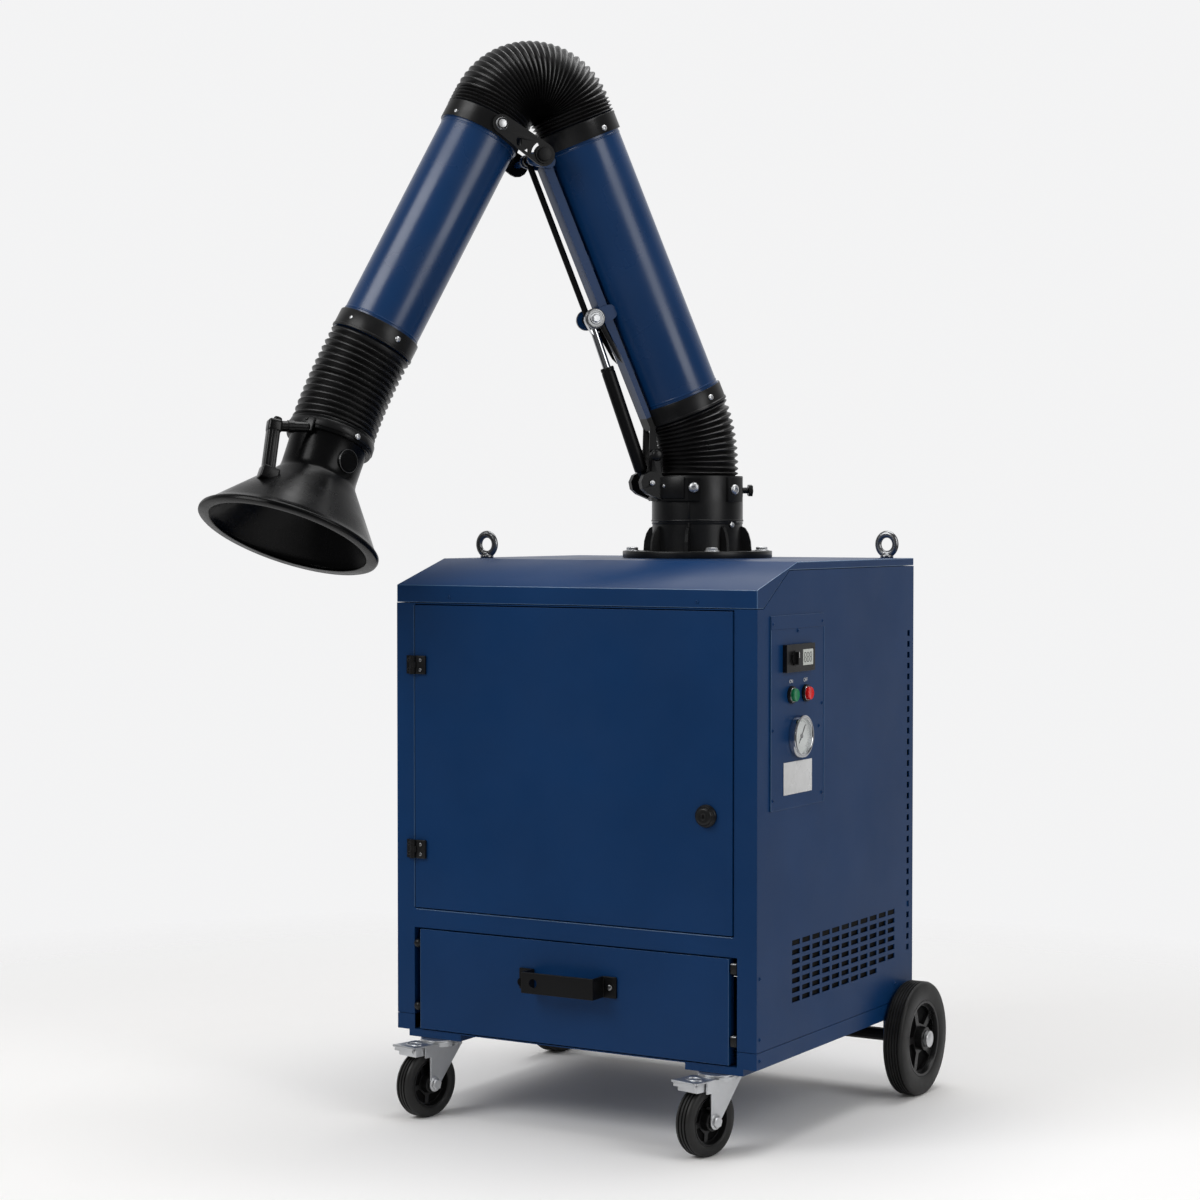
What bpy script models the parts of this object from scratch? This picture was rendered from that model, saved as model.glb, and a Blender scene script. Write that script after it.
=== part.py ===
"""Mobile welding fume extractor: a filter cabinet on wheels with a jointed extraction arm."""

import math

import bmesh
import bpy
from mathutils import Euler, Matrix, Vector

# Fits shared by every sub-part, in metres
SEAT_GAP = 0.0003
RUNNING_GAP = 0.0006
OVERRUN = 0.020
WELD = 0.00001

# Cabinet
CABINET_WIDTH = 0.750
CABINET_DEPTH = 0.653
CABINET_BASE_Z = 0.153
SIDE_SEAM_Z = 0.182
TOP_Z = 1.0245
SKIRT_FRONT_DROP = 0.0785
SLOPE_START_DROP = 0.0465
SLOPE_RUN = 0.155
SHEET = 0.002
FOLD_DEPTH = 0.020
LID_SIDE_SKIRT = 0.014
LID_SKIRT_STEP = 0.024
LID_SKIRT_RISE_RUN = 0.098
PANEL_SEAM = 0.001

# Front openings, door and drawer
DOOR_OPENING_LEFT = 0.040
DOOR_OPENING_RIGHT = 0.0445
DOOR_OPENING_BOTTOM_Z = 0.380
DOOR_OPENING_TOP_DROP = 0.0815
DOOR_GAP = 0.002
DOOR_PROUD = 0.003
DRAWER_OPENING_SIDE = 0.038
DRAWER_OPENING_TOP_Z = 0.3445
DRAWER_SIDE_GAP = 0.0150
DRAWER_TOP_GAP = 0.0025
DRAWER_BOTTOM_Z = 0.1575
DRAWER_TRAY_DEPTH = 0.270
DRAWER_TRAY_HEIGHT = 0.100
DRAWER_TRAY_INSET = 0.012
DRAWER_FLOOR_CLEAR = 0.004
RUNNER_HEIGHT = 0.012
RUNNER_WIDTH = 0.010
HINGE_UPPER_DROP = 0.112
HINGE_LOWER_RISE = 0.1106
HINGE_HEIGHT = 0.034
HINGE_LEAF = 0.016
HINGE_PLATE = 0.005
HINGE_PIN_RADIUS = 0.0025
HINGE_BARREL_RADIUS = 0.0055
LOCK_FROM_SIDE = 0.0964
LOCK_RISE = 0.2067
LOCK_RADIUS = 0.0185
LOCK_PROUD = 0.010
LOCK_SHAFT_RADIUS = 0.007
LOCK_CAM_LENGTH = 0.062
LOCK_CAM_WIDTH = 0.016
LOCK_CAM_THICKNESS = 0.003
LOCK_SLOT_WIDTH = 0.003
LOCK_SLOT_LENGTH = 0.012
LOCK_SLOT_DEPTH = 0.004
SEAL_WIDTH = 0.012
SEAL_DEPTH = 0.0055
DRAWER_HANDLE_X = -0.0015
DRAWER_HANDLE_Z = 0.2715
DRAWER_HANDLE_SPAN = 0.150
DRAWER_HANDLE_FOOT = 0.026
DRAWER_HANDLE_HEIGHT = 0.038
DRAWER_HANDLE_REACH = 0.040
DRAWER_HANDLE_STRAP = 0.004
DRAWER_HANDLE_HOLE_RADIUS = 0.008
DRAWER_HANDLE_HOLE_INSET = 0.025

# Side panel vents
VENT_COLUMNS = 11
VENT_ROWS = 7
VENT_PITCH_Y = 0.0404
VENT_PITCH_Z = 0.0168
VENT_LOWEST_COLUMNS = 9
VENT_SLOT_LENGTH = 0.0310
VENT_SLOT_HEIGHT = 0.0095
VENT_FROM_REAR = 0.0985
VENT_LOWEST_RISE = 0.0715
EDGE_SLOTS = 30
EDGE_SLOT_SIZE = 0.0110
EDGE_SLOT_FROM_REAR = 0.0225
EDGE_SLOT_LOWEST_RISE = 0.0960
EDGE_SLOT_TOP_DROP = 0.1433

# Control panel on the right side
CONTROL_SET_BACK = 0.0470
CONTROL_WIDTH = 0.2095
CONTROL_HEIGHT = 0.338
CONTROL_TOP_DROP = 0.0925
CONTROL_THICKNESS = 0.0015
CONTROL_MARGIN = 0.014
SWITCH_INSET = 0.0453
SWITCH_WIDTH = 0.1112
SWITCH_HEIGHT = 0.0485
SWITCH_TOP_DROP = 0.0510
SWITCH_PROUD = 0.008
SWITCH_BACK_DEPTH = 0.045
SWITCH_BACK_INSET = 0.004
DISPLAY_REAR_INSET = 0.006
DISPLAY_WIDTH = 0.042
DISPLAY_HEIGHT = 0.030
DISPLAY_DEPTH = 0.001
SWITCH_KNOB_FROM_FRONT = 0.0300
SWITCH_KNOB_RADIUS = 0.013
SWITCH_KNOB_PROUD = 0.009
SWITCH_KNOB_SHAFT = 0.004
SWITCH_KNOB_BLADE = 0.006
SWITCH_SHAFT_DEPTH = 0.012
START_BUTTON_INSET = 0.0775
STOP_BUTTON_INSET = 0.1340
BUTTON_DROP = 0.1395
BUTTON_BEZEL_RADIUS = 0.0150
BUTTON_BEZEL_PROUD = 0.005
BUTTON_RADIUS = 0.0112
BUTTON_PROUD = 0.011
BUTTON_BODY_DEPTH = 0.040
BUTTON_BODY_RADIUS = 0.0135
BUTTON_STEM_DEPTH = 0.014
BUTTON_TRAVEL = 0.004
GAUGE_INSET = 0.1058
GAUGE_DROP = 0.2136
GAUGE_RADIUS = 0.0370
GAUGE_FACE_RADIUS = 0.0315
GAUGE_PROUD = 0.012
GAUGE_FACE_DEPTH = 0.007
GAUGE_BODY_RADIUS = 0.0300
GAUGE_BODY_DEPTH = 0.026
NEEDLE_LENGTH = 0.0230
NEEDLE_TAIL = 0.0080
NEEDLE_WIDTH = 0.0024
NEEDLE_THICKNESS = 0.0012
NEEDLE_HUB_RADIUS = 0.0036
NEEDLE_HUB_HEIGHT = 0.0022
NEEDLE_ANGLE = math.radians(52.0)

# Inside the cabinet
SHELF_Z = 0.372
SHELF_LIP = 0.020
SHELF_CHUTE_SET_BACK = 0.0365
SHELF_CHUTE_DEPTH = 0.220
SHELF_CHUTE_SIDE = 0.105
FILTER_FROM_REAR = 0.2145
FILTER_RADIUS = 0.163
FILTER_CORE_RADIUS = 0.105
FILTER_PLEAT_DEPTH = 0.022
FILTER_PLEATS = 56
FILTER_TOP_DROP = 0.1725
FILTER_RING_HEIGHT = 0.018
FILTER_RING_LIP = 0.006
FILTER_CAP_HEIGHT = 0.022
FILTER_CAP_BOSS_RADIUS = 0.030
FILTER_CAP_BOSS_HEIGHT = 0.016
FAN_INLET_RADIUS = 0.085
FAN_SCROLL_RADIUS = 0.150
FAN_SCROLL_GROWTH = 0.045
FAN_HEIGHT = 0.100
FAN_WALL = 0.003
FAN_FLOOR_Z = 0.262
FAN_OUTLET_WIDTH = 0.110
IMPELLER_RADIUS = 0.125
IMPELLER_EYE_RADIUS = 0.078
IMPELLER_HEIGHT = 0.070
IMPELLER_PLATE = 0.004
IMPELLER_BLADES = 8
IMPELLER_BLADE = 0.004
IMPELLER_BLADE_SWEEP = math.radians(35.0)
IMPELLER_HUB_RADIUS = 0.022
IMPELLER_HUB_HEIGHT = 0.034
MOTOR_RADIUS = 0.075
MOTOR_FOOT_HEIGHT = 0.010
MOTOR_FOOT_SIZE = 0.170
MOTOR_FINS = 16
MOTOR_FIN_DEPTH = 0.006
MOTOR_FIN_THICKNESS = 0.004
MOTOR_SHAFT_RADIUS = 0.010
FAN_CLEAR = 0.004

# Base tray, axle and wheels
CASTER_FROM_SIDE = 0.083
CASTER_SET_BACK = 0.0145
CASTER_HEADING = math.radians(-12.0)
CASTER_BRACKET_LENGTH = 0.114
CASTER_BRACKET_WIDTH = 0.100
CASTER_BRACKET_DROP = 0.012
CASTER_WHEEL_RADIUS = 0.0625
CASTER_WHEEL_WIDTH = 0.034
CASTER_HUB_WIDTH = 0.040
CASTER_HUB_RADIUS = 0.017
CASTER_RIM_RADIUS = 0.041
CASTER_TRAIL = 0.034
CASTER_DISH_DEPTH = 0.009
CASTER_SHOULDER = 0.007
FORK_THICKNESS = 0.003
FORK_HEAD_RADIUS = 0.034
FORK_HEAD_HEIGHT = 0.0095
FORK_CROWN = 0.004
FORK_AXLE_RADIUS = 0.006
FORK_FOOT_RADIUS = 0.011
FORK_LEG_REAR = 0.036
FORK_LEG_FRONT = 0.012
FORK_NUT_RADIUS = 0.0085
FORK_NUT_HEIGHT = 0.006
FORK_BRACKET_GAP = 0.0005
PEDAL_LENGTH = 0.056
PEDAL_WIDTH = 0.046
PEDAL_THICKNESS = 0.003
PEDAL_SIDE_DROP = 0.020
PEDAL_PIVOT_AHEAD = 0.020
PEDAL_PIVOT_RADIUS = 0.003
REAR_WHEEL_RADIUS = 0.108
REAR_WHEEL_WIDTH = 0.040
REAR_WHEEL_FROM_REAR = 0.0405
REAR_WHEEL_SIDE_GAP = 0.0045
REAR_RIM_RADIUS = 0.072
REAR_HUB_RADIUS = 0.022
REAR_HUB_EXTRA = 0.004
REAR_WEB_DEPTH = 0.012
REAR_SPOKE_COUNT = 5
REAR_WINDOW_RADIUS = 0.014
REAR_WINDOW_CIRCLE = 0.046
REAR_TREAD_GROOVES = 2
CASTER_TREAD_GROOVES = 1
TREAD_GROOVE_WIDTH = 0.0026
TREAD_GROOVE_DEPTH = 0.0020
TYRE_SHOULDER = 0.007
AXLE_RADIUS = 0.0125
AXLE_STUB_RADIUS = 0.0100
AXLE_NUT_RADIUS = 0.0145
AXLE_NUT_HEIGHT = 0.006
AXLE_HANGER_WIDTH = 0.006
AXLE_HANGER_LENGTH = 0.070
AXLE_HANGER_FROM_SIDE = 0.023

# Lifting eyes
EYE_LEFT_SET_BACK = 0.2357
EYE_RIGHT_FROM_REAR = 0.0247
EYE_FROM_SIDE = 0.045
EYE_RING_RADIUS = 0.0160
EYE_WIRE_RADIUS = 0.0050
EYE_RING_SINK = 0.0020
EYE_COLLAR_RADIUS = 0.0125
EYE_COLLAR_HEIGHT = 0.007
EYE_NECK_RADIUS = 0.007
EYE_STEM_RADIUS = 0.005
EYE_STEM_LENGTH = 0.016

# Arm base: fixed flange, turning collar and pivot bracket
ARM_BASE_FROM_REAR = 0.1795
ARM_HEADING = math.radians(-130.0)
FLANGE_RADIUS = 0.144
FLANGE_THICKNESS = 0.013
SOCKET_RADIUS = 0.0865
SOCKET_BORE = 0.0765
SOCKET_RISE = 0.0690
GUSSETS = 8
GUSSET_REACH = 0.020
GUSSET_THICKNESS = 0.006
GUSSET_HEIGHT = 0.048
GUSSET_PHASE = math.radians(12.0)
FLANGE_BOLTS = 4
FLANGE_BOLT_CIRCLE = 0.128
FLANGE_BOLT_RADIUS = 0.0095
FLANGE_BOLT_HEIGHT = 0.006
FLANGE_BOLT_PHASE = math.radians(81.0)
COLLAR_RADIUS = 0.0875
COLLAR_BORE = 0.0700
COLLAR_RISE = 0.1545
SPIGOT_LENGTH = 0.036
COLLAR_NECK_RADIUS = 0.0735
COLLAR_NECK_HEIGHT = 0.003
SADDLE_THICKNESS = 0.0070
SADDLE_HEIGHT = 0.043
SADDLE_HALF_ANGLE = math.radians(72.0)
SADDLE_DROP = 0.002
CHEEK_INNER = 0.0205
CHEEK_OUTER = 0.0360
SPRING_FOOT_R = 0.1065
SPRING_FOOT_DROP = 0.0110
CHEEK_RADIUS = 0.0225
CHEEK_ROOT_R = 0.0800
CHEEK_ROOT_RADIUS = 0.0210
ARM_PIVOT_R = 0.0966
ARM_PIVOT_RISE = 0.0425
ARM_PIVOT_BOSS = 0.0100
ARM_PIVOT_PIN = 0.0050
SPRING_PIN_RADIUS = 0.0060
CLAMP_KNOB_RADIUS = 0.0120
CLAMP_KNOB_LENGTH = 0.020
CLAMP_KNOB_STEM = 0.006
CLAMP_KNOB_STEM_LENGTH = 0.012
CLAMP_KNOB_DROP = 0.0245
CLAMP_KNOB_ANGLE = math.radians(170.0)
CLAMP_KNOB_LOBES = 6

# Duct tubes, measured in the arm's own upright plane
DUCT_RADIUS = 0.0735
DUCT_WALL = 0.0020
CUFF_RADIUS = 0.0775
CUFF_LENGTH = 0.034
LOWER_LEAN = math.radians(23.0)
LOWER_FOOT_R = 0.0208
LOWER_FOOT_RISE = 0.1264
LOWER_LENGTH = 0.585
UPPER_LEAN = math.radians(27.8)
UPPER_HEAD_AHEAD = 0.1750
UPPER_LENGTH = 0.477

# Support rail along the lower tube
RAIL_INNER = 0.0795
RAIL_DEPTH = 0.0170
RAIL_FOOT_DEPTH = 0.0105
RAIL_WIDTH = 0.0400
RAIL_WALL = 0.0030
RAIL_RAMP = 0.060
RAIL_PAD_LENGTH = 0.030
RAIL_PAD_WIDTH = 0.020
RAIL_PAD_SHARES = (0.19, 0.55, 0.89)
FINGER_INNER = 0.0160
FINGER_RADIUS = 0.0095
FINGER_ROOT_RADIUS = 0.0050
FINGER_ROOT_ALONG = 0.045
KNUCKLE_ALONG = 0.2365
KNUCKLE_AWAY = 0.1143
KNUCKLE_DISC_RADIUS = 0.0187
KNUCKLE_DISC_THICKNESS = 0.0045
KNUCKLE_BOLT_RADIUS = 0.0080
KNUCKLE_BOLT_HEIGHT = 0.0050
KNUCKLE_PIN_RADIUS = 0.0050
LUG_INNER = 0.0190
LUG_THICKNESS = 0.0060
LUG_ROOT_RADIUS = 0.0150
GUSSET_PLATE_DROP = 0.085
ELBOW_BELOW_HEAD = 0.0293
ELBOW_AWAY = 0.1098
ELBOW_LUG_RADIUS = 0.0130
ELBOW_AXLE_RADIUS = 0.0060
TIE_ROD_RADIUS = 0.0060
TIE_ROD_SIDE = -0.0125
TIE_ROD_EYE = 0.0110

# Gas spring
SPRING_BODY_RADIUS = 0.0128
SPRING_BODY_LENGTH = 0.207
SPRING_BODY_START = 0.026
SPRING_BORE = 0.0082
SPRING_ROD_RADIUS = 0.0075
SPRING_ROD_INSIDE = 0.100
SPRING_EYE_RADIUS = 0.0105
SPRING_EYE_HALF = 0.0200
SPRING_TOP_EYE_RADIUS = 0.0125
SPRING_TOP_EYE_HALF = 0.0055
SPRING_TOP_CLEAR = 0.0030
SPRING_TONGUE = 0.0220
SPRING_BOTTOM_WALL = 0.010

# Elbow plates and hoses
PLATE_INNER = 0.0800
PLATE_THICKNESS = 0.0050
PLATE_TUBE_ALONG = 0.0129
PLATE_TUBE_AWAY = 0.0118
PLATE_TUBE_RADIUS = 0.0178
PLATE_ELBOW_RADIUS = 0.0218
PLATE_BOSS_HEIGHT = 0.0030
PLATE_BOSS_RADIUS = 0.0170
PLATE_OVAL_SHARE = 0.46
PLATE_OVAL_SIDE = 0.0080
PLATE_OVAL_RADIUS = 0.0050
PLATE_OVAL_LENGTH = 0.0070
PLATE_SLOT_INNER = 0.0190
PLATE_SLOT_OUTER = 0.0245
PLATE_SLOT_HALF_ANGLE = math.radians(32.0)
PLATE_WINDOW_SHARE = 0.68
PLATE_WINDOW_SIDE = 0.0132
PLATE_WINDOW_RADIUS = 0.0044
PLATE_BOLT_RADIUS = 0.0105
PLATE_BOLT_HEIGHT = 0.0050
HOSE_RADIUS = 0.0772
HOSE_VALLEY = 0.0030
HOSE_BORE = 0.0690
HOSE_SIDES = 10
BASE_HOSE_RIBS = 12
ELBOW_HOSE_RIBS = 34
HOOD_HOSE_RIBS = 14
ELBOW_STRAIGHT = 0.030
SHORT_HOSE_STRAIGHT = 0.010
HOSE_BORE_STATIONS = 9

# Hood and its inner joint
JOINT_AHEAD = 0.1105
HOOD_TILT = math.radians(-21.65)
HOOD_SWING = math.radians(12.86)
HOOD_NECK_START = 0.0720
HOOD_BAND_LENGTH = 0.0310
HOOD_BAND_RADIUS = 0.0800
HOOD_NECK_RADIUS = 0.0715
HOOD_CREASE = 0.1680
HOOD_MOUTH = 0.2930
HOOD_MOUTH_RADIUS = 0.1662
HOOD_RIM_RADIUS = 0.1690
HOOD_RIM_HEIGHT = 0.008
HOOD_WALL = 0.0030
HOOD_MOUTH_SHIFT = 0.0180
YOKE_ARM_WIDTH = 0.018
YOKE_ARM_THICKNESS = 0.004
YOKE_HALF_SPAN = 0.030
YOKE_BRIDGE = 0.006
CROSS_PIN_RADIUS = 0.004
CROSS_BLOCK = 0.018
UPPER_YOKE_SET_BACK = 0.012
GRIP_HALF = 0.0088
GRIP_SIDE = 0.0580
GRIP_OUT = 0.1080
GRIP_ARM_DROP = 0.0110
GRIP_CHAMFER = 0.0120
GRIP_LENGTH = 0.1000
GRIP_FOOT_OUT = 0.0980
GRIP_FOOT_SIZE = 0.0260
GRIP_FOOT_HEIGHT = 0.0200
GRIP_BOLT_RADIUS = 0.0070
GRIP_BOLT_HEIGHT = 0.0040
GRIP_CLIP_WIDTH = 0.0260
GRIP_CLIP_HEIGHT = 0.0140
GRIP_CLIP_THICKNESS = 0.0060

# Colours: linear red, green and blue, then roughness and metallic
PAINT_BLUE = ((0.010, 0.034, 0.105), 0.38, 0.0)
PLASTIC_BLACK = ((0.012, 0.012, 0.013), 0.45, 0.0)
RUBBER_BLACK = ((0.016, 0.016, 0.016), 0.75, 0.0)
ZINC = ((0.62, 0.63, 0.64), 0.30, 1.0)
CHROME = ((0.80, 0.80, 0.82), 0.10, 1.0)
BUTTON_GREEN = ((0.010, 0.230, 0.060), 0.35, 0.0)
BUTTON_RED = ((0.520, 0.012, 0.010), 0.35, 0.0)
FILTER_WHITE = ((0.70, 0.70, 0.66), 0.85, 0.0)
GALVANISED = ((0.45, 0.46, 0.47), 0.40, 1.0)
MOTOR_GREY = ((0.16, 0.17, 0.18), 0.50, 0.3)

# Places on the cabinet that follow from its sizes
FRONT_Y = -CABINET_DEPTH / 2
REAR_Y = CABINET_DEPTH / 2
SIDE_X = CABINET_WIDTH / 2
SKIRT_FRONT_Z = TOP_Z - SKIRT_FRONT_DROP
SLOPE_START_Z = TOP_Z - SLOPE_START_DROP
DOOR_OPENING_TOP_Z = TOP_Z - DOOR_OPENING_TOP_DROP
HINGE_UPPER_Z = DOOR_OPENING_TOP_Z - HINGE_UPPER_DROP
HINGE_LOWER_Z = DOOR_OPENING_BOTTOM_Z + HINGE_LOWER_RISE
LOCK_X = SIDE_X - LOCK_FROM_SIDE
LOCK_Z = DOOR_OPENING_BOTTOM_Z + LOCK_RISE
VENT_FIRST_Y = REAR_Y - VENT_FROM_REAR - (VENT_COLUMNS - 1) * VENT_PITCH_Y
VENT_LOWEST_Z = SIDE_SEAM_Z + VENT_LOWEST_RISE
EDGE_SLOT_LOWEST_Z = SIDE_SEAM_Z + EDGE_SLOT_LOWEST_RISE
EDGE_SLOT_PITCH = (TOP_Z - EDGE_SLOT_TOP_DROP - EDGE_SLOT_LOWEST_Z) / (EDGE_SLOTS - 1)
CONTROL_FRONT_Y = FRONT_Y + CONTROL_SET_BACK
CONTROL_REAR_Y = CONTROL_FRONT_Y + CONTROL_WIDTH
CONTROL_TOP_Z = TOP_Z - CONTROL_TOP_DROP
CONTROL_BOTTOM_Z = CONTROL_TOP_Z - CONTROL_HEIGHT
SWITCH_FRONT_Y = CONTROL_FRONT_Y + SWITCH_INSET
SWITCH_REAR_Y = SWITCH_FRONT_Y + SWITCH_WIDTH
SWITCH_TOP_Z = CONTROL_TOP_Z - SWITCH_TOP_DROP
SWITCH_BOTTOM_Z = SWITCH_TOP_Z - SWITCH_HEIGHT
START_BUTTON_Y = CONTROL_FRONT_Y + START_BUTTON_INSET
STOP_BUTTON_Y = CONTROL_FRONT_Y + STOP_BUTTON_INSET
BUTTON_Z = CONTROL_TOP_Z - BUTTON_DROP
GAUGE_Y = CONTROL_FRONT_Y + GAUGE_INSET
GAUGE_Z = CONTROL_TOP_Z - GAUGE_DROP
SHELF_CHUTE_FRONT_Y = FRONT_Y + SHELF_CHUTE_SET_BACK
SHELF_CHUTE_REAR_Y = SHELF_CHUTE_FRONT_Y + SHELF_CHUTE_DEPTH
SHELF_CHUTE_HALF_WIDTH = SIDE_X - SHELF_CHUTE_SIDE
FILTER_Y = REAR_Y - FILTER_FROM_REAR
FILTER_HEIGHT = TOP_Z - SHELF_Z - FILTER_TOP_DROP
CASTER_X = SIDE_X - CASTER_FROM_SIDE
CASTER_Y = FRONT_Y + CASTER_SET_BACK
REAR_WHEEL_Y = REAR_Y - REAR_WHEEL_FROM_REAR
AXLE_HANGER_X = SIDE_X - AXLE_HANGER_FROM_SIDE
EYE_X = SIDE_X - EYE_FROM_SIDE
EYE_LEFT_Y = FRONT_Y + EYE_LEFT_SET_BACK
EYE_RIGHT_Y = REAR_Y - EYE_RIGHT_FROM_REAR
ARM_BASE_Y = REAR_Y - ARM_BASE_FROM_REAR
SOCKET_TOP_Z = TOP_Z + SOCKET_RISE
COLLAR_TOP_Z = TOP_Z + COLLAR_RISE
CLAMP_KNOB_Z = COLLAR_TOP_Z - CLAMP_KNOB_DROP
SPRING_FOOT_Z = COLLAR_TOP_Z - SPRING_FOOT_DROP
ARM_PIVOT_Z = COLLAR_TOP_Z + ARM_PIVOT_RISE
LOWER_FOOT_Z = COLLAR_TOP_Z + LOWER_FOOT_RISE

HALF_TURN = math.pi
QUARTER_TURN = math.pi / 2
FULL_TURN = 2 * math.pi
X_AXIS = Vector((1, 0, 0))
Y_AXIS = Vector((0, 1, 0))
Z_AXIS = Vector((0, 0, 1))
ROUND_SIDES = 24
SMALL_SIDES = 12
SMOOTH_ANGLE = math.radians(35.0)


def clear_scene():
    for obj in list(bpy.data.objects):
        bpy.data.objects.remove(obj, do_unlink=True)


def make_collection(name):
    collection = bpy.data.collections.new(name)
    bpy.context.scene.collection.children.link(collection)
    return collection


clear_scene()
PARTS = make_collection("fume_extractor")
CUTTERS = make_collection("cutters")


def make_empty(name, parent=None, location=(0, 0, 0), rotation=(0, 0, 0)):
    empty = bpy.data.objects.new(name, None)
    PARTS.objects.link(empty)
    empty.parent = parent
    empty.location = location
    empty.rotation_euler = rotation
    return empty


ROOT = make_empty("machine")
ARM = make_empty("arm_frame", ROOT, (0, ARM_BASE_Y, 0), (0, 0, ARM_HEADING))


def make_material(name, look):
    colour, roughness, metallic = look
    material = bpy.data.materials.new(name)
    material.use_nodes = True
    shader = material.node_tree.nodes["Principled BSDF"]
    shader.inputs["Base Color"].default_value = (*colour, 1)
    shader.inputs["Roughness"].default_value = roughness
    shader.inputs["Metallic"].default_value = metallic
    return material


# Making solids

def link_mesh(name, mesh, parent):
    obj = bpy.data.objects.new(name, mesh)
    CUTTERS.objects.link(obj)
    obj.parent = parent
    return obj


def mesh_from(name, build, parent):
    """An object in the frame of its parent, with the mesh that build adds to a bmesh."""
    mesh = bpy.data.meshes.new(name)
    form = bmesh.new()
    build(form)
    form.to_mesh(mesh)
    form.free()
    return link_mesh(name, mesh, parent)


def box(low, high, parent=ROOT):
    low, high = Vector(low), Vector(high)
    size = high - low

    def build(form):
        bmesh.ops.create_cube(form, size=1)
        bmesh.ops.scale(form, vec=size, verts=form.verts)
        bmesh.ops.translate(form, vec=(low + high) / 2, verts=form.verts)

    return mesh_from("box", build, parent)


def aim(direction):
    """The turn that takes +Z to a direction."""
    return Z_AXIS.rotation_difference(Vector(direction)).to_matrix().to_4x4()


def cone(start, end, radius, end_radius=None, sides=SMALL_SIDES, parent=ROOT):
    """A round bar, straight or tapered, from one point to another."""
    start, end = Vector(start), Vector(end)
    if end_radius is None:
        end_radius = radius

    def build(form):
        bmesh.ops.create_cone(form, cap_ends=True, segments=sides, radius1=radius,
                              radius2=end_radius, depth=(end - start).length)
        place = Matrix.Translation((start + end) / 2) @ aim(end - start)
        bmesh.ops.transform(form, matrix=place, verts=form.verts)

    return mesh_from("bar", build, parent)


def turned(profile, origin, axis=Z_AXIS, sides=ROUND_SIDES, parent=ROOT):
    """A closed profile of (radius, height) turned round an axis through origin."""
    mesh = bpy.data.meshes.new("profile")
    points = [(radius, 0, height) for radius, height in profile]
    count = len(points)
    pairs = [(k, (k + 1) % count) for k in range(count)]
    joined = [(a, b) for a, b in pairs if profile[a][0] or profile[b][0]]
    mesh.from_pydata(points, joined, [])
    obj = link_mesh("turned", mesh, parent)
    screw = obj.modifiers.new("Turn", "SCREW")
    screw.steps = sides
    screw.render_steps = sides
    screw.use_merge_vertices = True
    screw.merge_threshold = WELD
    made = freeze(obj)
    made.data.transform(Matrix.Translation(Vector(origin)) @ aim(axis))
    return made


def freeze(obj):
    """The object with its modifiers applied, as a plain mesh in the same frame."""
    bpy.context.view_layer.update()
    graph = bpy.context.evaluated_depsgraph_get()
    mesh = bpy.data.meshes.new_from_object(obj.evaluated_get(graph))
    form = bmesh.new()
    form.from_mesh(mesh)
    bmesh.ops.remove_doubles(form, verts=form.verts, dist=WELD)
    form.to_mesh(mesh)
    form.free()
    solid = link_mesh(obj.name, mesh, obj.parent)
    solid.matrix_local = obj.matrix_local
    bpy.data.objects.remove(obj, do_unlink=True)
    return solid


def plate(outlines, thickness, matrix=Matrix(), parent=ROOT):
    """A flat sheet with an outer outline and holes, drawn in XY about z = 0, then placed."""
    curve = bpy.data.curves.new("outline", "CURVE")
    curve.dimensions = "2D"
    curve.fill_mode = "BOTH"
    curve.extrude = thickness / 2
    for outline in outlines:
        spline = curve.splines.new("POLY")
        spline.points.add(len(outline) - 1)
        for point, (x, y) in zip(spline.points, outline):
            point.co = (x, y, 0, 1)
        spline.use_cyclic_u = True
    obj = bpy.data.objects.new("outline", curve)
    CUTTERS.objects.link(obj)
    obj.parent = parent
    solid = freeze(obj)
    solid.data.transform(matrix)
    face_out(solid)
    return solid


def face_out(obj):
    form = bmesh.new()
    form.from_mesh(obj.data)
    bmesh.ops.recalc_face_normals(form, faces=form.faces)
    form.to_mesh(obj.data)
    form.free()


def bent_bar(points, radius, sides_step, parent=ROOT, radii=None):
    """A bar along points, with a radius that may change from point to point."""
    curve = bpy.data.curves.new("bar", "CURVE")
    curve.dimensions = "3D"
    curve.bevel_depth = radius
    curve.bevel_resolution = sides_step
    curve.use_fill_caps = True
    spline = curve.splines.new("POLY")
    spline.points.add(len(points) - 1)
    for k, point in enumerate(points):
        spline.points[k].co = (*point, 1)
        if radii:
            spline.points[k].radius = radii[k] / radius
    obj = bpy.data.objects.new("bar", curve)
    CUTTERS.objects.link(obj)
    obj.parent = parent
    solid = freeze(obj)
    face_out(solid)
    return solid


def combine(base, tools, operation):
    for tool in tools:
        step = base.modifiers.new(operation.title(), "BOOLEAN")
        step.operation = operation
        step.solver = "EXACT"
        step.object = tool
        tool.hide_render = True
        tool.display_type = "WIRE"
    return base


def cut(base, *tools):
    return combine(base, tools, "DIFFERENCE")


def fuse(base, *tools):
    return combine(base, tools, "UNION")


def finish(obj, name, look, origin=None):
    """Names a solid as a part, gives it its material and moves its origin to its joint."""
    obj.name = name
    obj.data.name = name
    if origin is not None:
        obj.data.transform(Matrix.Translation(-Vector(origin)))
        obj.location = origin
    CUTTERS.objects.unlink(obj)
    PARTS.objects.link(obj)
    obj.data.materials.clear()
    obj.data.materials.append(make_material(name, look))
    obj.data.shade_smooth()
    obj.data.set_sharp_from_angle(angle=SMOOTH_ANGLE)
    return obj


# Outlines

def arc(centre, radius, start, end, count):
    return [(centre[0] + radius * math.cos(start + (end - start) * k / count),
             centre[1] + radius * math.sin(start + (end - start) * k / count))
            for k in range(count + 1)]


def circle(centre, radius, sides=SMALL_SIDES):
    return arc(centre, radius, 0, FULL_TURN, sides)[:-1]


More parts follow.
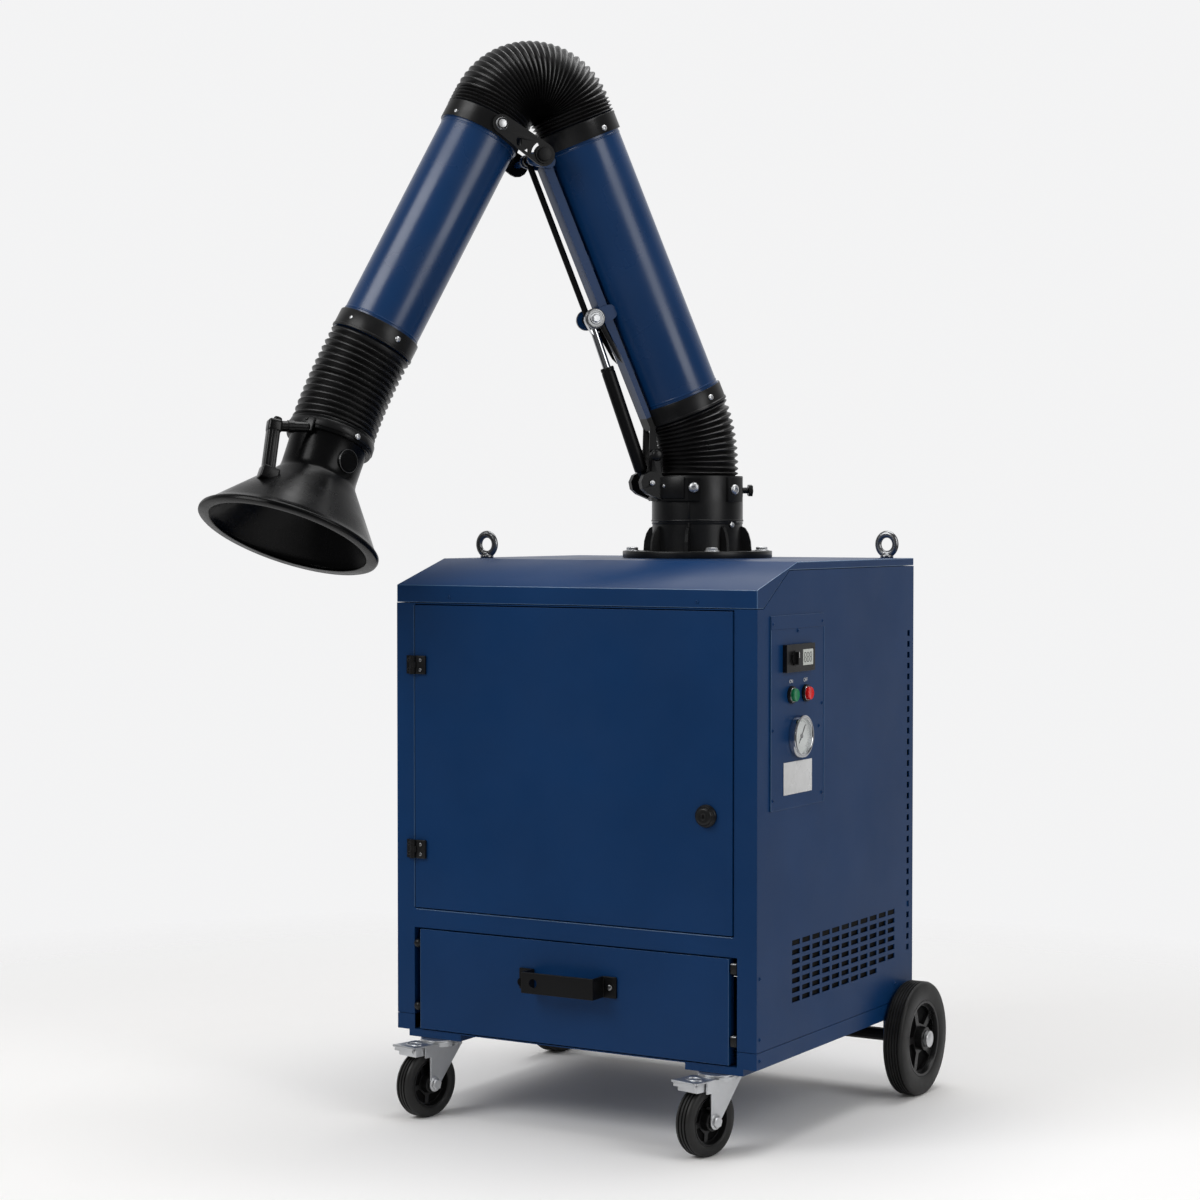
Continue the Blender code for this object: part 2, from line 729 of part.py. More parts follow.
def link_outline(first, first_radius, second, second_radius, count=5):
    """Two round ends joined by their common tangents."""
    dx, dy = second[0] - first[0], second[1] - first[1]
    heading = math.atan2(dy, dx)
    spread = math.acos((first_radius - second_radius) / math.hypot(dx, dy))
    return (arc(second, second_radius, heading - spread, heading + spread, count)
            + arc(first, first_radius, heading + spread, heading + FULL_TURN - spread, count))


def rectangle(x0, y0, x1, y1):
    return [(x0, y0), (x1, y0), (x1, y1), (x0, y1)]


ARM_PLANE = Matrix.Rotation(QUARTER_TURN, 4, "X")
SIDE_PLANE = Matrix(((0, 0, 1, 0), (1, 0, 0, 0), (0, 1, 0, 0), (0, 0, 0, 1)))


def arm_plate(outlines, inner, outer):
    """A plate in the arm's upright plane, between two distances to the side of it."""
    place = Matrix.Translation((0, (inner + outer) / 2, 0)) @ ARM_PLANE
    return plate(outlines, abs(outer - inner), place, ARM)


def side_plate(outlines, x0, x1):
    """A plate drawn in Y and Z, between two places along X."""
    place = Matrix.Translation(((x0 + x1) / 2, 0, 0)) @ SIDE_PLANE
    return plate(outlines, abs(x1 - x0), place)


# Cabinet shell

def lid_outline(grow):
    """The lid seen from the side, drawn smaller all round by a negative grow."""
    front = FRONT_Y - grow
    rear = REAR_Y + grow
    slope_end = FRONT_Y + SLOPE_RUN
    step = FRONT_Y + LID_SKIRT_STEP
    return [
        (front, SKIRT_FRONT_Z), (step, SKIRT_FRONT_Z),
        (step + LID_SKIRT_RISE_RUN, TOP_Z - LID_SIDE_SKIRT), (rear, TOP_Z - LID_SIDE_SKIRT),
        (rear, TOP_Z + grow), (slope_end, TOP_Z + grow), (front, SLOPE_START_Z + grow),
    ]


def make_lid():
    lid = side_plate([lid_outline(0)], -SIDE_X, SIDE_X)
    hollow = lid_outline(-SHEET)
    floor = SKIRT_FRONT_Z - OVERRUN
    hollow = [(hollow[0][0], floor), (hollow[3][0], floor)] + hollow[4:]
    room = side_plate([hollow], SHEET - SIDE_X, SIDE_X - SHEET)
    duct = cone((0, ARM_BASE_Y, TOP_Z - OVERRUN), (0, ARM_BASE_Y, TOP_Z + OVERRUN),
                SOCKET_BORE, sides=ROUND_SIDES)
    stems = [cone((x, y, TOP_Z - OVERRUN), (x, y, TOP_Z + OVERRUN),
                  EYE_STEM_RADIUS + SEAT_GAP)
             for x, y in ((-EYE_X, EYE_LEFT_Y), (EYE_X, EYE_RIGHT_Y))]
    cut(lid, room, duct, *stems)
    return finish(lid, "lid", PAINT_BLUE)


def panel_outline():
    """A side panel seen from the side: it stops a seam below the lid's skirt."""
    front = FRONT_Y + SHEET + SEAT_GAP
    rear = REAR_Y - SHEET - SEAT_GAP
    step = FRONT_Y + LID_SKIRT_STEP
    return [
        (front, SIDE_SEAM_Z + PANEL_SEAM), (rear, SIDE_SEAM_Z + PANEL_SEAM),
        (rear, TOP_Z - LID_SIDE_SKIRT - PANEL_SEAM),
        (step + LID_SKIRT_RISE_RUN, TOP_Z - LID_SIDE_SKIRT - PANEL_SEAM),
        (step, SKIRT_FRONT_Z - PANEL_SEAM), (front, SKIRT_FRONT_Z - PANEL_SEAM),
    ]


def vent_holes():
    holes = []
    for column in range(VENT_COLUMNS):
        for row in range(0 if column < VENT_LOWEST_COLUMNS else 1, VENT_ROWS):
            y = VENT_FIRST_Y + column * VENT_PITCH_Y - VENT_SLOT_LENGTH / 2
            z = VENT_LOWEST_Z + row * VENT_PITCH_Z - VENT_SLOT_HEIGHT / 2
            holes.append(rectangle(y, z, y + VENT_SLOT_LENGTH, z + VENT_SLOT_HEIGHT))
    y = REAR_Y - EDGE_SLOT_FROM_REAR - EDGE_SLOT_SIZE / 2
    for slot in range(EDGE_SLOTS):
        z = EDGE_SLOT_LOWEST_Z + slot * EDGE_SLOT_PITCH - EDGE_SLOT_SIZE / 2
        holes.append(rectangle(y, z, y + EDGE_SLOT_SIZE, z + EDGE_SLOT_SIZE))
    return holes


def make_side_panels():
    right_holes = vent_holes()
    right_holes.append(rectangle(
        CONTROL_FRONT_Y + CONTROL_MARGIN, CONTROL_BOTTOM_Z + CONTROL_MARGIN,
        CONTROL_REAR_Y - CONTROL_MARGIN, CONTROL_TOP_Z - CONTROL_MARGIN))
    right = side_plate([panel_outline()] + right_holes, SIDE_X - SHEET, SIDE_X)
    left = side_plate([panel_outline()], -SIDE_X, SHEET - SIDE_X)
    finish(right, "right_side_panel", PAINT_BLUE)
    finish(left, "left_side_panel", PAINT_BLUE)


def make_rear_panel():
    top = TOP_Z - LID_SIDE_SKIRT - PANEL_SEAM
    panel = box((-SIDE_X, REAR_Y - SHEET, SIDE_SEAM_Z + PANEL_SEAM), (SIDE_X, REAR_Y, top))
    return finish(panel, "rear_panel", PAINT_BLUE)


def door_opening():
    return (-SIDE_X + DOOR_OPENING_LEFT, DOOR_OPENING_BOTTOM_Z,
            SIDE_X - DOOR_OPENING_RIGHT, DOOR_OPENING_TOP_Z)


def drawer_opening():
    return (-SIDE_X + DRAWER_OPENING_SIDE, DRAWER_OPENING_TOP_Z,
            SIDE_X - DRAWER_OPENING_SIDE)


def make_front_frame():
    """A sheet frame whose openings are folded inwards, hollow from behind."""
    low_z = SIDE_SEAM_Z + PANEL_SEAM
    high_z = SKIRT_FRONT_Z - PANEL_SEAM
    back = FRONT_Y + FOLD_DEPTH
    frame = box((-SIDE_X, FRONT_Y, low_z), (SIDE_X, FRONT_Y + SHEET, high_z))
    rim = box((-SIDE_X + SHEET + SEAT_GAP, FRONT_Y + SHEET / 2, low_z),
              (SIDE_X - SHEET - SEAT_GAP, back, high_z))
    pocket = box((-SIDE_X + 2 * SHEET, FRONT_Y + SHEET, low_z + SHEET),
                 (SIDE_X - 2 * SHEET, back + OVERRUN, high_z - SHEET))
    x0, z0, x1, z1 = door_opening()
    door_wall = box((x0 - SHEET, FRONT_Y + SHEET / 2, z0 - SHEET), (x1 + SHEET, back, high_z))
    door_hole = box((x0, FRONT_Y - OVERRUN, z0), (x1, back + OVERRUN, z1))
    left, top, right = drawer_opening()
    drawer_wall = box((left - SHEET, FRONT_Y + SHEET / 2, low_z), (right + SHEET, back, top + SHEET))
    drawer_hole = box((left, FRONT_Y - OVERRUN, low_z - OVERRUN), (right, back + OVERRUN, top))
    fuse(frame, rim)
    cut(frame, pocket)
    fuse(frame, door_wall, drawer_wall)
    cut(frame, door_hole, drawer_hole)
    return finish(frame, "front_frame", PAINT_BLUE)


def make_base_tray():
    """The bottom tray, open in front for the drawer, with caster brackets and axle hangers."""
    tray = box((-SIDE_X, FRONT_Y, CABINET_BASE_Z), (SIDE_X, REAR_Y, SIDE_SEAM_Z))
    room = box((-SIDE_X + SHEET, FRONT_Y + SHEET, CABINET_BASE_Z + SHEET),
               (SIDE_X - SHEET, REAR_Y - SHEET, SIDE_SEAM_Z + OVERRUN))
    left, _, right = drawer_opening()
    mouth = box((left, FRONT_Y - OVERRUN, CABINET_BASE_Z + SHEET),
                (right, FRONT_Y + 2 * SHEET, SIDE_SEAM_Z + OVERRUN))
    cut(tray, room, mouth)
    for side in (-1, 1):
        x = side * CASTER_X
        fuse(tray, box((x - CASTER_BRACKET_LENGTH / 2, FRONT_Y, CABINET_BASE_Z - CASTER_BRACKET_DROP),
                       (x + CASTER_BRACKET_LENGTH / 2, FRONT_Y + CASTER_BRACKET_WIDTH,
                        CABINET_BASE_Z + SHEET / 2)))
        hanger_x = side * AXLE_HANGER_X
        hanger = box((hanger_x - AXLE_HANGER_WIDTH / 2, REAR_WHEEL_Y - AXLE_HANGER_LENGTH / 2,
                      REAR_WHEEL_RADIUS - 2 * AXLE_RADIUS),
                     (hanger_x + AXLE_HANGER_WIDTH / 2, REAR_Y, CABINET_BASE_Z + SHEET / 2))
        fuse(tray, hanger)
        cut(tray, cone((hanger_x - OVERRUN, REAR_WHEEL_Y, REAR_WHEEL_RADIUS),
                       (hanger_x + OVERRUN, REAR_WHEEL_Y, REAR_WHEEL_RADIUS),
                       AXLE_RADIUS + SEAT_GAP))
        runner_x = side * (SIDE_X - DRAWER_OPENING_SIDE - DRAWER_SIDE_GAP - DRAWER_TRAY_INSET
                           + SEAT_GAP + RUNNER_WIDTH / 2)
        fuse(tray, box((runner_x - RUNNER_WIDTH / 2, FRONT_Y + FOLD_DEPTH,
                        CABINET_BASE_Z + SHEET / 2),
                       (runner_x + RUNNER_WIDTH / 2, FRONT_Y + DRAWER_TRAY_DEPTH,
                        CABINET_BASE_Z + SHEET + RUNNER_HEIGHT)))
    return finish(tray, "base_tray", PAINT_BLUE)


def make_shelf():
    """The floor of the filter room: a dust chute in front, the fan inlet behind."""
    clear = SHEET + SEAT_GAP
    front = FRONT_Y + FOLD_DEPTH + SEAT_GAP
    shelf = box((-SIDE_X + clear, front, SHELF_Z - SHEET), (SIDE_X - clear, REAR_Y - clear, SHELF_Z))
    chute = box((-SHELF_CHUTE_HALF_WIDTH, SHELF_CHUTE_FRONT_Y, SHELF_Z - OVERRUN),
                (SHELF_CHUTE_HALF_WIDTH, SHELF_CHUTE_REAR_Y, SHELF_Z + OVERRUN))
    inlet = cone((0, FILTER_Y, SHELF_Z - OVERRUN), (0, FILTER_Y, SHELF_Z + OVERRUN),
                 FAN_INLET_RADIUS, sides=ROUND_SIDES)
    for side in (-1, 1):
        x0 = side * (SIDE_X - clear)
        x1 = side * (SIDE_X - clear - SHEET)
        fuse(shelf, box((min(x0, x1), front, SHELF_Z - SHELF_LIP),
                        (max(x0, x1), REAR_Y - clear, SHELF_Z - SHEET / 2)))
    cut(shelf, chute, inlet)
    return finish(shelf, "mid_shelf", PAINT_BLUE)


# Door

def door_box():
    x0, z0, x1, z1 = door_opening()
    return x0 + DOOR_GAP, z0 + DOOR_GAP, x1 - DOOR_GAP, z1 - DOOR_GAP


def hinge_axis():
    x0 = door_opening()[0]
    return x0 + DOOR_GAP / 2, FRONT_Y - DOOR_PROUD - RUNNING_GAP - HINGE_BARREL_RADIUS


def make_door():
    x0, z0, x1, z1 = door_box()
    face = FRONT_Y - DOOR_PROUD
    door = box((x0, face, z0), (x1, face + FOLD_DEPTH, z1))
    pan = box((x0 + SHEET, face + SHEET, z0 + SHEET),
              (x1 - SHEET, face + FOLD_DEPTH + OVERRUN, z1 - SHEET))
    shaft = cone((LOCK_X, face - OVERRUN, LOCK_Z), (LOCK_X, face + OVERRUN, LOCK_Z),
                 LOCK_SHAFT_RADIUS + RUNNING_GAP)
    cut(door, pan, shaft)
    origin = (*hinge_axis(), (z0 + z1) / 2)
    return finish(door, "door", PAINT_BLUE, origin)


def make_door_seal():
    """A rubber frame on the folded edge of the door."""
    x0, z0, x1, z1 = door_box()
    inset = SHEET + SEAT_GAP
    face = FRONT_Y - DOOR_PROUD + SHEET + SEAT_GAP
    back = FRONT_Y - DOOR_PROUD + FOLD_DEPTH + SEAL_DEPTH - SHEET
    seal = box((x0 + inset, face, z0 + inset), (x1 - inset, back, z1 - inset))
    inner = inset + SEAL_WIDTH
    hole = box((x0 + inner, face - OVERRUN, z0 + inner), (x1 - inner, back + OVERRUN, z1 - inner))
    cut(seal, hole)
    return finish(seal, "door_seal", RUBBER_BLACK, (*hinge_axis(), (z0 + z1) / 2))


def make_hinge(name, height):
    """Two leaves on one pin: the frame leaf carries the pin, the door leaf turns on it."""
    x, y = hinge_axis()
    half = HINGE_HEIGHT / 2
    third = HINGE_HEIGHT / 6
    stile_y = FRONT_Y - SEAT_GAP
    door_y = FRONT_Y - DOOR_PROUD - SEAT_GAP
    frame_leaf = box((x - HINGE_LEAF, stile_y - HINGE_PLATE, height - half),
                     (x - HINGE_BARREL_RADIUS - RUNNING_GAP, stile_y, height + half))
    for low, high in ((-half, -third - RUNNING_GAP), (third + RUNNING_GAP, half)):
        fuse(frame_leaf, cone((x, y, height + low), (x, y, height + high), HINGE_BARREL_RADIUS))
        fuse(frame_leaf, box((x - HINGE_LEAF / 2, y, height + low),
                             (x, y + HINGE_BARREL_RADIUS, height + high)))
    fuse(frame_leaf, cone((x, y, height - half + SHEET), (x, y, height + half - SHEET),
                          HINGE_PIN_RADIUS))
    door_leaf = box((x + HINGE_BARREL_RADIUS + RUNNING_GAP, door_y - HINGE_PLATE, height - half),
                    (x + HINGE_LEAF, door_y, height + half))
    fuse(door_leaf, cone((x, y, height - third), (x, y, height + third), HINGE_BARREL_RADIUS))
    fuse(door_leaf, box((x, y - HINGE_PLATE / 2, height - third),
                        (x + HINGE_LEAF / 2, y + HINGE_PLATE / 2, height + third - SEAT_GAP)))
    cut(door_leaf, cone((x, y, height - half), (x, y, height + half),
                        HINGE_PIN_RADIUS + SEAT_GAP))
    finish(frame_leaf, name + "_frame_leaf", PLASTIC_BLACK)
    finish(door_leaf, name + "_door_leaf", PLASTIC_BLACK, (x, y, height))


def make_door_lock():
    """A round turn lock: knob outside, cam behind the frame's folded edge."""
    face = FRONT_Y - DOOR_PROUD - SEAT_GAP
    back = FRONT_Y + FOLD_DEPTH + RUNNING_GAP
    deep = back + LOCK_CAM_THICKNESS
    knob = turned([(0, LOCK_PROUD), (LOCK_RADIUS - SHEET, LOCK_PROUD),
                   (LOCK_RADIUS, LOCK_PROUD - SHEET), (LOCK_RADIUS, 0), (0, 0)],
                  (LOCK_X, face, LOCK_Z), -Y_AXIS)
    shaft = cone((LOCK_X, face - SHEET, LOCK_Z), (LOCK_X, deep - SHEET / 2, LOCK_Z),
                 LOCK_SHAFT_RADIUS)
    cam = box((LOCK_X - LOCK_CAM_WIDTH / 2, back, LOCK_Z - LOCK_CAM_WIDTH / 2),
              (LOCK_X + LOCK_CAM_LENGTH - LOCK_CAM_WIDTH / 2, deep, LOCK_Z + LOCK_CAM_WIDTH / 2))
    slot = box((LOCK_X - LOCK_SLOT_WIDTH / 2, face - LOCK_PROUD - OVERRUN,
                LOCK_Z - LOCK_SLOT_LENGTH / 2),
               (LOCK_X + LOCK_SLOT_WIDTH / 2, face - LOCK_PROUD + LOCK_SLOT_DEPTH,
                LOCK_Z + LOCK_SLOT_LENGTH / 2))
    fuse(knob, shaft, cam)
    cut(knob, slot)
    return finish(knob, "door_lock", PLASTIC_BLACK, (LOCK_X, face, LOCK_Z))


# Drawer

def make_drawer():
    left, top, right = drawer_opening()
    x0, x1 = left + DRAWER_SIDE_GAP, right - DRAWER_SIDE_GAP
    face = FRONT_Y - DOOR_PROUD
    drawer = box((x0, face, DRAWER_BOTTOM_Z), (x1, face + FOLD_DEPTH, top - DRAWER_TOP_GAP))
    tray_x0, tray_x1 = x0 + DRAWER_TRAY_INSET + RUNNER_WIDTH, x1 - DRAWER_TRAY_INSET - RUNNER_WIDTH
    tray_z = CABINET_BASE_Z + SHEET + DRAWER_FLOOR_CLEAR
    tray_top = tray_z + DRAWER_TRAY_HEIGHT
    rear = face + DRAWER_TRAY_DEPTH
    pan = box((x0 + SHEET, face + SHEET, DRAWER_BOTTOM_Z + SHEET),
              (x1 - SHEET, face + FOLD_DEPTH + OVERRUN, top - DRAWER_TOP_GAP - SHEET))
    tray = box((tray_x0, face + SHEET / 2, tray_z), (tray_x1, rear, tray_top))
    room = box((tray_x0 + SHEET, face + FOLD_DEPTH, tray_z + SHEET),
               (tray_x1 - SHEET, rear - SHEET, tray_top + OVERRUN))
    rail_z = CABINET_BASE_Z + SHEET + RUNNER_HEIGHT + SEAT_GAP
    cut(drawer, pan)
    fuse(drawer, tray)
    for x, outer in ((tray_x0, x0 + DRAWER_TRAY_INSET), (tray_x1, x1 - DRAWER_TRAY_INSET)):
        inner = x + (SHEET / 2 if x < 0 else -SHEET / 2)
        fuse(drawer, box((min(inner, outer), face + FOLD_DEPTH, rail_z),
                         (max(inner, outer), rear, rail_z + SHEET)))
    cut(drawer, room)
    return finish(drawer, "drawer", PAINT_BLUE)


def make_drawer_handle():
    """A bent flat bar on two feet, with a round hole at its left end."""
    face = FRONT_Y - DOOR_PROUD - SEAT_GAP
    z0 = DRAWER_HANDLE_Z - DRAWER_HANDLE_HEIGHT / 2
    z1 = DRAWER_HANDLE_Z + DRAWER_HANDLE_HEIGHT / 2
    x0 = DRAWER_HANDLE_X - DRAWER_HANDLE_SPAN / 2
    x1 = DRAWER_HANDLE_X + DRAWER_HANDLE_SPAN / 2
    strap = DRAWER_HANDLE_STRAP
    outer = face - DRAWER_HANDLE_REACH
    outline = [
        (x0 - DRAWER_HANDLE_FOOT, face), (x0 - DRAWER_HANDLE_FOOT, face - strap),
        (x0, face - strap), (x0, outer), (x1, outer), (x1, face - strap),
        (x1 + DRAWER_HANDLE_FOOT, face - strap), (x1 + DRAWER_HANDLE_FOOT, face),
        (x1 - strap, face), (x1 - strap, outer + strap), (x0 + strap, outer + strap),
        (x0 + strap, face),
    ]
    handle = plate([outline], z1 - z0, Matrix.Translation((0, 0, (z0 + z1) / 2)))
    hole_x = x0 + DRAWER_HANDLE_HOLE_INSET
    cut(handle, cone((hole_x, outer - OVERRUN, DRAWER_HANDLE_Z),
                     (hole_x, outer + OVERRUN, DRAWER_HANDLE_Z), DRAWER_HANDLE_HOLE_RADIUS))
    return finish(handle, "drawer_handle", PLASTIC_BLACK)


# Control panel

PANEL_X = SIDE_X + SEAT_GAP
PANEL_FACE_X = PANEL_X + CONTROL_THICKNESS


def make_control_panel():
    button_hole = (BUTTON_BODY_RADIUS + BUTTON_BEZEL_RADIUS) / 2
    button_holes = [circle((y, BUTTON_Z), button_hole)
                    for y in (START_BUTTON_Y, STOP_BUTTON_Y)]
    gauge_hole = circle((GAUGE_Y, GAUGE_Z), GAUGE_BODY_RADIUS + SEAT_GAP, ROUND_SIDES)
    inset = SWITCH_BACK_INSET - SEAT_GAP
    switch_hole = rectangle(SWITCH_FRONT_Y + inset, SWITCH_BOTTOM_Z + inset,
                            SWITCH_REAR_Y - inset, SWITCH_TOP_Z - inset)
    outline = rectangle(CONTROL_FRONT_Y, CONTROL_BOTTOM_Z, CONTROL_REAR_Y, CONTROL_TOP_Z)
    panel = side_plate([outline, *button_holes, gauge_hole, switch_hole], PANEL_X, PANEL_FACE_X)
    return finish(panel, "control_panel", PAINT_BLUE)


def switch_knob_y():
    return SWITCH_FRONT_Y + SWITCH_KNOB_FROM_FRONT


def make_switch_unit():
    face = PANEL_FACE_X + SEAT_GAP
    middle_z = (SWITCH_BOTTOM_Z + SWITCH_TOP_Z) / 2
    inset = SWITCH_BACK_INSET
    unit = box((face, SWITCH_FRONT_Y, SWITCH_BOTTOM_Z),
               (face + SWITCH_PROUD, SWITCH_REAR_Y, SWITCH_TOP_Z))
    fuse(unit, box((face - SWITCH_BACK_DEPTH, SWITCH_FRONT_Y + inset, SWITCH_BOTTOM_Z + inset),
                   (face + SWITCH_PROUD / 2, SWITCH_REAR_Y - inset, SWITCH_TOP_Z - inset)))
    display_rear = SWITCH_REAR_Y - DISPLAY_REAR_INSET
    window = box((face + SWITCH_PROUD - DISPLAY_DEPTH, display_rear - DISPLAY_WIDTH,
                  middle_z - DISPLAY_HEIGHT / 2),
                 (face + SWITCH_PROUD + OVERRUN, display_rear, middle_z + DISPLAY_HEIGHT / 2))
    shaft = cone((face + SWITCH_PROUD - SWITCH_SHAFT_DEPTH, switch_knob_y(), middle_z),
                 (face + SWITCH_PROUD + OVERRUN, switch_knob_y(), middle_z),
                 SWITCH_KNOB_SHAFT + SEAT_GAP)
    cut(unit, window, shaft)
    return finish(unit, "switch_unit", PLASTIC_BLACK)


def make_switch_knob():
    face = PANEL_FACE_X + 2 * SEAT_GAP + SWITCH_PROUD
    middle_z = (SWITCH_BOTTOM_Z + SWITCH_TOP_Z) / 2
    y = switch_knob_y()
    low = SWITCH_KNOB_PROUD / 3
    knob = turned([(0, low), (SWITCH_KNOB_RADIUS, low), (SWITCH_KNOB_RADIUS, 0), (0, 0)],
                  (face, y, middle_z), X_AXIS, SMALL_SIDES)
    blade = box((face + low / 2, y - SWITCH_KNOB_BLADE / 2, middle_z - SWITCH_KNOB_RADIUS + SHEET),
                (face + SWITCH_KNOB_PROUD, y + SWITCH_KNOB_BLADE / 2,
                 middle_z + SWITCH_KNOB_RADIUS - SHEET))
    stem = cone((face - SWITCH_SHAFT_DEPTH + RUNNING_GAP, y, middle_z),
                (face + low / 2, y, middle_z), SWITCH_KNOB_SHAFT)
    fuse(knob, blade, stem)
    return finish(knob, "switch_knob", PLASTIC_BLACK, (face, y, middle_z))


def make_button(name, y, look):
    """A collar in the panel and a cap that presses into it."""
    face = PANEL_FACE_X + SEAT_GAP
    lip = BUTTON_BEZEL_PROUD
    bore = BUTTON_RADIUS + RUNNING_GAP
    bezel = turned([(BUTTON_BEZEL_RADIUS - SHEET / 2, lip), (BUTTON_BEZEL_RADIUS, lip - SHEET / 2),
                    (BUTTON_BEZEL_RADIUS, 0), (BUTTON_BODY_RADIUS, 0),
                    (BUTTON_BODY_RADIUS, -BUTTON_BODY_DEPTH), (0, -BUTTON_BODY_DEPTH),
                    (0, -BUTTON_STEM_DEPTH - BUTTON_TRAVEL - RUNNING_GAP),
                    (bore, -BUTTON_STEM_DEPTH - BUTTON_TRAVEL - RUNNING_GAP), (bore, lip)],
                   (face, y, BUTTON_Z), X_AXIS, 16)
    cap = turned([(0, BUTTON_PROUD), (BUTTON_RADIUS - SHEET / 2, BUTTON_PROUD),
                  (BUTTON_RADIUS, BUTTON_PROUD - SHEET / 2), (BUTTON_RADIUS, -BUTTON_STEM_DEPTH),
                  (0, -BUTTON_STEM_DEPTH)], (face, y, BUTTON_Z), X_AXIS, 16)
    finish(bezel, name + "_bezel", PLASTIC_BLACK)
    finish(cap, name + "_button", look, (face, y, BUTTON_Z))


def make_gauge():
    face = PANEL_FACE_X + SEAT_GAP
    dial = GAUGE_PROUD - GAUGE_FACE_DEPTH
    case = turned([(GAUGE_RADIUS - SHEET, GAUGE_PROUD), (GAUGE_RADIUS, GAUGE_PROUD - SHEET),
                   (GAUGE_RADIUS, 0), (GAUGE_BODY_RADIUS, 0),
                   (GAUGE_BODY_RADIUS, -GAUGE_BODY_DEPTH), (0, -GAUGE_BODY_DEPTH), (0, dial),
                   (GAUGE_FACE_RADIUS, dial), (GAUGE_FACE_RADIUS, GAUGE_PROUD)],
                  (face, GAUGE_Y, GAUGE_Z), X_AXIS)
    finish(case, "gauge_case", CHROME)
    low = face + dial + SEAT_GAP
    centre = Vector((low, GAUGE_Y, GAUGE_Z))
    needle = cone(centre, centre + X_AXIS * NEEDLE_HUB_HEIGHT, NEEDLE_HUB_RADIUS)
    lift = (NEEDLE_HUB_HEIGHT - NEEDLE_THICKNESS) / 2
    pointer = side_plate([link_outline((-NEEDLE_TAIL, 0), NEEDLE_WIDTH / 2,
                                       (NEEDLE_LENGTH, 0), NEEDLE_WIDTH / 4, 3)],
                         lift, lift + NEEDLE_THICKNESS)
    pointer.data.transform(Matrix.Translation(centre) @ Matrix.Rotation(NEEDLE_ANGLE, 4, "X"))
    fuse(needle, pointer)
    return finish(needle, "gauge_needle", PLASTIC_BLACK, centre)


# Lifting eyes

def make_lifting_eye(name, x, y):
    seat = TOP_Z + SEAT_GAP
    ring_z = seat + EYE_COLLAR_HEIGHT + EYE_RING_RADIUS + EYE_WIRE_RADIUS - EYE_RING_SINK
    collar = turned([(0, EYE_COLLAR_HEIGHT), (EYE_NECK_RADIUS, EYE_COLLAR_HEIGHT),
                     (EYE_COLLAR_RADIUS, EYE_COLLAR_HEIGHT / 2), (EYE_COLLAR_RADIUS, 0),
                     (EYE_STEM_RADIUS, 0), (EYE_STEM_RADIUS, -EYE_STEM_LENGTH),
                     (0, -EYE_STEM_LENGTH)], (x, y, seat), Z_AXIS, SMALL_SIDES)
    round_section = [(EYE_RING_RADIUS + EYE_WIRE_RADIUS * math.cos(a),
                      EYE_WIRE_RADIUS * math.sin(a))
                     for a in (-k * FULL_TURN / 6 for k in range(6))]
    ring = turned(round_section, (x, y, ring_z), Y_AXIS, 16)
    fuse(collar, ring)
    return finish(collar, name, ZINC)


# Filter and fan

def star_outline(outer, depth, teeth):
    points = []
    for k in range(2 * teeth):
        radius = outer if k % 2 else outer - depth
        angle = k * FULL_TURN / (2 * teeth)
        points.append((radius * math.cos(angle), radius * math.sin(angle)))
    return points


def make_filter():
    seat = SHELF_Z + SEAT_GAP
    ring_top = seat + FILTER_RING_HEIGHT
    outer = FILTER_RADIUS + FILTER_RING_LIP
    base = turned([(outer, FILTER_RING_HEIGHT), (outer, 0), (FILTER_CORE_RADIUS, 0),
                   (FILTER_CORE_RADIUS, FILTER_RING_HEIGHT)], (0, FILTER_Y, seat))
    finish(base, "filter_base_ring", RUBBER_BLACK)
    low = ring_top + SEAT_GAP
    middle = Matrix.Translation((0, FILTER_Y, low + FILTER_HEIGHT / 2))
    media = plate([star_outline(FILTER_RADIUS, FILTER_PLEAT_DEPTH, FILTER_PLEATS),
                   circle((0, 0), FILTER_CORE_RADIUS + FILTER_RING_LIP, ROUND_SIDES)],
                  FILTER_HEIGHT, middle)
    finish(media, "filter_cartridge", FILTER_WHITE)
    top = low + FILTER_HEIGHT + SEAT_GAP
    cap = turned([(0, FILTER_CAP_HEIGHT + FILTER_CAP_BOSS_HEIGHT),
                  (FILTER_CAP_BOSS_RADIUS, FILTER_CAP_HEIGHT + FILTER_CAP_BOSS_HEIGHT),
                  (FILTER_CAP_BOSS_RADIUS, FILTER_CAP_HEIGHT), (outer, FILTER_CAP_HEIGHT),
                  (outer, 0), (0, 0)], (0, FILTER_Y, top))
    finish(cap, "filter_cap", GALVANISED)


def scroll_outline(shrink):
    """A fan scroll that grows round its turn and runs out towards the right-hand vents."""
    count = 20
    points = []
    for k in range(count + 1):
        share = k / count
        angle = -QUARTER_TURN + share * FULL_TURN
        radius = FAN_SCROLL_RADIUS + FAN_SCROLL_GROWTH * (1 - share) - shrink
        points.append((radius * math.cos(angle), radius * math.sin(angle)))
    return points


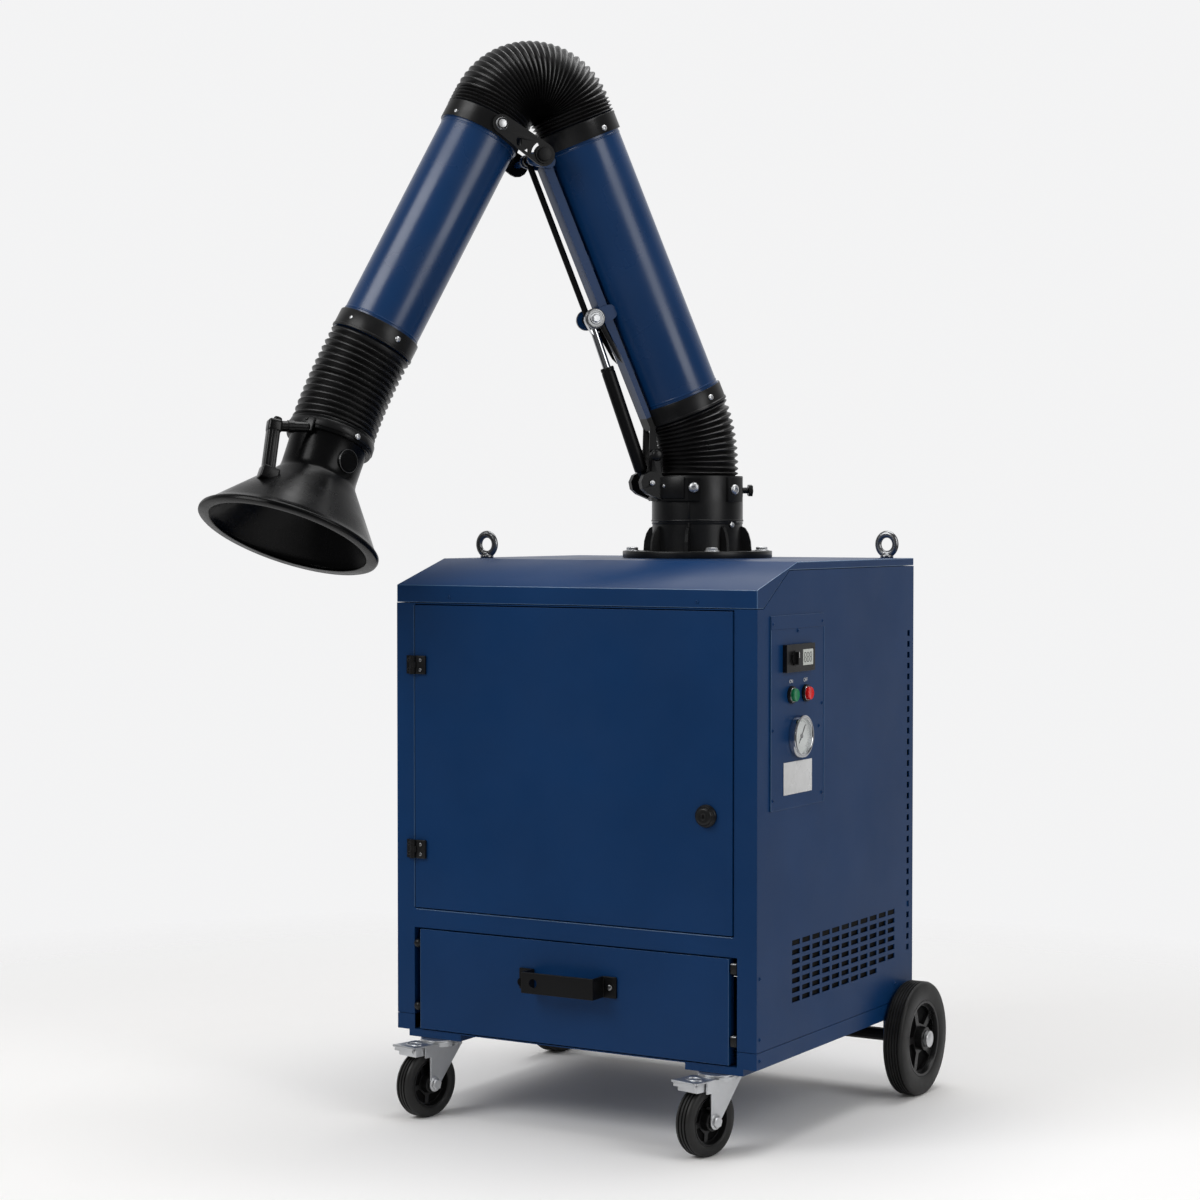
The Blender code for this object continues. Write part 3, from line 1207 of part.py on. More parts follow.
def make_fan_housing():
    """The scroll, its floor carried on the motor's flange and its outlet open to the right."""
    low = FAN_FLOOR_Z
    high = SHELF_Z - SHEET - SEAT_GAP
    middle = Matrix.Translation((0, FILTER_Y, (low + high) / 2))
    housing = plate([scroll_outline(0)], high - low, middle)
    room = plate([scroll_outline(FAN_WALL)], high - low - 2 * FAN_WALL, middle)
    eye = cone((0, FILTER_Y, high - FAN_HEIGHT / 4), (0, FILTER_Y, high + OVERRUN),
               FAN_INLET_RADIUS, sides=ROUND_SIDES)
    shaft = cone((0, FILTER_Y, low - OVERRUN), (0, FILTER_Y, low + OVERRUN),
                 MOTOR_SHAFT_RADIUS + FAN_CLEAR)
    reach = SIDE_X - SHEET - FAN_CLEAR
    y1 = FILTER_Y - FAN_SCROLL_RADIUS / 2
    outlet_low = low + FAN_WALL
    outlet_high = high - FAN_WALL
    duct = box((FAN_SCROLL_RADIUS / 2, y1 - FAN_OUTLET_WIDTH / 2, low),
               (reach, y1 + FAN_OUTLET_WIDTH / 2, high))
    duct_room = box((FAN_SCROLL_RADIUS / 2, y1 - FAN_OUTLET_WIDTH / 2 + FAN_WALL, outlet_low),
                    (reach + OVERRUN, y1 + FAN_OUTLET_WIDTH / 2 - FAN_WALL, outlet_high))
    fuse(housing, duct)
    cut(housing, room, duct_room, eye, shaft)
    return finish(housing, "fan_housing", GALVANISED)


def make_impeller():
    """Back plate, hub and swept blades under a shroud ring."""
    low = FAN_FLOOR_Z + FAN_WALL + FAN_CLEAR
    top = low + IMPELLER_HEIGHT
    disc = cone((0, FILTER_Y, low), (0, FILTER_Y, low + IMPELLER_PLATE), IMPELLER_RADIUS,
                sides=ROUND_SIDES)
    shroud = turned([(IMPELLER_RADIUS, top), (IMPELLER_RADIUS, top - IMPELLER_PLATE),
                     (IMPELLER_EYE_RADIUS, top - IMPELLER_PLATE), (IMPELLER_EYE_RADIUS, top)],
                    (0, FILTER_Y, 0))
    hub = cone((0, FILTER_Y, low + IMPELLER_PLATE / 2),
               (0, FILTER_Y, low + IMPELLER_HUB_HEIGHT), IMPELLER_HUB_RADIUS, sides=SMALL_SIDES)
    fuse(disc, shroud, hub)
    blade_inner = IMPELLER_EYE_RADIUS - IMPELLER_BLADE
    blade_outer = IMPELLER_RADIUS - IMPELLER_BLADE
    for k in range(IMPELLER_BLADES):
        turn = Matrix.Rotation(k * FULL_TURN / IMPELLER_BLADES, 4, "Z")
        sweep = Matrix.Rotation(IMPELLER_BLADE_SWEEP, 4, "Z")
        length = blade_outer - blade_inner
        blade = box((0, -IMPELLER_BLADE / 2, low + IMPELLER_PLATE / 2),
                    (length, IMPELLER_BLADE / 2, top - IMPELLER_PLATE / 2))
        start = Matrix.Translation((blade_inner, 0, 0))
        blade.data.transform(Matrix.Translation((0, FILTER_Y, 0)) @ turn @ start @ sweep)
        fuse(disc, blade)
    bore = cone((0, FILTER_Y, low - OVERRUN), (0, FILTER_Y, low + IMPELLER_HUB_HEIGHT / 2),
                MOTOR_SHAFT_RADIUS + SEAT_GAP)
    cut(disc, bore)
    return finish(disc, "impeller", GALVANISED, (0, FILTER_Y, low))


def make_motor():
    """A finned motor on its foot plate, its shaft up into the impeller's hub."""
    low = CABINET_BASE_Z + SHEET + SEAT_GAP
    top = FAN_FLOOR_Z - SEAT_GAP
    half = MOTOR_FOOT_SIZE / 2
    foot = box((-half, FILTER_Y - half, low), (half, FILTER_Y + half, low + MOTOR_FOOT_HEIGHT))
    body = cone((0, FILTER_Y, low + MOTOR_FOOT_HEIGHT / 2), (0, FILTER_Y, top),
                MOTOR_RADIUS - MOTOR_FIN_DEPTH, sides=ROUND_SIDES)
    shaft_top = FAN_FLOOR_Z + FAN_WALL + FAN_CLEAR + IMPELLER_HUB_HEIGHT / 3
    shaft = cone((0, FILTER_Y, top - SHEET), (0, FILTER_Y, shaft_top), MOTOR_SHAFT_RADIUS)
    fuse(foot, body, shaft)
    fin_low = low + MOTOR_FOOT_HEIGHT / 2
    fin_high = top - MOTOR_FOOT_HEIGHT
    for k in range(MOTOR_FINS):
        fin = box((MOTOR_RADIUS - 2 * MOTOR_FIN_DEPTH, -MOTOR_FIN_THICKNESS / 2, fin_low),
                  (MOTOR_RADIUS, MOTOR_FIN_THICKNESS / 2, fin_high))
        turn = Matrix.Rotation(k * FULL_TURN / MOTOR_FINS, 4, "Z")
        fin.data.transform(Matrix.Translation((0, FILTER_Y, 0)) @ turn)
        fuse(foot, fin)
    return finish(foot, "fan_motor", MOTOR_GREY)


# Wheels

def tyre_profile(radius, width, rim, hub, hub_width, web_depth, bore, shoulder, grooves):
    """Half section of a wheel: grooved tread, dished web and hub, listed from top to bottom."""
    half = width / 2
    flat = half - shoulder
    tread = []
    for k in range(grooves):
        centre = flat - (k + 0.5) * 2 * flat / grooves
        groove = TREAD_GROOVE_WIDTH / 2
        tread += [(radius, centre + groove), (radius - TREAD_GROOVE_DEPTH, centre + groove),
                  (radius - TREAD_GROOVE_DEPTH, centre - groove), (radius, centre - groove)]
    side = half - web_depth
    return ([(bore, hub_width / 2), (hub, hub_width / 2), (hub, side), (rim, side), (rim, half),
             (radius - shoulder, half), (radius, flat)]
            + tread
            + [(radius, -flat), (radius - shoulder, -half), (rim, -half), (rim, -side),
               (hub, -side), (hub, -hub_width / 2), (bore, -hub_width / 2)])


def make_rear_wheel(name, side):
    x = side * (SIDE_X + REAR_WHEEL_SIDE_GAP + REAR_WHEEL_WIDTH / 2)
    centre = Vector((x, REAR_WHEEL_Y, REAR_WHEEL_RADIUS))
    hub_width = REAR_WHEEL_WIDTH + 2 * REAR_HUB_EXTRA
    bore = AXLE_STUB_RADIUS + SEAT_GAP
    wheel = turned(tyre_profile(REAR_WHEEL_RADIUS, REAR_WHEEL_WIDTH, REAR_RIM_RADIUS,
                                REAR_HUB_RADIUS, hub_width, REAR_WEB_DEPTH, bore, TYRE_SHOULDER,
                                REAR_TREAD_GROOVES), centre, X_AXIS, 28)
    for k in range(REAR_SPOKE_COUNT):
        angle = (k + 0.5) * FULL_TURN / REAR_SPOKE_COUNT
        spot = centre + REAR_WINDOW_CIRCLE * Vector((0, math.cos(angle), math.sin(angle)))
        cut(wheel, cone(spot - X_AXIS * REAR_WHEEL_WIDTH, spot + X_AXIS * REAR_WHEEL_WIDTH,
                        REAR_WINDOW_RADIUS, sides=10))
    return finish(wheel, name, RUBBER_BLACK, centre)


def make_axle():
    """A bar through both hangers, stepped down inside the wheels, with a nut at each end."""
    inner = SIDE_X + REAR_WHEEL_SIDE_GAP - REAR_HUB_EXTRA - RUNNING_GAP
    outer = inner + REAR_WHEEL_WIDTH + 2 * REAR_HUB_EXTRA + 2 * RUNNING_GAP
    end = outer + AXLE_NUT_HEIGHT
    profile = [(0, end), (AXLE_NUT_RADIUS, end), (AXLE_NUT_RADIUS, outer),
               (AXLE_STUB_RADIUS, outer), (AXLE_STUB_RADIUS, inner), (AXLE_RADIUS, inner)]
    profile += [(radius, -height) for radius, height in reversed(profile)]
    axle = turned(profile, (0, REAR_WHEEL_Y, REAR_WHEEL_RADIUS), X_AXIS, SMALL_SIDES)
    return finish(axle, "rear_axle", ZINC)


def make_caster(name, side):
    """A swivel fork, its wheel ahead of the swivel, and a brake pedal over the wheel."""
    top = CABINET_BASE_Z - CASTER_BRACKET_DROP - FORK_BRACKET_GAP
    frame = make_empty(name + "_frame", ROOT, (side * CASTER_X, CASTER_Y, 0),
                       (0, 0, CASTER_HEADING))
    axle = Vector((0, -CASTER_TRAIL, CASTER_WHEEL_RADIUS))
    inner = CASTER_HUB_WIDTH / 2 + RUNNING_GAP
    outer = inner + FORK_THICKNESS
    crown = top - FORK_HEAD_HEIGHT
    head = cone((0, 0, crown - FORK_CROWN / 2), (0, 0, top), FORK_HEAD_RADIUS, sides=24,
                parent=frame)
    bridge = box((-outer, -FORK_LEG_FRONT, crown - FORK_CROWN), (outer, FORK_LEG_REAR, crown),
                 frame)
    fuse(head, bridge)
    for hand in (-1, 1):
        leg_top = crown - FORK_CROWN / 2
        foot = arc((axle.y, axle.z), FORK_FOOT_RADIUS, HALF_TURN, FULL_TURN - math.radians(35.0), 8)
        outline = foot + [(FORK_LEG_REAR, leg_top), (axle.y - FORK_FOOT_RADIUS, leg_top)]
        place = Matrix.Translation((hand * (inner + outer) / 2, 0, 0)) @ SIDE_PLANE
        fuse(head, plate([outline], FORK_THICKNESS, place, frame))
        fuse(head, cone(axle + X_AXIS * hand * (outer - SHEET / 2),
                        axle + X_AXIS * hand * (outer + FORK_NUT_HEIGHT), FORK_NUT_RADIUS,
                        sides=8, parent=frame))
    fuse(head, cone(axle - X_AXIS * outer, axle + X_AXIS * outer, FORK_AXLE_RADIUS,
                    parent=frame))
    pivot = Vector((0, -FORK_LEG_FRONT - PEDAL_PIVOT_AHEAD,
                    crown - FORK_CROWN - 2 * PEDAL_PIVOT_RADIUS))
    for hand in (-1, 1):
        cut(head, cone(pivot + X_AXIS * hand * inner / 2,
                       pivot + X_AXIS * hand * (outer + OVERRUN),
                       PEDAL_PIVOT_RADIUS + SEAT_GAP, sides=8, parent=frame))
    finish(head, name + "_fork", ZINC, (0, 0, top))

    wheel = turned(tyre_profile(CASTER_WHEEL_RADIUS, CASTER_WHEEL_WIDTH, CASTER_RIM_RADIUS,
                                CASTER_HUB_RADIUS, CASTER_HUB_WIDTH, CASTER_DISH_DEPTH,
                                FORK_AXLE_RADIUS + SEAT_GAP, CASTER_SHOULDER,
                                CASTER_TREAD_GROOVES), axle, X_AXIS, 22, frame)
    finish(wheel, name + "_wheel", RUBBER_BLACK, axle)

    make_pedal(name, frame, pivot, outer, crown)


def make_pedal(name, frame, pivot, outer, crown):
    """A tread ahead of the fork's head, on two cheeks with stub pins in the legs."""
    half = PEDAL_WIDTH / 2
    inside = outer + RUNNING_GAP
    tread_z = crown + PEDAL_THICKNESS
    tip = pivot.y - PEDAL_LENGTH
    pedal = box((-inside - PEDAL_THICKNESS, tip, tread_z),
                (inside + PEDAL_THICKNESS, -FORK_HEAD_RADIUS - SHEET, tread_z + PEDAL_THICKNESS),
                frame)
    fuse(pedal, box((-half, tip - PEDAL_THICKNESS, tread_z - PEDAL_SIDE_DROP / 3),
                    (half, tip + PEDAL_THICKNESS / 2, tread_z + PEDAL_THICKNESS / 2), frame))
    for hand in (-1, 1):
        low_x, high_x = sorted((hand * inside, hand * (inside + PEDAL_THICKNESS)))
        fuse(pedal, box((low_x, pivot.y - PEDAL_LENGTH / 2, tread_z - PEDAL_SIDE_DROP),
                        (high_x, pivot.y + FORK_LEG_FRONT / 2, tread_z + PEDAL_THICKNESS / 2),
                        frame))
        fuse(pedal, cone(pivot + X_AXIS * hand * (outer - FORK_THICKNESS),
                         pivot + X_AXIS * hand * (inside + PEDAL_THICKNESS / 2),
                         PEDAL_PIVOT_RADIUS, sides=8, parent=frame))
    finish(pedal, name + "_brake_pedal", ZINC, pivot)


# Arm base

def make_arm_flange():
    """The fixed flange: socket ring, curved gussets and bolt heads."""
    seat = TOP_Z + SEAT_GAP
    top = seat + FLANGE_THICKNESS
    flange = turned([(SOCKET_RADIUS, SOCKET_TOP_Z), (SOCKET_RADIUS, top), (FLANGE_RADIUS, top),
                     (FLANGE_RADIUS, seat), (SOCKET_BORE, seat), (SOCKET_BORE, SOCKET_TOP_Z)],
                    (0, 0, 0), Z_AXIS, 32, ARM)
    for k in range(GUSSETS):
        turn = Matrix.Rotation(GUSSET_PHASE + k * FULL_TURN / GUSSETS, 4, "Z")
        root = SOCKET_RADIUS - SHEET
        tip = SOCKET_RADIUS + GUSSET_REACH
        outline = [(root, top - SHEET), (tip, top - SHEET)]
        outline += arc((SOCKET_RADIUS, top), GUSSET_REACH, 0, QUARTER_TURN, 4)[1:-1]
        outline = [(x, top + (z - top) * GUSSET_HEIGHT / GUSSET_REACH) if z > top else (x, z)
                   for x, z in outline]
        outline += [(SOCKET_RADIUS, top + GUSSET_HEIGHT), (root, top + GUSSET_HEIGHT)]
        fuse(flange, plate([outline], GUSSET_THICKNESS, turn @ ARM_PLANE, ARM))
    for k in range(FLANGE_BOLTS):
        angle = FLANGE_BOLT_PHASE + k * FULL_TURN / FLANGE_BOLTS
        x = FLANGE_BOLT_CIRCLE * math.cos(angle)
        y = FLANGE_BOLT_CIRCLE * math.sin(angle)
        fuse(flange, cone((x, y, top - SHEET), (x, y, top + FLANGE_BOLT_HEIGHT),
                          FLANGE_BOLT_RADIUS, sides=6, parent=ARM))
    return finish(flange, "arm_flange", PLASTIC_BLACK)


def make_swivel_collar():
    """The turning collar, its spigot down inside the flange's socket."""
    low = SOCKET_TOP_Z + SEAT_GAP
    spigot = SOCKET_BORE - RUNNING_GAP
    collar = turned([(COLLAR_NECK_RADIUS, COLLAR_TOP_Z + COLLAR_NECK_HEIGHT),
                     (COLLAR_NECK_RADIUS, COLLAR_TOP_Z), (COLLAR_RADIUS, COLLAR_TOP_Z),
                     (COLLAR_RADIUS, low), (spigot, low), (spigot, low - SPIGOT_LENGTH),
                     (COLLAR_BORE, low - SPIGOT_LENGTH),
                     (COLLAR_BORE, COLLAR_TOP_Z + COLLAR_NECK_HEIGHT)],
                    (0, 0, 0), Z_AXIS, 32, ARM)
    return finish(collar, "swivel_collar", PLASTIC_BLACK, (0, 0, low))


def make_pivot_bracket():
    """A saddle round the collar with two cheeks that hold the gas spring and the lower arm."""
    inner = COLLAR_RADIUS + SEAT_GAP
    outer = inner + SADDLE_THICKNESS
    count = 10
    outline = (arc((0, 0), outer, -SADDLE_HALF_ANGLE, SADDLE_HALF_ANGLE, count)
               + arc((0, 0), inner, SADDLE_HALF_ANGLE, -SADDLE_HALF_ANGLE, count))
    high = COLLAR_TOP_Z - SADDLE_DROP
    low = high - SADDLE_HEIGHT
    bracket = plate([outline], SADDLE_HEIGHT, Matrix.Translation((0, 0, (low + high) / 2)), ARM)
    foot = (SPRING_FOOT_R, SPRING_FOOT_Z)
    pivot = (ARM_PIVOT_R, ARM_PIVOT_Z)
    root = (CHEEK_ROOT_R, (low + high) / 2)
    keep_out = cone((0, 0, low - OVERRUN), (0, 0, ARM_PIVOT_Z - ARM_PIVOT_BOSS),
                    inner, sides=32, parent=ARM)
    for hand in (-1, 1):
        near, far = hand * CHEEK_INNER, hand * CHEEK_OUTER
        fuse(bracket, arm_plate([link_outline(root, CHEEK_ROOT_RADIUS, foot, CHEEK_RADIUS)],
                                near, far))
        below = (ARM_PIVOT_R, SPRING_FOOT_Z)
        fuse(bracket, arm_plate([link_outline(below, ARM_PIVOT_BOSS, pivot, ARM_PIVOT_BOSS)],
                                near + hand * SEAT_GAP, far - hand * SEAT_GAP))
        fuse(bracket, cone(pivot_point(hand * FINGER_INNER),
                           pivot_point(hand * (CHEEK_OUTER + SHEET)), ARM_PIVOT_PIN, parent=ARM))
    cut(bracket, keep_out)
    fuse(bracket, cone((SPRING_FOOT_R, -CHEEK_OUTER - SHEET, SPRING_FOOT_Z),
                       (SPRING_FOOT_R, CHEEK_OUTER + SHEET, SPRING_FOOT_Z),
                       SPRING_PIN_RADIUS, parent=ARM))
    return finish(bracket, "pivot_bracket", PLASTIC_BLACK, (0, 0, low))


def pivot_point(side):
    return (ARM_PIVOT_R, side, ARM_PIVOT_Z)


def make_clamp_knob():
    """The lobed knob that clamps the collar."""
    outward = Vector((math.cos(CLAMP_KNOB_ANGLE), math.sin(CLAMP_KNOB_ANGLE), 0))
    seat = outward * (COLLAR_RADIUS + RUNNING_GAP) + Z_AXIS * CLAMP_KNOB_Z
    grip_start = seat + outward * CLAMP_KNOB_STEM_LENGTH
    knob = cone(seat, grip_start + outward * SHEET, CLAMP_KNOB_STEM, parent=ARM)
    lobes = plate([[(x, y) for x, y in star_outline(CLAMP_KNOB_RADIUS, SHEET, CLAMP_KNOB_LOBES)]],
                  CLAMP_KNOB_LENGTH - CLAMP_KNOB_STEM_LENGTH,
                  Matrix.Translation(grip_start + outward * (CLAMP_KNOB_LENGTH
                                                             - CLAMP_KNOB_STEM_LENGTH) / 2)
                  @ aim(outward), ARM)
    fuse(knob, lobes)
    return finish(knob, "clamp_knob", PLASTIC_BLACK, seat)


# Arm tubes: in the arm's plane, r forward and z up

LOWER_DIRECTION = Vector((math.sin(LOWER_LEAN), 0, math.cos(LOWER_LEAN)))
LOWER_NORMAL = Vector((math.cos(LOWER_LEAN), 0, -math.sin(LOWER_LEAN)))
LOWER_FOOT = Vector((LOWER_FOOT_R, 0, LOWER_FOOT_Z))
LOWER_HEAD = LOWER_FOOT + LOWER_DIRECTION * LOWER_LENGTH
UPPER_DIRECTION = Vector((math.sin(UPPER_LEAN), 0, -math.cos(UPPER_LEAN)))
UPPER_ACROSS = Vector((math.cos(UPPER_LEAN), 0, math.sin(UPPER_LEAN)))
UPPER_HEAD = LOWER_HEAD + X_AXIS * UPPER_HEAD_AHEAD
UPPER_END = UPPER_HEAD + UPPER_DIRECTION * UPPER_LENGTH
ARM_PIVOT = Vector((ARM_PIVOT_R, 0, ARM_PIVOT_Z))
ELBOW = LOWER_HEAD - LOWER_DIRECTION * ELBOW_BELOW_HEAD + LOWER_NORMAL * ELBOW_AWAY
KNUCKLE = LOWER_FOOT + LOWER_DIRECTION * KNUCKLE_ALONG + LOWER_NORMAL * KNUCKLE_AWAY
SPRING_FOOT = Vector((SPRING_FOOT_R, 0, SPRING_FOOT_Z))
PLATE_TUBE = UPPER_HEAD + UPPER_DIRECTION * PLATE_TUBE_ALONG - UPPER_ACROSS * PLATE_TUBE_AWAY
JOINT = UPPER_END + UPPER_DIRECTION * JOINT_AHEAD


def duct_profile(length):
    """A tube with a cuff at each end, listed down its outer side and up its bore."""
    bore = DUCT_RADIUS - DUCT_WALL
    return [(CUFF_RADIUS, length), (CUFF_RADIUS, length - CUFF_LENGTH),
            (DUCT_RADIUS, length - CUFF_LENGTH), (DUCT_RADIUS, CUFF_LENGTH),
            (CUFF_RADIUS, CUFF_LENGTH), (CUFF_RADIUS, 0), (bore, 0), (bore, length)]


def make_lower_tube():
    tube = turned(duct_profile(LOWER_LENGTH), LOWER_FOOT, LOWER_DIRECTION, 32, ARM)
    return finish(tube, "lower_tube", PAINT_BLUE, ARM_PIVOT)


def make_upper_tube():
    """The upper tube with the inner yoke of the hood's joint."""
    tube = turned(duct_profile(UPPER_LENGTH), UPPER_HEAD, UPPER_DIRECTION, 32, ARM)
    bore = DUCT_RADIUS - DUCT_WALL
    bridge_at = UPPER_END - UPPER_DIRECTION * UPPER_YOKE_SET_BACK
    frame = Matrix((UPPER_ACROSS, Y_AXIS, UPPER_DIRECTION)).transposed().to_4x4()
    frame = Matrix.Translation(bridge_at) @ frame
    reach = bore + DUCT_WALL / 2
    bridge = box((-YOKE_ARM_WIDTH / 2, -reach, -YOKE_BRIDGE), (YOKE_ARM_WIDTH / 2, reach, 0), ARM)
    bridge.data.transform(frame)
    fuse(tube, bridge)
    for hand in (-1, 1):
        near = hand * YOKE_HALF_SPAN
        far = hand * (YOKE_HALF_SPAN + YOKE_ARM_THICKNESS)
        fuse(tube, arm_plate([link_outline(flat(bridge_at), YOKE_ARM_WIDTH / 3,
                                           flat(JOINT), YOKE_ARM_WIDTH / 2, 6),
                              circle(flat(JOINT), CROSS_PIN_RADIUS + SEAT_GAP, 10)],
                             near, far))
    return finish(tube, "upper_tube", PAINT_BLUE, ELBOW)


def rail_point(along, away):
    """A point beside the lower tube: along it from its foot, and away from its axis."""
    return LOWER_FOOT + LOWER_DIRECTION * along + LOWER_NORMAL * away


def flat(point):
    return (point.x, point.z)


def make_support_rail():
    """A channel along the lower tube with the arm's pivot fingers, knuckle and elbow axle."""
    pivot_along = (ARM_PIVOT - LOWER_FOOT).dot(LOWER_DIRECTION)
    knuckle_along = (KNUCKLE - LOWER_FOOT).dot(LOWER_DIRECTION)
    elbow_along = (ELBOW - LOWER_FOOT).dot(LOWER_DIRECTION)
    foot = pivot_along + FINGER_ROOT_ALONG
    head = elbow_along
    outer = RAIL_INNER + RAIL_DEPTH
    low_outer = RAIL_INNER + RAIL_FOOT_DEPTH
    half = RAIL_WIDTH / 2
    step = knuckle_along - GUSSET_PLATE_DROP
    hollow_from = step + RAIL_RAMP
    outline = [rail_point(foot, RAIL_INNER), rail_point(foot, low_outer),
               rail_point(step, low_outer), rail_point(hollow_from, outer),
               rail_point(head, outer), rail_point(head, RAIL_INNER)]
    rail = arm_plate([[flat(p) for p in outline]], -half, half)
    groove = [rail_point(hollow_from, RAIL_INNER - OVERRUN),
              rail_point(hollow_from, outer - RAIL_WALL),
              rail_point(head + OVERRUN, outer - RAIL_WALL),
              rail_point(head + OVERRUN, RAIL_INNER - OVERRUN)]
    cut(rail, arm_plate([[flat(p) for p in groove]], RAIL_WALL - half, half - RAIL_WALL))
    for share in RAIL_PAD_SHARES:
        spot = share * LOWER_LENGTH
        back = (outer if spot > hollow_from else low_outer) - RAIL_WALL / 2
        pad = [rail_point(spot, DUCT_RADIUS - DUCT_WALL), rail_point(spot, back),
               rail_point(spot + RAIL_PAD_LENGTH, back),
               rail_point(spot + RAIL_PAD_LENGTH, DUCT_RADIUS - DUCT_WALL)]
        fuse(rail, arm_plate([[flat(p) for p in pad]], -RAIL_PAD_WIDTH / 2, RAIL_PAD_WIDTH / 2))
    finger_root = rail_point(foot + FINGER_ROOT_RADIUS, RAIL_INNER + RAIL_FOOT_DEPTH / 2)
    for hand in (-1, 1):
        fuse(rail, arm_plate([link_outline(flat(ARM_PIVOT), FINGER_RADIUS,
                                           flat(finger_root), FINGER_ROOT_RADIUS),
                              circle(flat(ARM_PIVOT), ARM_PIVOT_PIN + SEAT_GAP)],
                             hand * FINGER_INNER, hand * (half - SEAT_GAP)))
        near, far = hand * LUG_INNER, hand * (LUG_INNER + LUG_THICKNESS)
        lug_root = rail_point(knuckle_along, outer - LUG_ROOT_RADIUS)
        fuse(rail, arm_plate([link_outline(flat(KNUCKLE), LUG_ROOT_RADIUS,
                                           flat(lug_root), LUG_ROOT_RADIUS)], near, far))
        elbow_root = rail_point(elbow_along - LUG_ROOT_RADIUS, outer - ELBOW_LUG_RADIUS)
        fuse(rail, arm_plate([link_outline(flat(ELBOW), ELBOW_LUG_RADIUS,
                                           flat(elbow_root), ELBOW_LUG_RADIUS)], near, far))
        disc = far + hand * KNUCKLE_DISC_THICKNESS
        bolt = disc + hand * KNUCKLE_BOLT_HEIGHT
        fuse(rail, cone(KNUCKLE + Y_AXIS * (far - hand * SHEET), KNUCKLE + Y_AXIS * disc,
                        KNUCKLE_DISC_RADIUS, sides=16, parent=ARM))
        fuse(rail, cone(KNUCKLE + Y_AXIS * (disc - hand * SHEET), KNUCKLE + Y_AXIS * bolt,
                        KNUCKLE_BOLT_RADIUS, sides=6, parent=ARM))
    pin_half = LUG_INNER + LUG_THICKNESS / 2
    fuse(rail, cone(KNUCKLE - Y_AXIS * pin_half, KNUCKLE + Y_AXIS * pin_half,
                    KNUCKLE_PIN_RADIUS, parent=ARM))
    axle_half = PLATE_INNER + PLATE_THICKNESS + PLATE_BOSS_HEIGHT + SHEET
    fuse(rail, cone(ELBOW - Y_AXIS * axle_half, ELBOW + Y_AXIS * axle_half,
                    ELBOW_AXLE_RADIUS, parent=ARM))
    tube_room = cone(LOWER_FOOT - LOWER_DIRECTION * LOWER_LENGTH,
                     LOWER_HEAD + LOWER_DIRECTION * OVERRUN, DUCT_RADIUS + SEAT_GAP,
                     sides=32, parent=ARM)
    cut(rail, tube_room)
    return finish(rail, "support_rail", PAINT_BLUE, ARM_PIVOT)


def make_tie_rod():
    """The thin black rod from the knuckle's pin to the elbow's axle."""
    side = Y_AXIS * TIE_ROD_SIDE
    start, end = KNUCKLE + side, ELBOW + side
    along = (end - start).normalized()
    rod = cone(start + along * TIE_ROD_EYE / 2, end - along * TIE_ROD_EYE / 2, TIE_ROD_RADIUS,
               sides=12, parent=ARM)
    half = TIE_ROD_RADIUS + SEAT_GAP
    for point, pin in ((start, KNUCKLE_PIN_RADIUS), (end, ELBOW_AXLE_RADIUS)):
        fuse(rod, cone(point - Y_AXIS * half, point + Y_AXIS * half, TIE_ROD_EYE, parent=ARM))
        cut(rod, cone(point - Y_AXIS * OVERRUN, point + Y_AXIS * OVERRUN, pin + SEAT_GAP,
                      parent=ARM))
    return finish(rod, "tie_rod", PLASTIC_BLACK, ARM_PIVOT)


# Gas spring

SPRING_ALONG = (KNUCKLE - SPRING_FOOT).normalized()


def make_spring_body():
    """The cylinder with its foot eye, bored for the rod."""
    start = SPRING_FOOT + SPRING_ALONG * SPRING_BODY_START
    end = SPRING_FOOT + SPRING_ALONG * SPRING_BODY_LENGTH
    body = cone(start, end, SPRING_BODY_RADIUS, sides=24, parent=ARM)
    neck = cone(SPRING_FOOT + SPRING_ALONG * SPRING_PIN_RADIUS * 1.5, start + SPRING_ALONG * SHEET,
                SPRING_PIN_RADIUS, SPRING_BODY_RADIUS - SHEET, parent=ARM)
    eye = cone(SPRING_FOOT - Y_AXIS * SPRING_EYE_HALF, SPRING_FOOT + Y_AXIS * SPRING_EYE_HALF,
               SPRING_EYE_RADIUS, parent=ARM)
    bore = cone(start + SPRING_ALONG * SPRING_BOTTOM_WALL, end + SPRING_ALONG * OVERRUN,
                SPRING_BORE, parent=ARM)
    hole = cone(SPRING_FOOT - Y_AXIS * 2 * OVERRUN, SPRING_FOOT + Y_AXIS * 2 * OVERRUN,
                SPRING_PIN_RADIUS + SEAT_GAP, parent=ARM)
    fuse(body, neck, eye)
    cut(body, bore, hole)
    return finish(body, "gas_spring_cylinder", PLASTIC_BLACK, SPRING_FOOT)


def make_spring_rod():
    """The bright rod; its flat tongue and top eye clear the knuckle's pin and the tie rod."""
    end = SPRING_FOOT + SPRING_ALONG * SPRING_BODY_LENGTH
    hole = KNUCKLE_PIN_RADIUS + SPRING_TOP_CLEAR
    root = KNUCKLE - SPRING_ALONG * SPRING_TONGUE
    rod = cone(end - SPRING_ALONG * SPRING_ROD_INSIDE, root, SPRING_ROD_RADIUS, parent=ARM)
    tongue = link_outline(flat(KNUCKLE), SPRING_TOP_EYE_RADIUS,
                          flat(root - SPRING_ALONG * SHEET), SPRING_ROD_RADIUS, 8)
    fuse(rod, arm_plate([tongue, circle(flat(KNUCKLE), hole)],
                        -SPRING_TOP_EYE_HALF, SPRING_TOP_EYE_HALF))
    return finish(rod, "gas_spring_rod", CHROME, KNUCKLE)


# Elbow plates

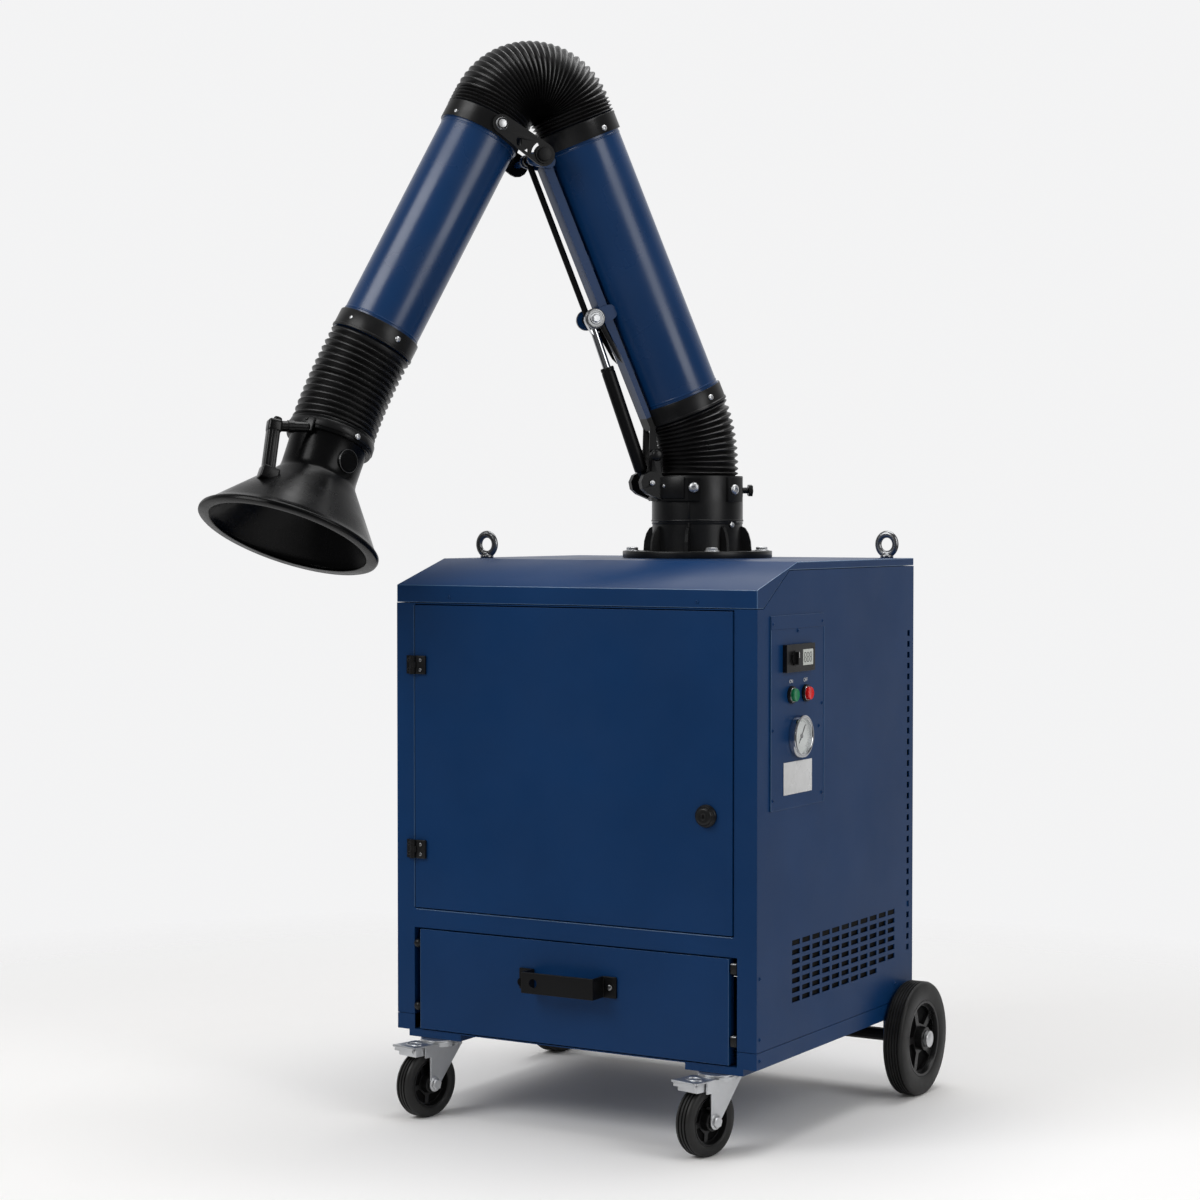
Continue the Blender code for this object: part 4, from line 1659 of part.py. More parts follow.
def elbow_plate_holes():
    """The oval hole, the slot round the axle's boss and the three-cornered window."""
    way = (ELBOW - PLATE_TUBE).normalized()
    side = Vector((-way.z, 0, way.x))
    reach = (ELBOW - PLATE_TUBE).length
    oval = PLATE_TUBE + way * reach * PLATE_OVAL_SHARE + side * PLATE_OVAL_SIDE
    lift = Z_AXIS * PLATE_OVAL_LENGTH / 2
    back = math.atan2(-way.z, -way.x)
    slot = (arc(flat(ELBOW), PLATE_SLOT_OUTER, back - PLATE_SLOT_HALF_ANGLE,
                back + PLATE_SLOT_HALF_ANGLE, 6)
            + arc(flat(ELBOW), PLATE_SLOT_INNER, back + PLATE_SLOT_HALF_ANGLE,
                  back - PLATE_SLOT_HALF_ANGLE, 6))
    window = PLATE_TUBE + way * reach * PLATE_WINDOW_SHARE + side * PLATE_WINDOW_SIDE
    return [link_outline(flat(oval - lift), PLATE_OVAL_RADIUS,
                         flat(oval + lift), PLATE_OVAL_RADIUS, 4),
            slot, circle(flat(window), PLATE_WINDOW_RADIUS, 3)]


def make_elbow_plate(name, hand):
    """A side plate from the upper tube's cuff to the elbow axle."""
    near = hand * PLATE_INNER
    far = hand * (PLATE_INNER + PLATE_THICKNESS)
    outline = link_outline(flat(PLATE_TUBE), PLATE_TUBE_RADIUS, flat(ELBOW), PLATE_ELBOW_RADIUS, 7)
    body = arm_plate([outline] + elbow_plate_holes(), near, far)
    boss = cone(ELBOW + Y_AXIS * (far - hand * SHEET),
                ELBOW + Y_AXIS * (far + hand * PLATE_BOSS_HEIGHT),
                PLATE_BOSS_RADIUS, sides=SMALL_SIDES, parent=ARM)
    axle_hole = cone(ELBOW + Y_AXIS * (near - hand * OVERRUN),
                     ELBOW + Y_AXIS * (far + hand * OVERRUN),
                     ELBOW_AXLE_RADIUS + SEAT_GAP, parent=ARM)
    bolt = cone(PLATE_TUBE + Y_AXIS * (far - hand * SHEET),
                PLATE_TUBE + Y_AXIS * (far + hand * PLATE_BOLT_HEIGHT),
                PLATE_BOLT_RADIUS, sides=SMALL_SIDES, parent=ARM)
    cuff_side = math.sqrt(CUFF_RADIUS ** 2 - PLATE_TUBE_AWAY ** 2)
    pad = cone(PLATE_TUBE + Y_AXIS * hand * (cuff_side - SHEET),
               PLATE_TUBE + Y_AXIS * (near + hand * SHEET), PLATE_BOLT_RADIUS,
               sides=SMALL_SIDES, parent=ARM)
    cuff_room = cone(UPPER_HEAD - UPPER_DIRECTION * CUFF_LENGTH,
                     UPPER_HEAD + UPPER_DIRECTION * UPPER_LENGTH, CUFF_RADIUS + SEAT_GAP,
                     sides=32, parent=ARM)
    fuse(body, boss, bolt, pad)
    cut(body, cuff_room, axle_hole)
    return finish(body, name, PLASTIC_BLACK, ELBOW)


# Hoses

def bend_points(start, start_way, end, end_way, straight, count):
    """Points along a bend in one plane: a straight run, a round arc and a straight run."""
    first = start + start_way * straight
    last = end - end_way * straight
    chord = last - first
    turn = start_way.angle(end_way)
    points = [start]
    if turn < math.radians(1.0):
        return [start + (end - start) * k / (count + 1) for k in range(count + 2)]
    side = (end_way - start_way * end_way.dot(start_way)).normalized()
    radius = chord.length / (2 * math.sin(turn / 2))
    for k in range(count + 1):
        angle = turn * k / count
        ideal = start_way * math.sin(angle) * radius + side * (1 - math.cos(angle)) * radius
        full = start_way * math.sin(turn) * radius + side * (1 - math.cos(turn)) * radius
        slip = (chord - full) * (k / count)
        points.append(first + ideal + slip)
    points.append(end)
    return points


def resample(points, count):
    """Points at equal steps along a path."""
    lengths = [0]
    for a, b in zip(points, points[1:]):
        lengths.append(lengths[-1] + (b - a).length)
    result = []
    for k in range(count):
        target = lengths[-1] * k / (count - 1)
        span = max(i for i, length in enumerate(lengths[:-1]) if length <= target + WELD)
        share = (target - lengths[span]) / (lengths[span + 1] - lengths[span])
        result.append(points[span].lerp(points[span + 1], min(1, share)))
    return result


def make_hose(name, start, start_way, end, end_way, straight, ribs, origin):
    """A ribbed hose: two points a rib, of unlike radius, and a plain bore cut out."""
    start = start + start_way * SEAT_GAP
    end = end - end_way * SEAT_GAP
    path = bend_points(start, start_way, end, end_way, straight, 48)
    stations = resample(path, 2 * ribs + 1)
    radii = [HOSE_RADIUS - (HOSE_VALLEY if k % 2 == 0 else 0) for k in range(len(stations))]
    steps = HOSE_SIDES // 2 - 2
    hose = bent_bar(stations, HOSE_RADIUS, steps, ARM, radii)
    inner = resample(path, HOSE_BORE_STATIONS)
    inner = [inner[0] - start_way * OVERRUN] + inner[1:-1] + [inner[-1] + end_way * OVERRUN]
    bore = bent_bar(inner, HOSE_BORE, steps, ARM)
    cut(hose, bore)
    return finish(hose, name, RUBBER_BLACK, origin)


HOOD_TURN = Euler((HOOD_SWING, 0, 0)).to_matrix()
HOOD_TURN = Matrix.Rotation(HOOD_TILT, 3, "Y") @ HOOD_TURN
HOOD_DOWN = HOOD_TURN @ -Z_AXIS
HOOD = make_empty("hood_frame", ARM, JOINT, HOOD_TURN.to_euler())


def make_hoses():
    collar_top = Vector((0, 0, COLLAR_TOP_Z + COLLAR_NECK_HEIGHT))
    make_hose("base_hose", collar_top, Z_AXIS, LOWER_FOOT, LOWER_DIRECTION,
              SHORT_HOSE_STRAIGHT, BASE_HOSE_RIBS, ARM_PIVOT)
    make_hose("elbow_hose", LOWER_HEAD, LOWER_DIRECTION, UPPER_HEAD, UPPER_DIRECTION,
              ELBOW_STRAIGHT, ELBOW_HOSE_RIBS, ELBOW)
    hood_top = JOINT + HOOD_DOWN * HOOD_NECK_START
    make_hose("hood_hose", UPPER_END, UPPER_DIRECTION, hood_top, HOOD_DOWN,
              SHORT_HOSE_STRAIGHT, HOOD_HOSE_RIBS, JOINT)


# Hood, in its own frame: the joint at the origin and the mouth downwards

def hood_outer(grow):
    """The outer side from the band down to the rim, as (radius, height), larger by grow."""
    band_end = HOOD_NECK_START + HOOD_BAND_LENGTH + grow
    rim_start = HOOD_MOUTH - HOOD_RIM_HEIGHT
    return [(HOOD_BAND_RADIUS + grow, -HOOD_NECK_START), (HOOD_BAND_RADIUS + grow, -band_end),
            (HOOD_NECK_RADIUS + grow, -band_end), (HOOD_NECK_RADIUS + grow, -HOOD_CREASE),
            (HOOD_MOUTH_RADIUS + grow, -rim_start)]


def lean_mouth(obj):
    """Shifts the cone sideways, more and more towards its mouth."""
    for vertex in obj.data.vertices:
        depth = -vertex.co.z - HOOD_CREASE
        if depth > 0:
            vertex.co.x += HOOD_MOUTH_SHIFT * depth / (HOOD_MOUTH - HOOD_CREASE)


def make_hood():
    """Band, neck and flared cone with a rolled rim, one wall thick, and the lower yoke."""
    wall = HOOD_WALL
    rim_start = HOOD_MOUTH - HOOD_RIM_HEIGHT
    profile = hood_outer(0) + [
        (HOOD_RIM_RADIUS, -rim_start), (HOOD_RIM_RADIUS, -HOOD_MOUTH),
        (HOOD_MOUTH_RADIUS - wall, -HOOD_MOUTH),
        (HOOD_NECK_RADIUS - wall, -HOOD_CREASE - wall), (HOOD_NECK_RADIUS - wall, -HOOD_NECK_START),
    ]
    hood = turned(profile, (0, 0, 0), Z_AXIS, 32, HOOD)
    lean_mouth(hood)
    reach = HOOD_NECK_RADIUS - wall / 2
    bridge_z = -HOOD_NECK_START - UPPER_YOKE_SET_BACK
    bridge = box((-reach, -YOKE_ARM_WIDTH / 2, bridge_z - YOKE_BRIDGE),
                 (reach, YOKE_ARM_WIDTH / 2, bridge_z), HOOD)
    fuse(hood, bridge)
    for hand in (-1, 1):
        place = Matrix.Translation((hand * (YOKE_HALF_SPAN + YOKE_ARM_THICKNESS / 2), 0, 0))
        outline = link_outline((0, bridge_z), YOKE_ARM_WIDTH / 3, (0, 0), YOKE_ARM_WIDTH / 2, 6)
        hole = circle((0, 0), CROSS_PIN_RADIUS + SEAT_GAP, 10)
        fuse(hood, plate([outline, hole], YOKE_ARM_THICKNESS, place @ SIDE_PLANE, HOOD))
    return finish(hood, "hood", PLASTIC_BLACK)


def make_joint_cross():
    """The cross between the two yokes: a block with four pins."""
    half = CROSS_BLOCK / 2
    tilt = make_empty("cross_frame", ARM, JOINT, (0, HOOD_TILT, 0))
    cross = box((-half, -half, -half), (half, half, half), tilt)
    reach = YOKE_HALF_SPAN + YOKE_ARM_THICKNESS + SHEET
    fuse(cross, cone((-reach, 0, 0), (reach, 0, 0), CROSS_PIN_RADIUS, sides=12, parent=tilt),
         cone((0, -reach, 0), (0, reach, 0), CROSS_PIN_RADIUS, sides=12, parent=tilt))
    return finish(cross, "joint_cross", ZINC)


def make_hood_handle():
    """A grip bar beside the hood: an arm from a clip at the band, and a foot on the cone."""
    half = GRIP_HALF
    arm_z = -HOOD_NECK_START - HOOD_BAND_LENGTH - GRIP_ARM_DROP
    foot_z = arm_z - GRIP_LENGTH
    inner = HOOD_NECK_RADIUS / 2
    outer = GRIP_OUT + half
    outline = [(inner, arm_z - half), (GRIP_OUT - half, arm_z - half),
               (GRIP_FOOT_OUT - half, foot_z), (GRIP_FOOT_OUT + half, foot_z),
               (outer, arm_z + half - GRIP_CHAMFER), (outer - GRIP_CHAMFER, arm_z + half),
               (inner, arm_z + half)]
    beside = Matrix.Translation((0, GRIP_SIDE, 0))
    grip = plate([outline], 2 * half, beside @ ARM_PLANE, HOOD)
    size = GRIP_FOOT_SIZE / 2
    foot = box((GRIP_FOOT_OUT - size, GRIP_SIDE - size, foot_z - GRIP_FOOT_HEIGHT / 2),
               (GRIP_FOOT_OUT + size, GRIP_SIDE + size, foot_z + GRIP_FOOT_HEIGHT / 2), HOOD)
    bolt_x = outer - GRIP_CHAMFER - GRIP_BOLT_RADIUS
    bolt = cone((bolt_x, GRIP_SIDE, arm_z), (bolt_x, GRIP_SIDE, arm_z + half + GRIP_BOLT_HEIGHT),
                GRIP_BOLT_RADIUS, sides=6, parent=HOOD)
    clip_turn = Matrix.Rotation(math.asin(GRIP_SIDE / HOOD_BAND_RADIUS), 4, "Z")
    band_end = -HOOD_NECK_START - HOOD_BAND_LENGTH
    clip = box((HOOD_BAND_RADIUS - SHEET, -GRIP_CLIP_WIDTH / 2, band_end - GRIP_CLIP_HEIGHT / 2),
               (HOOD_BAND_RADIUS + GRIP_CLIP_THICKNESS, GRIP_CLIP_WIDTH / 2,
                band_end + GRIP_CLIP_HEIGHT / 2), HOOD)
    clip.data.transform(clip_turn)
    fuse(grip, foot, bolt, clip)
    outside = hood_outer(2 * SEAT_GAP)
    room = turned([(0, -HOOD_NECK_START)] + outside + [(0, outside[-1][1])], (0, 0, 0), Z_AXIS,
                  32, HOOD)
    lean_mouth(room)
    cut(grip, room)
    return finish(grip, "hood_handle", PLASTIC_BLACK)


def stand_on_middle():
    """Moves the whole machine so that the middle of its plan lies on the Z axis."""
    bpy.context.view_layer.update()
    graph = bpy.context.evaluated_depsgraph_get()
    low = [math.inf, math.inf]
    high = [-math.inf, -math.inf]
    for obj in PARTS.objects:
        if obj.type != "MESH":
            continue
        shown = obj.evaluated_get(graph)
        for vertex in shown.data.vertices:
            point = obj.matrix_world @ vertex.co
            for k in range(2):
                low[k] = min(low[k], point[k])
                high[k] = max(high[k], point[k])
    ROOT.location = (-(low[0] + high[0]) / 2, -(low[1] + high[1]) / 2, 0)
    bpy.context.view_layer.update()
    print("middle", *ROOT.location)


def main():
    make_lid()
    make_side_panels()
    make_rear_panel()
    make_front_frame()
    make_base_tray()
    make_shelf()
    make_door()
    make_door_seal()
    make_hinge("hinge_upper", HINGE_UPPER_Z)
    make_hinge("hinge_lower", HINGE_LOWER_Z)
    make_door_lock()
    make_drawer()
    make_drawer_handle()
    make_control_panel()
    make_switch_unit()
    make_switch_knob()
    make_button("start", START_BUTTON_Y, BUTTON_GREEN)
    make_button("stop", STOP_BUTTON_Y, BUTTON_RED)
    make_gauge()
    make_lifting_eye("lifting_eye_left", -EYE_X, EYE_LEFT_Y)
    make_lifting_eye("lifting_eye_right", EYE_X, EYE_RIGHT_Y)
    make_filter()
    make_fan_housing()
    make_impeller()
    make_motor()
    make_rear_wheel("rear_wheel_left", -1)
    make_rear_wheel("rear_wheel_right", 1)
    make_axle()
    make_caster("caster_left", -1)
    make_caster("caster_right", 1)
    make_arm_flange()
    make_swivel_collar()
    make_pivot_bracket()
    make_clamp_knob()
    make_lower_tube()
    make_support_rail()
    make_tie_rod()
    make_spring_body()
    make_spring_rod()
    make_upper_tube()
    make_elbow_plate("elbow_plate_near", 1)
    make_elbow_plate("elbow_plate_far", -1)
    make_hoses()
    make_hood()
    make_joint_cross()
    make_hood_handle()
    stand_on_middle()


main()
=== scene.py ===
"""The looks of a mobile welding fume extractor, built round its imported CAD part."""

import math

import bpy
from mathutils import Matrix, Vector
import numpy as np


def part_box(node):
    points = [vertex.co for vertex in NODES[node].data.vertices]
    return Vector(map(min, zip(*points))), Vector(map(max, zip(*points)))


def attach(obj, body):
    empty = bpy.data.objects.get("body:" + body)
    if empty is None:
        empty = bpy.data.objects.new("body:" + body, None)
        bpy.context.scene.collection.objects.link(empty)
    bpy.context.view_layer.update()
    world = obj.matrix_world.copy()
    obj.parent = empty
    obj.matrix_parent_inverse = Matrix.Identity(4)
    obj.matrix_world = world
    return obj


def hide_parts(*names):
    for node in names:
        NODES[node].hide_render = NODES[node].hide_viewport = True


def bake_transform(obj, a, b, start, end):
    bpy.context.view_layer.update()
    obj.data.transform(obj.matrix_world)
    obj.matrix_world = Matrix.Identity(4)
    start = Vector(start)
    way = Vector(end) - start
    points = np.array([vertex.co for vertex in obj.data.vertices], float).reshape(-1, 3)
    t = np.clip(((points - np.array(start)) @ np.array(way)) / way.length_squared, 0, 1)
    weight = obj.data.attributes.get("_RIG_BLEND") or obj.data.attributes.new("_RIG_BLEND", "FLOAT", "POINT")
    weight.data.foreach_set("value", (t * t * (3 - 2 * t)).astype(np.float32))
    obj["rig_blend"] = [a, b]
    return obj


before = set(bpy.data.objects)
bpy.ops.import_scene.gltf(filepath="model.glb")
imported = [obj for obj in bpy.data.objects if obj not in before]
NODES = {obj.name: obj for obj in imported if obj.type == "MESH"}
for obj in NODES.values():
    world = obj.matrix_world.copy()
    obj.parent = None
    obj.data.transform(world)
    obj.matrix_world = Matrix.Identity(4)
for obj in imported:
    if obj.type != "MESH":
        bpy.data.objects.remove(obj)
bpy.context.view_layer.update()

# A whole turn, the distance at which points merge, a pole's radius and the smoothing angle

TURN = 2 * math.pi
MERGE = 0.00001
POINT = 0.000001
SMOOTH = math.radians(40)

# Where the cabinet and the arm stand, read from the part

LID_LOW, LID_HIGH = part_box("lid")
MIDDLE = Vector(((LID_LOW.x + LID_HIGH.x) / 2, (LID_LOW.y + LID_HIGH.y) / 2, 0))
FRONT = LID_LOW.y
RIGHT = LID_HIGH.x
FLANGE_LOW, FLANGE_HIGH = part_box("arm_flange")
ARM_FOOT = Vector(((FLANGE_LOW.x + FLANGE_HIGH.x) / 2, (FLANGE_LOW.y + FLANGE_HIGH.y) / 2, 0))
ARM = Matrix.Translation(ARM_FOOT) @ Matrix.Rotation(math.radians(-130), 4, "Z")

# The arm's sizes in its own upright plane, as the part has them

DUCT = 0.0735
CUFF = 0.0775
CUFF_LENGTH = 0.034
LOWER_LEAN = math.radians(23.0)
LOWER_FOOT = Vector((0.0208, 0, 1.3054))
LOWER_WAY = Vector((math.sin(LOWER_LEAN), 0, math.cos(LOWER_LEAN)))
LOWER_NORMAL = Vector((math.cos(LOWER_LEAN), 0, -math.sin(LOWER_LEAN)))
LOWER_LENGTH = 0.585
LOWER_HEAD = LOWER_FOOT + LOWER_WAY * LOWER_LENGTH
UPPER_LEAN = math.radians(27.8)
UPPER_HEAD = LOWER_HEAD + Vector((0.1750, 0, 0))
UPPER_WAY = Vector((math.sin(UPPER_LEAN), 0, -math.cos(UPPER_LEAN)))
UPPER_ACROSS = Vector((math.cos(UPPER_LEAN), 0, math.sin(UPPER_LEAN)))
UPPER_LENGTH = 0.477
UPPER_END = UPPER_HEAD + UPPER_WAY * UPPER_LENGTH
COLLAR_TOP = 1.182
COLLAR_RADIUS = 0.0875
FLANGE_THICKNESS = 0.013
FLANGE_BOLT_CIRCLE = 0.128
FLANGE_BOLTS = 4
FIRST_BOLT = 81
ARM_PIVOT = Vector((0.0966, 0, 1.2215))
SPRING_FOOT = Vector((0.1065, 0, 1.1680))
KNUCKLE = LOWER_FOOT + LOWER_WAY * 0.2365 + LOWER_NORMAL * 0.1143
ELBOW = LOWER_HEAD - LOWER_WAY * 0.0293 + LOWER_NORMAL * 0.1098
PLATE_BOLT = UPPER_HEAD + UPPER_WAY * 0.0129 - UPPER_ACROSS * 0.0118
HOOD_JOINT = UPPER_END + UPPER_WAY * 0.1105
HOOD_TURN = Matrix.Rotation(math.radians(-21.65), 4, "Y") @ Matrix.Rotation(
    math.radians(12.86), 4, "X")
HOOD = ARM @ Matrix.Translation(HOOD_JOINT) @ HOOD_TURN
HOOD_WAY = HOOD_TURN.to_3x3() @ Vector((0, 0, -1))
HOOD_BAND_TOP = 0.0720


def cabinet_point(x, y, z):
    """A point given from the middle of the cabinet's plan."""
    return MIDDLE + Vector((x, y, z))


def round_way(angle):
    """The level direction at an angle from +X, in degrees."""
    turn = math.radians(angle)
    return Vector((math.cos(turn), math.sin(turn), 0))


def arm_point(point):
    return ARM @ point


def arm_way(direction):
    return (ARM.to_3x3() @ direction).normalized()


# Finishes

def shader_of(material):
    return material.node_tree.nodes["Principled BSDF"]


def plain_finish(name, colour, roughness, metallic=0.0):
    """A material with one colour, to which the other finishes add."""
    material = bpy.data.materials.new(name)
    material.use_nodes = True
    shader = shader_of(material)
    shader.inputs["Base Color"].default_value = (*colour, 1)
    shader.inputs["Roughness"].default_value = roughness
    shader.inputs["Metallic"].default_value = metallic
    return material


def noise(material, scale, detail):
    """A noise texture on Object coordinates."""
    nodes, links = material.node_tree.nodes, material.node_tree.links
    where = nodes.new("ShaderNodeTexCoord")
    texture = nodes.new("ShaderNodeTexNoise")
    texture.inputs["Scale"].default_value = scale
    texture.inputs["Detail"].default_value = detail
    links.new(where.outputs["Object"], texture.inputs["Vector"])
    return texture


def add_grain(material, scale, strength, distance=0.0004, detail=3.0):
    """Fine relief, such as the skin of powder coat or moulded plastic."""
    nodes, links = material.node_tree.nodes, material.node_tree.links
    texture = noise(material, scale, detail)
    bump = nodes.new("ShaderNodeBump")
    bump.inputs["Strength"].default_value = strength
    bump.inputs["Distance"].default_value = distance
    links.new(texture.outputs["Fac"], bump.inputs["Height"])
    links.new(bump.outputs["Normal"], shader_of(material).inputs["Normal"])


def add_range(material, socket, scale, low, high):
    """Lets a socket drift between two values, in soft patches."""
    nodes, links = material.node_tree.nodes, material.node_tree.links
    texture = noise(material, scale, 4.0)
    drift = nodes.new("ShaderNodeMapRange")
    drift.inputs["From Min"].default_value = 0.3
    drift.inputs["From Max"].default_value = 0.7
    drift.inputs["To Min"].default_value = low
    drift.inputs["To Max"].default_value = high
    links.new(texture.outputs["Fac"], drift.inputs["Value"])
    links.new(drift.outputs["Result"], shader_of(material).inputs[socket])


def add_mottle(material, scale, dark, light):
    """Lets the colour drift between two near colours."""
    nodes, links = material.node_tree.nodes, material.node_tree.links
    texture = noise(material, scale, 5.0)
    ramp = nodes.new("ShaderNodeValToRGB")
    ramp.color_ramp.elements[0].position = 0.32
    ramp.color_ramp.elements[0].color = (*dark, 1)
    ramp.color_ramp.elements[1].position = 0.68
    ramp.color_ramp.elements[1].color = (*light, 1)
    links.new(texture.outputs["Fac"], ramp.inputs["Fac"])
    links.new(ramp.outputs["Color"], shader_of(material).inputs["Base Color"])


def powder_coat(name, dark, light, roughness, shine):
    material = plain_finish(name, light, roughness)
    shader_of(material).inputs["Specular IOR Level"].default_value = shine
    add_mottle(material, 5.0, dark, light)
    add_range(material, "Roughness", 9.0, roughness - 0.04, roughness + 0.05)
    add_grain(material, 620.0, 0.10)
    return material


def moulded(name, dark, light, roughness, grain=0.14, shine=0.5):
    material = plain_finish(name, light, roughness)
    shader_of(material).inputs["Specular IOR Level"].default_value = shine
    add_mottle(material, 30.0, dark, light)
    add_range(material, "Roughness", 22.0, roughness - 0.06, roughness + 0.08)
    add_grain(material, 900.0, grain)
    return material


def bright_metal(name, dark, light, roughness):
    material = plain_finish(name, light, roughness, 1.0)
    add_mottle(material, 24.0, dark, light)
    add_range(material, "Roughness", 40.0, roughness - 0.04, roughness + 0.06)
    add_grain(material, 500.0, 0.05, 0.0002, 2.0)
    return material


# Each finish drifts from a dark to a light tone; roughness, grain and shine follow if given

DEEP_BLUE, CLEAR_BLUE = (0.0030, 0.0310, 0.1080), (0.0042, 0.0360, 0.1240)
MOULD_DARK, MOULD_LIGHT = (0.0055, 0.0056, 0.0060), (0.0085, 0.0087, 0.0092)

BLUE = powder_coat("blue_powder_coat", (0.0030, 0.0320, 0.1120), (0.0040, 0.0370, 0.1280),
                   0.36, 0.20)
TUBE_BLUE = powder_coat("blue_tube_coat", DEEP_BLUE, CLEAR_BLUE, 0.26, 0.58)
# A light blue that paints highlight lines on bevelled blue edges
EDGE_HIGHLIGHT_BLUE = powder_coat("blue_painted_edge_highlight", (0.050, 0.115, 0.235), (0.070, 0.150, 0.290),
                        0.22, 0.80)
BLACK_COAT = powder_coat("black_powder_coat", (0.0040, 0.0041, 0.0045), (0.0062, 0.0064, 0.0069),
                         0.36, 0.22)
BLACK_MOULD = moulded("black_moulding", MOULD_DARK, MOULD_LIGHT, 0.33, 0.12, 0.36)
HOOD_MOULD = moulded("hood_moulding", (0.0022, 0.0023, 0.0025), (0.0034, 0.0035, 0.0038),
                     0.25, 0.08, 0.17)
HOOD_GRIP = moulded("hood_grip_moulding", (0.0028, 0.0029, 0.0031), (0.0044, 0.0045, 0.0048),
                    0.24, 0.08, 0.30)
# A light grey that paints the highlight on the hood boss's rim
BOSS_RIM_HIGHLIGHT = moulded("boss_rim_painted_highlight", (0.060, 0.061, 0.063), (0.090, 0.091, 0.094), 0.24, 0.05, 0.80)
HOSE_SKIN = moulded("hose_skin", (0.0042, 0.0042, 0.0044), (0.0085, 0.0085, 0.0088), 0.33, 0.25)
TYRE_RUBBER = moulded("tyre_rubber", (0.0112, 0.0112, 0.0110), (0.0182, 0.0181, 0.0178),
                      0.46, 0.30, 0.40)
SEAL_RUBBER = moulded("seal_rubber", (0.0120, 0.0120, 0.0120), (0.0190, 0.0190, 0.0190), 0.70)
RIM_PLASTIC = moulded("rim_plastic", (0.0050, 0.0051, 0.0053), (0.0085, 0.0086, 0.0090),
                      0.30, 0.14, 0.45)
ZINC = bright_metal("bright_zinc", (0.70, 0.715, 0.73), (0.80, 0.815, 0.83), 0.36)
SCREW_STEEL = bright_metal("screw_steel", (0.76, 0.77, 0.78), (0.86, 0.87, 0.88), 0.42)
WASHER_STEEL = bright_metal("washer_steel", (0.25, 0.255, 0.26), (0.32, 0.325, 0.33), 0.28)
CHROME = bright_metal("polished_chrome", (0.64, 0.65, 0.67), (0.70, 0.71, 0.73), 0.12)
GALVANISED = bright_metal("galvanised_sheet", (0.38, 0.40, 0.42), (0.52, 0.54, 0.56), 0.36)
MOTOR_GREY = powder_coat("motor_grey", (0.12, 0.125, 0.13), (0.17, 0.175, 0.18), 0.50, 0.50)
GREEN_CAP = moulded("green_cap", (0.004, 0.170, 0.060), (0.006, 0.240, 0.090), 0.30, 0.03)
RED_CAP = moulded("red_cap", (0.640, 0.006, 0.006), (0.780, 0.010, 0.010), 0.24, 0.03)
DIAL_WHITE = moulded("dial_white", (0.74, 0.74, 0.72), (0.82, 0.82, 0.80), 0.40, 0.03)
DIAL_INK = moulded("dial_ink", (0.010, 0.010, 0.012), (0.016, 0.016, 0.018), 0.50, 0.03)
PLATE_SILVER = moulded("plate_silver", (0.66, 0.67, 0.68), (0.76, 0.77, 0.78), 0.28, 0.04)
DISPLAY_GREY = moulded("display_grey", (0.52, 0.55, 0.52), (0.60, 0.63, 0.60), 0.16, 0.02)
LABEL_WHITE = moulded("label_white", (0.70, 0.71, 0.72), (0.80, 0.81, 0.82), 0.45, 0.03)
# Near black that paints shade into recesses, gaps, holes and behind the louvres
RECESS_SHADE = moulded("painted_recess_shade", (0.0026, 0.0026, 0.0028), (0.0044, 0.0044, 0.0047),
                      0.60, 0.14, 0.08)


def filter_fleece():
    material = moulded("filter_fleece", (0.60, 0.60, 0.57), (0.72, 0.72, 0.69), 0.90, 0.60)
    shader_of(material).inputs["Sheen Weight"].default_value = 0.25
    return material


def clear_glass():
    material = plain_finish("clear_glass", (0.95, 0.97, 0.97), 0.03)
    shader = shader_of(material)
    shader.inputs["Transmission Weight"].default_value = 1.0
    shader.inputs["IOR"].default_value = 1.45
    add_range(material, "Roughness", 40.0, 0.02, 0.05)
    return material


def rail_coat():
    """The rail's blue, and duller black on its lower end."""
    black_shine, blue_shine = 0.10, 0.24
    black_end, fade = 0.022, 0.0003
    material = powder_coat("rail_coat", DEEP_BLUE, CLEAR_BLUE, 0.30, blue_shine)
    nodes, links = material.node_tree.nodes, material.node_tree.links
    shader = shader_of(material)
    blue = shader.inputs["Base Color"].links[0].from_socket
    where = nodes.new("ShaderNodeTexCoord")
    along = nodes.new("ShaderNodeVectorMath")
    along.operation = "DOT_PRODUCT"
    way = arm_way(LOWER_WAY)
    along.inputs[1].default_value = way
    end = arm_point(LOWER_FOOT + LOWER_WAY * black_end).dot(way)
    share = nodes.new("ShaderNodeMapRange")
    share.inputs["From Min"].default_value = end - fade
    share.inputs["From Max"].default_value = end + fade
    mix = nodes.new("ShaderNodeMixRGB")
    mix.inputs["Color1"].default_value = (*MOULD_LIGHT, 1)
    links.new(where.outputs["Object"], along.inputs[0])
    links.new(along.outputs["Value"], share.inputs["Value"])
    links.new(share.outputs["Result"], mix.inputs["Fac"])
    links.new(blue, mix.inputs["Color2"])
    links.new(mix.outputs["Color"], shader.inputs["Base Color"])
    gleam = nodes.new("ShaderNodeMapRange")
    gleam.inputs["To Min"].default_value = black_shine
    gleam.inputs["To Max"].default_value = blue_shine
    links.new(share.outputs["Result"], gleam.inputs["Value"])
    links.new(gleam.outputs["Result"], shader.inputs["Specular IOR Level"])
    return material


RAIL_COAT = rail_coat()
FLEECE = filter_fleece()
GLASS = clear_glass()

# Modelling by hand

def leave_selection():
    """Object mode with nothing selected."""
    if bpy.context.mode != "OBJECT":
        bpy.ops.object.mode_set(mode="OBJECT")
    bpy.ops.object.select_all(action="DESELECT")


def make_active(piece):
    leave_selection()
    bpy.context.view_layer.objects.active = piece
    piece.select_set(True)


def settle(piece):
    """Applies the piece's place, so that its object sits at the origin."""
    make_active(piece)
    bpy.ops.object.transform_apply(location=True, rotation=True, scale=True)


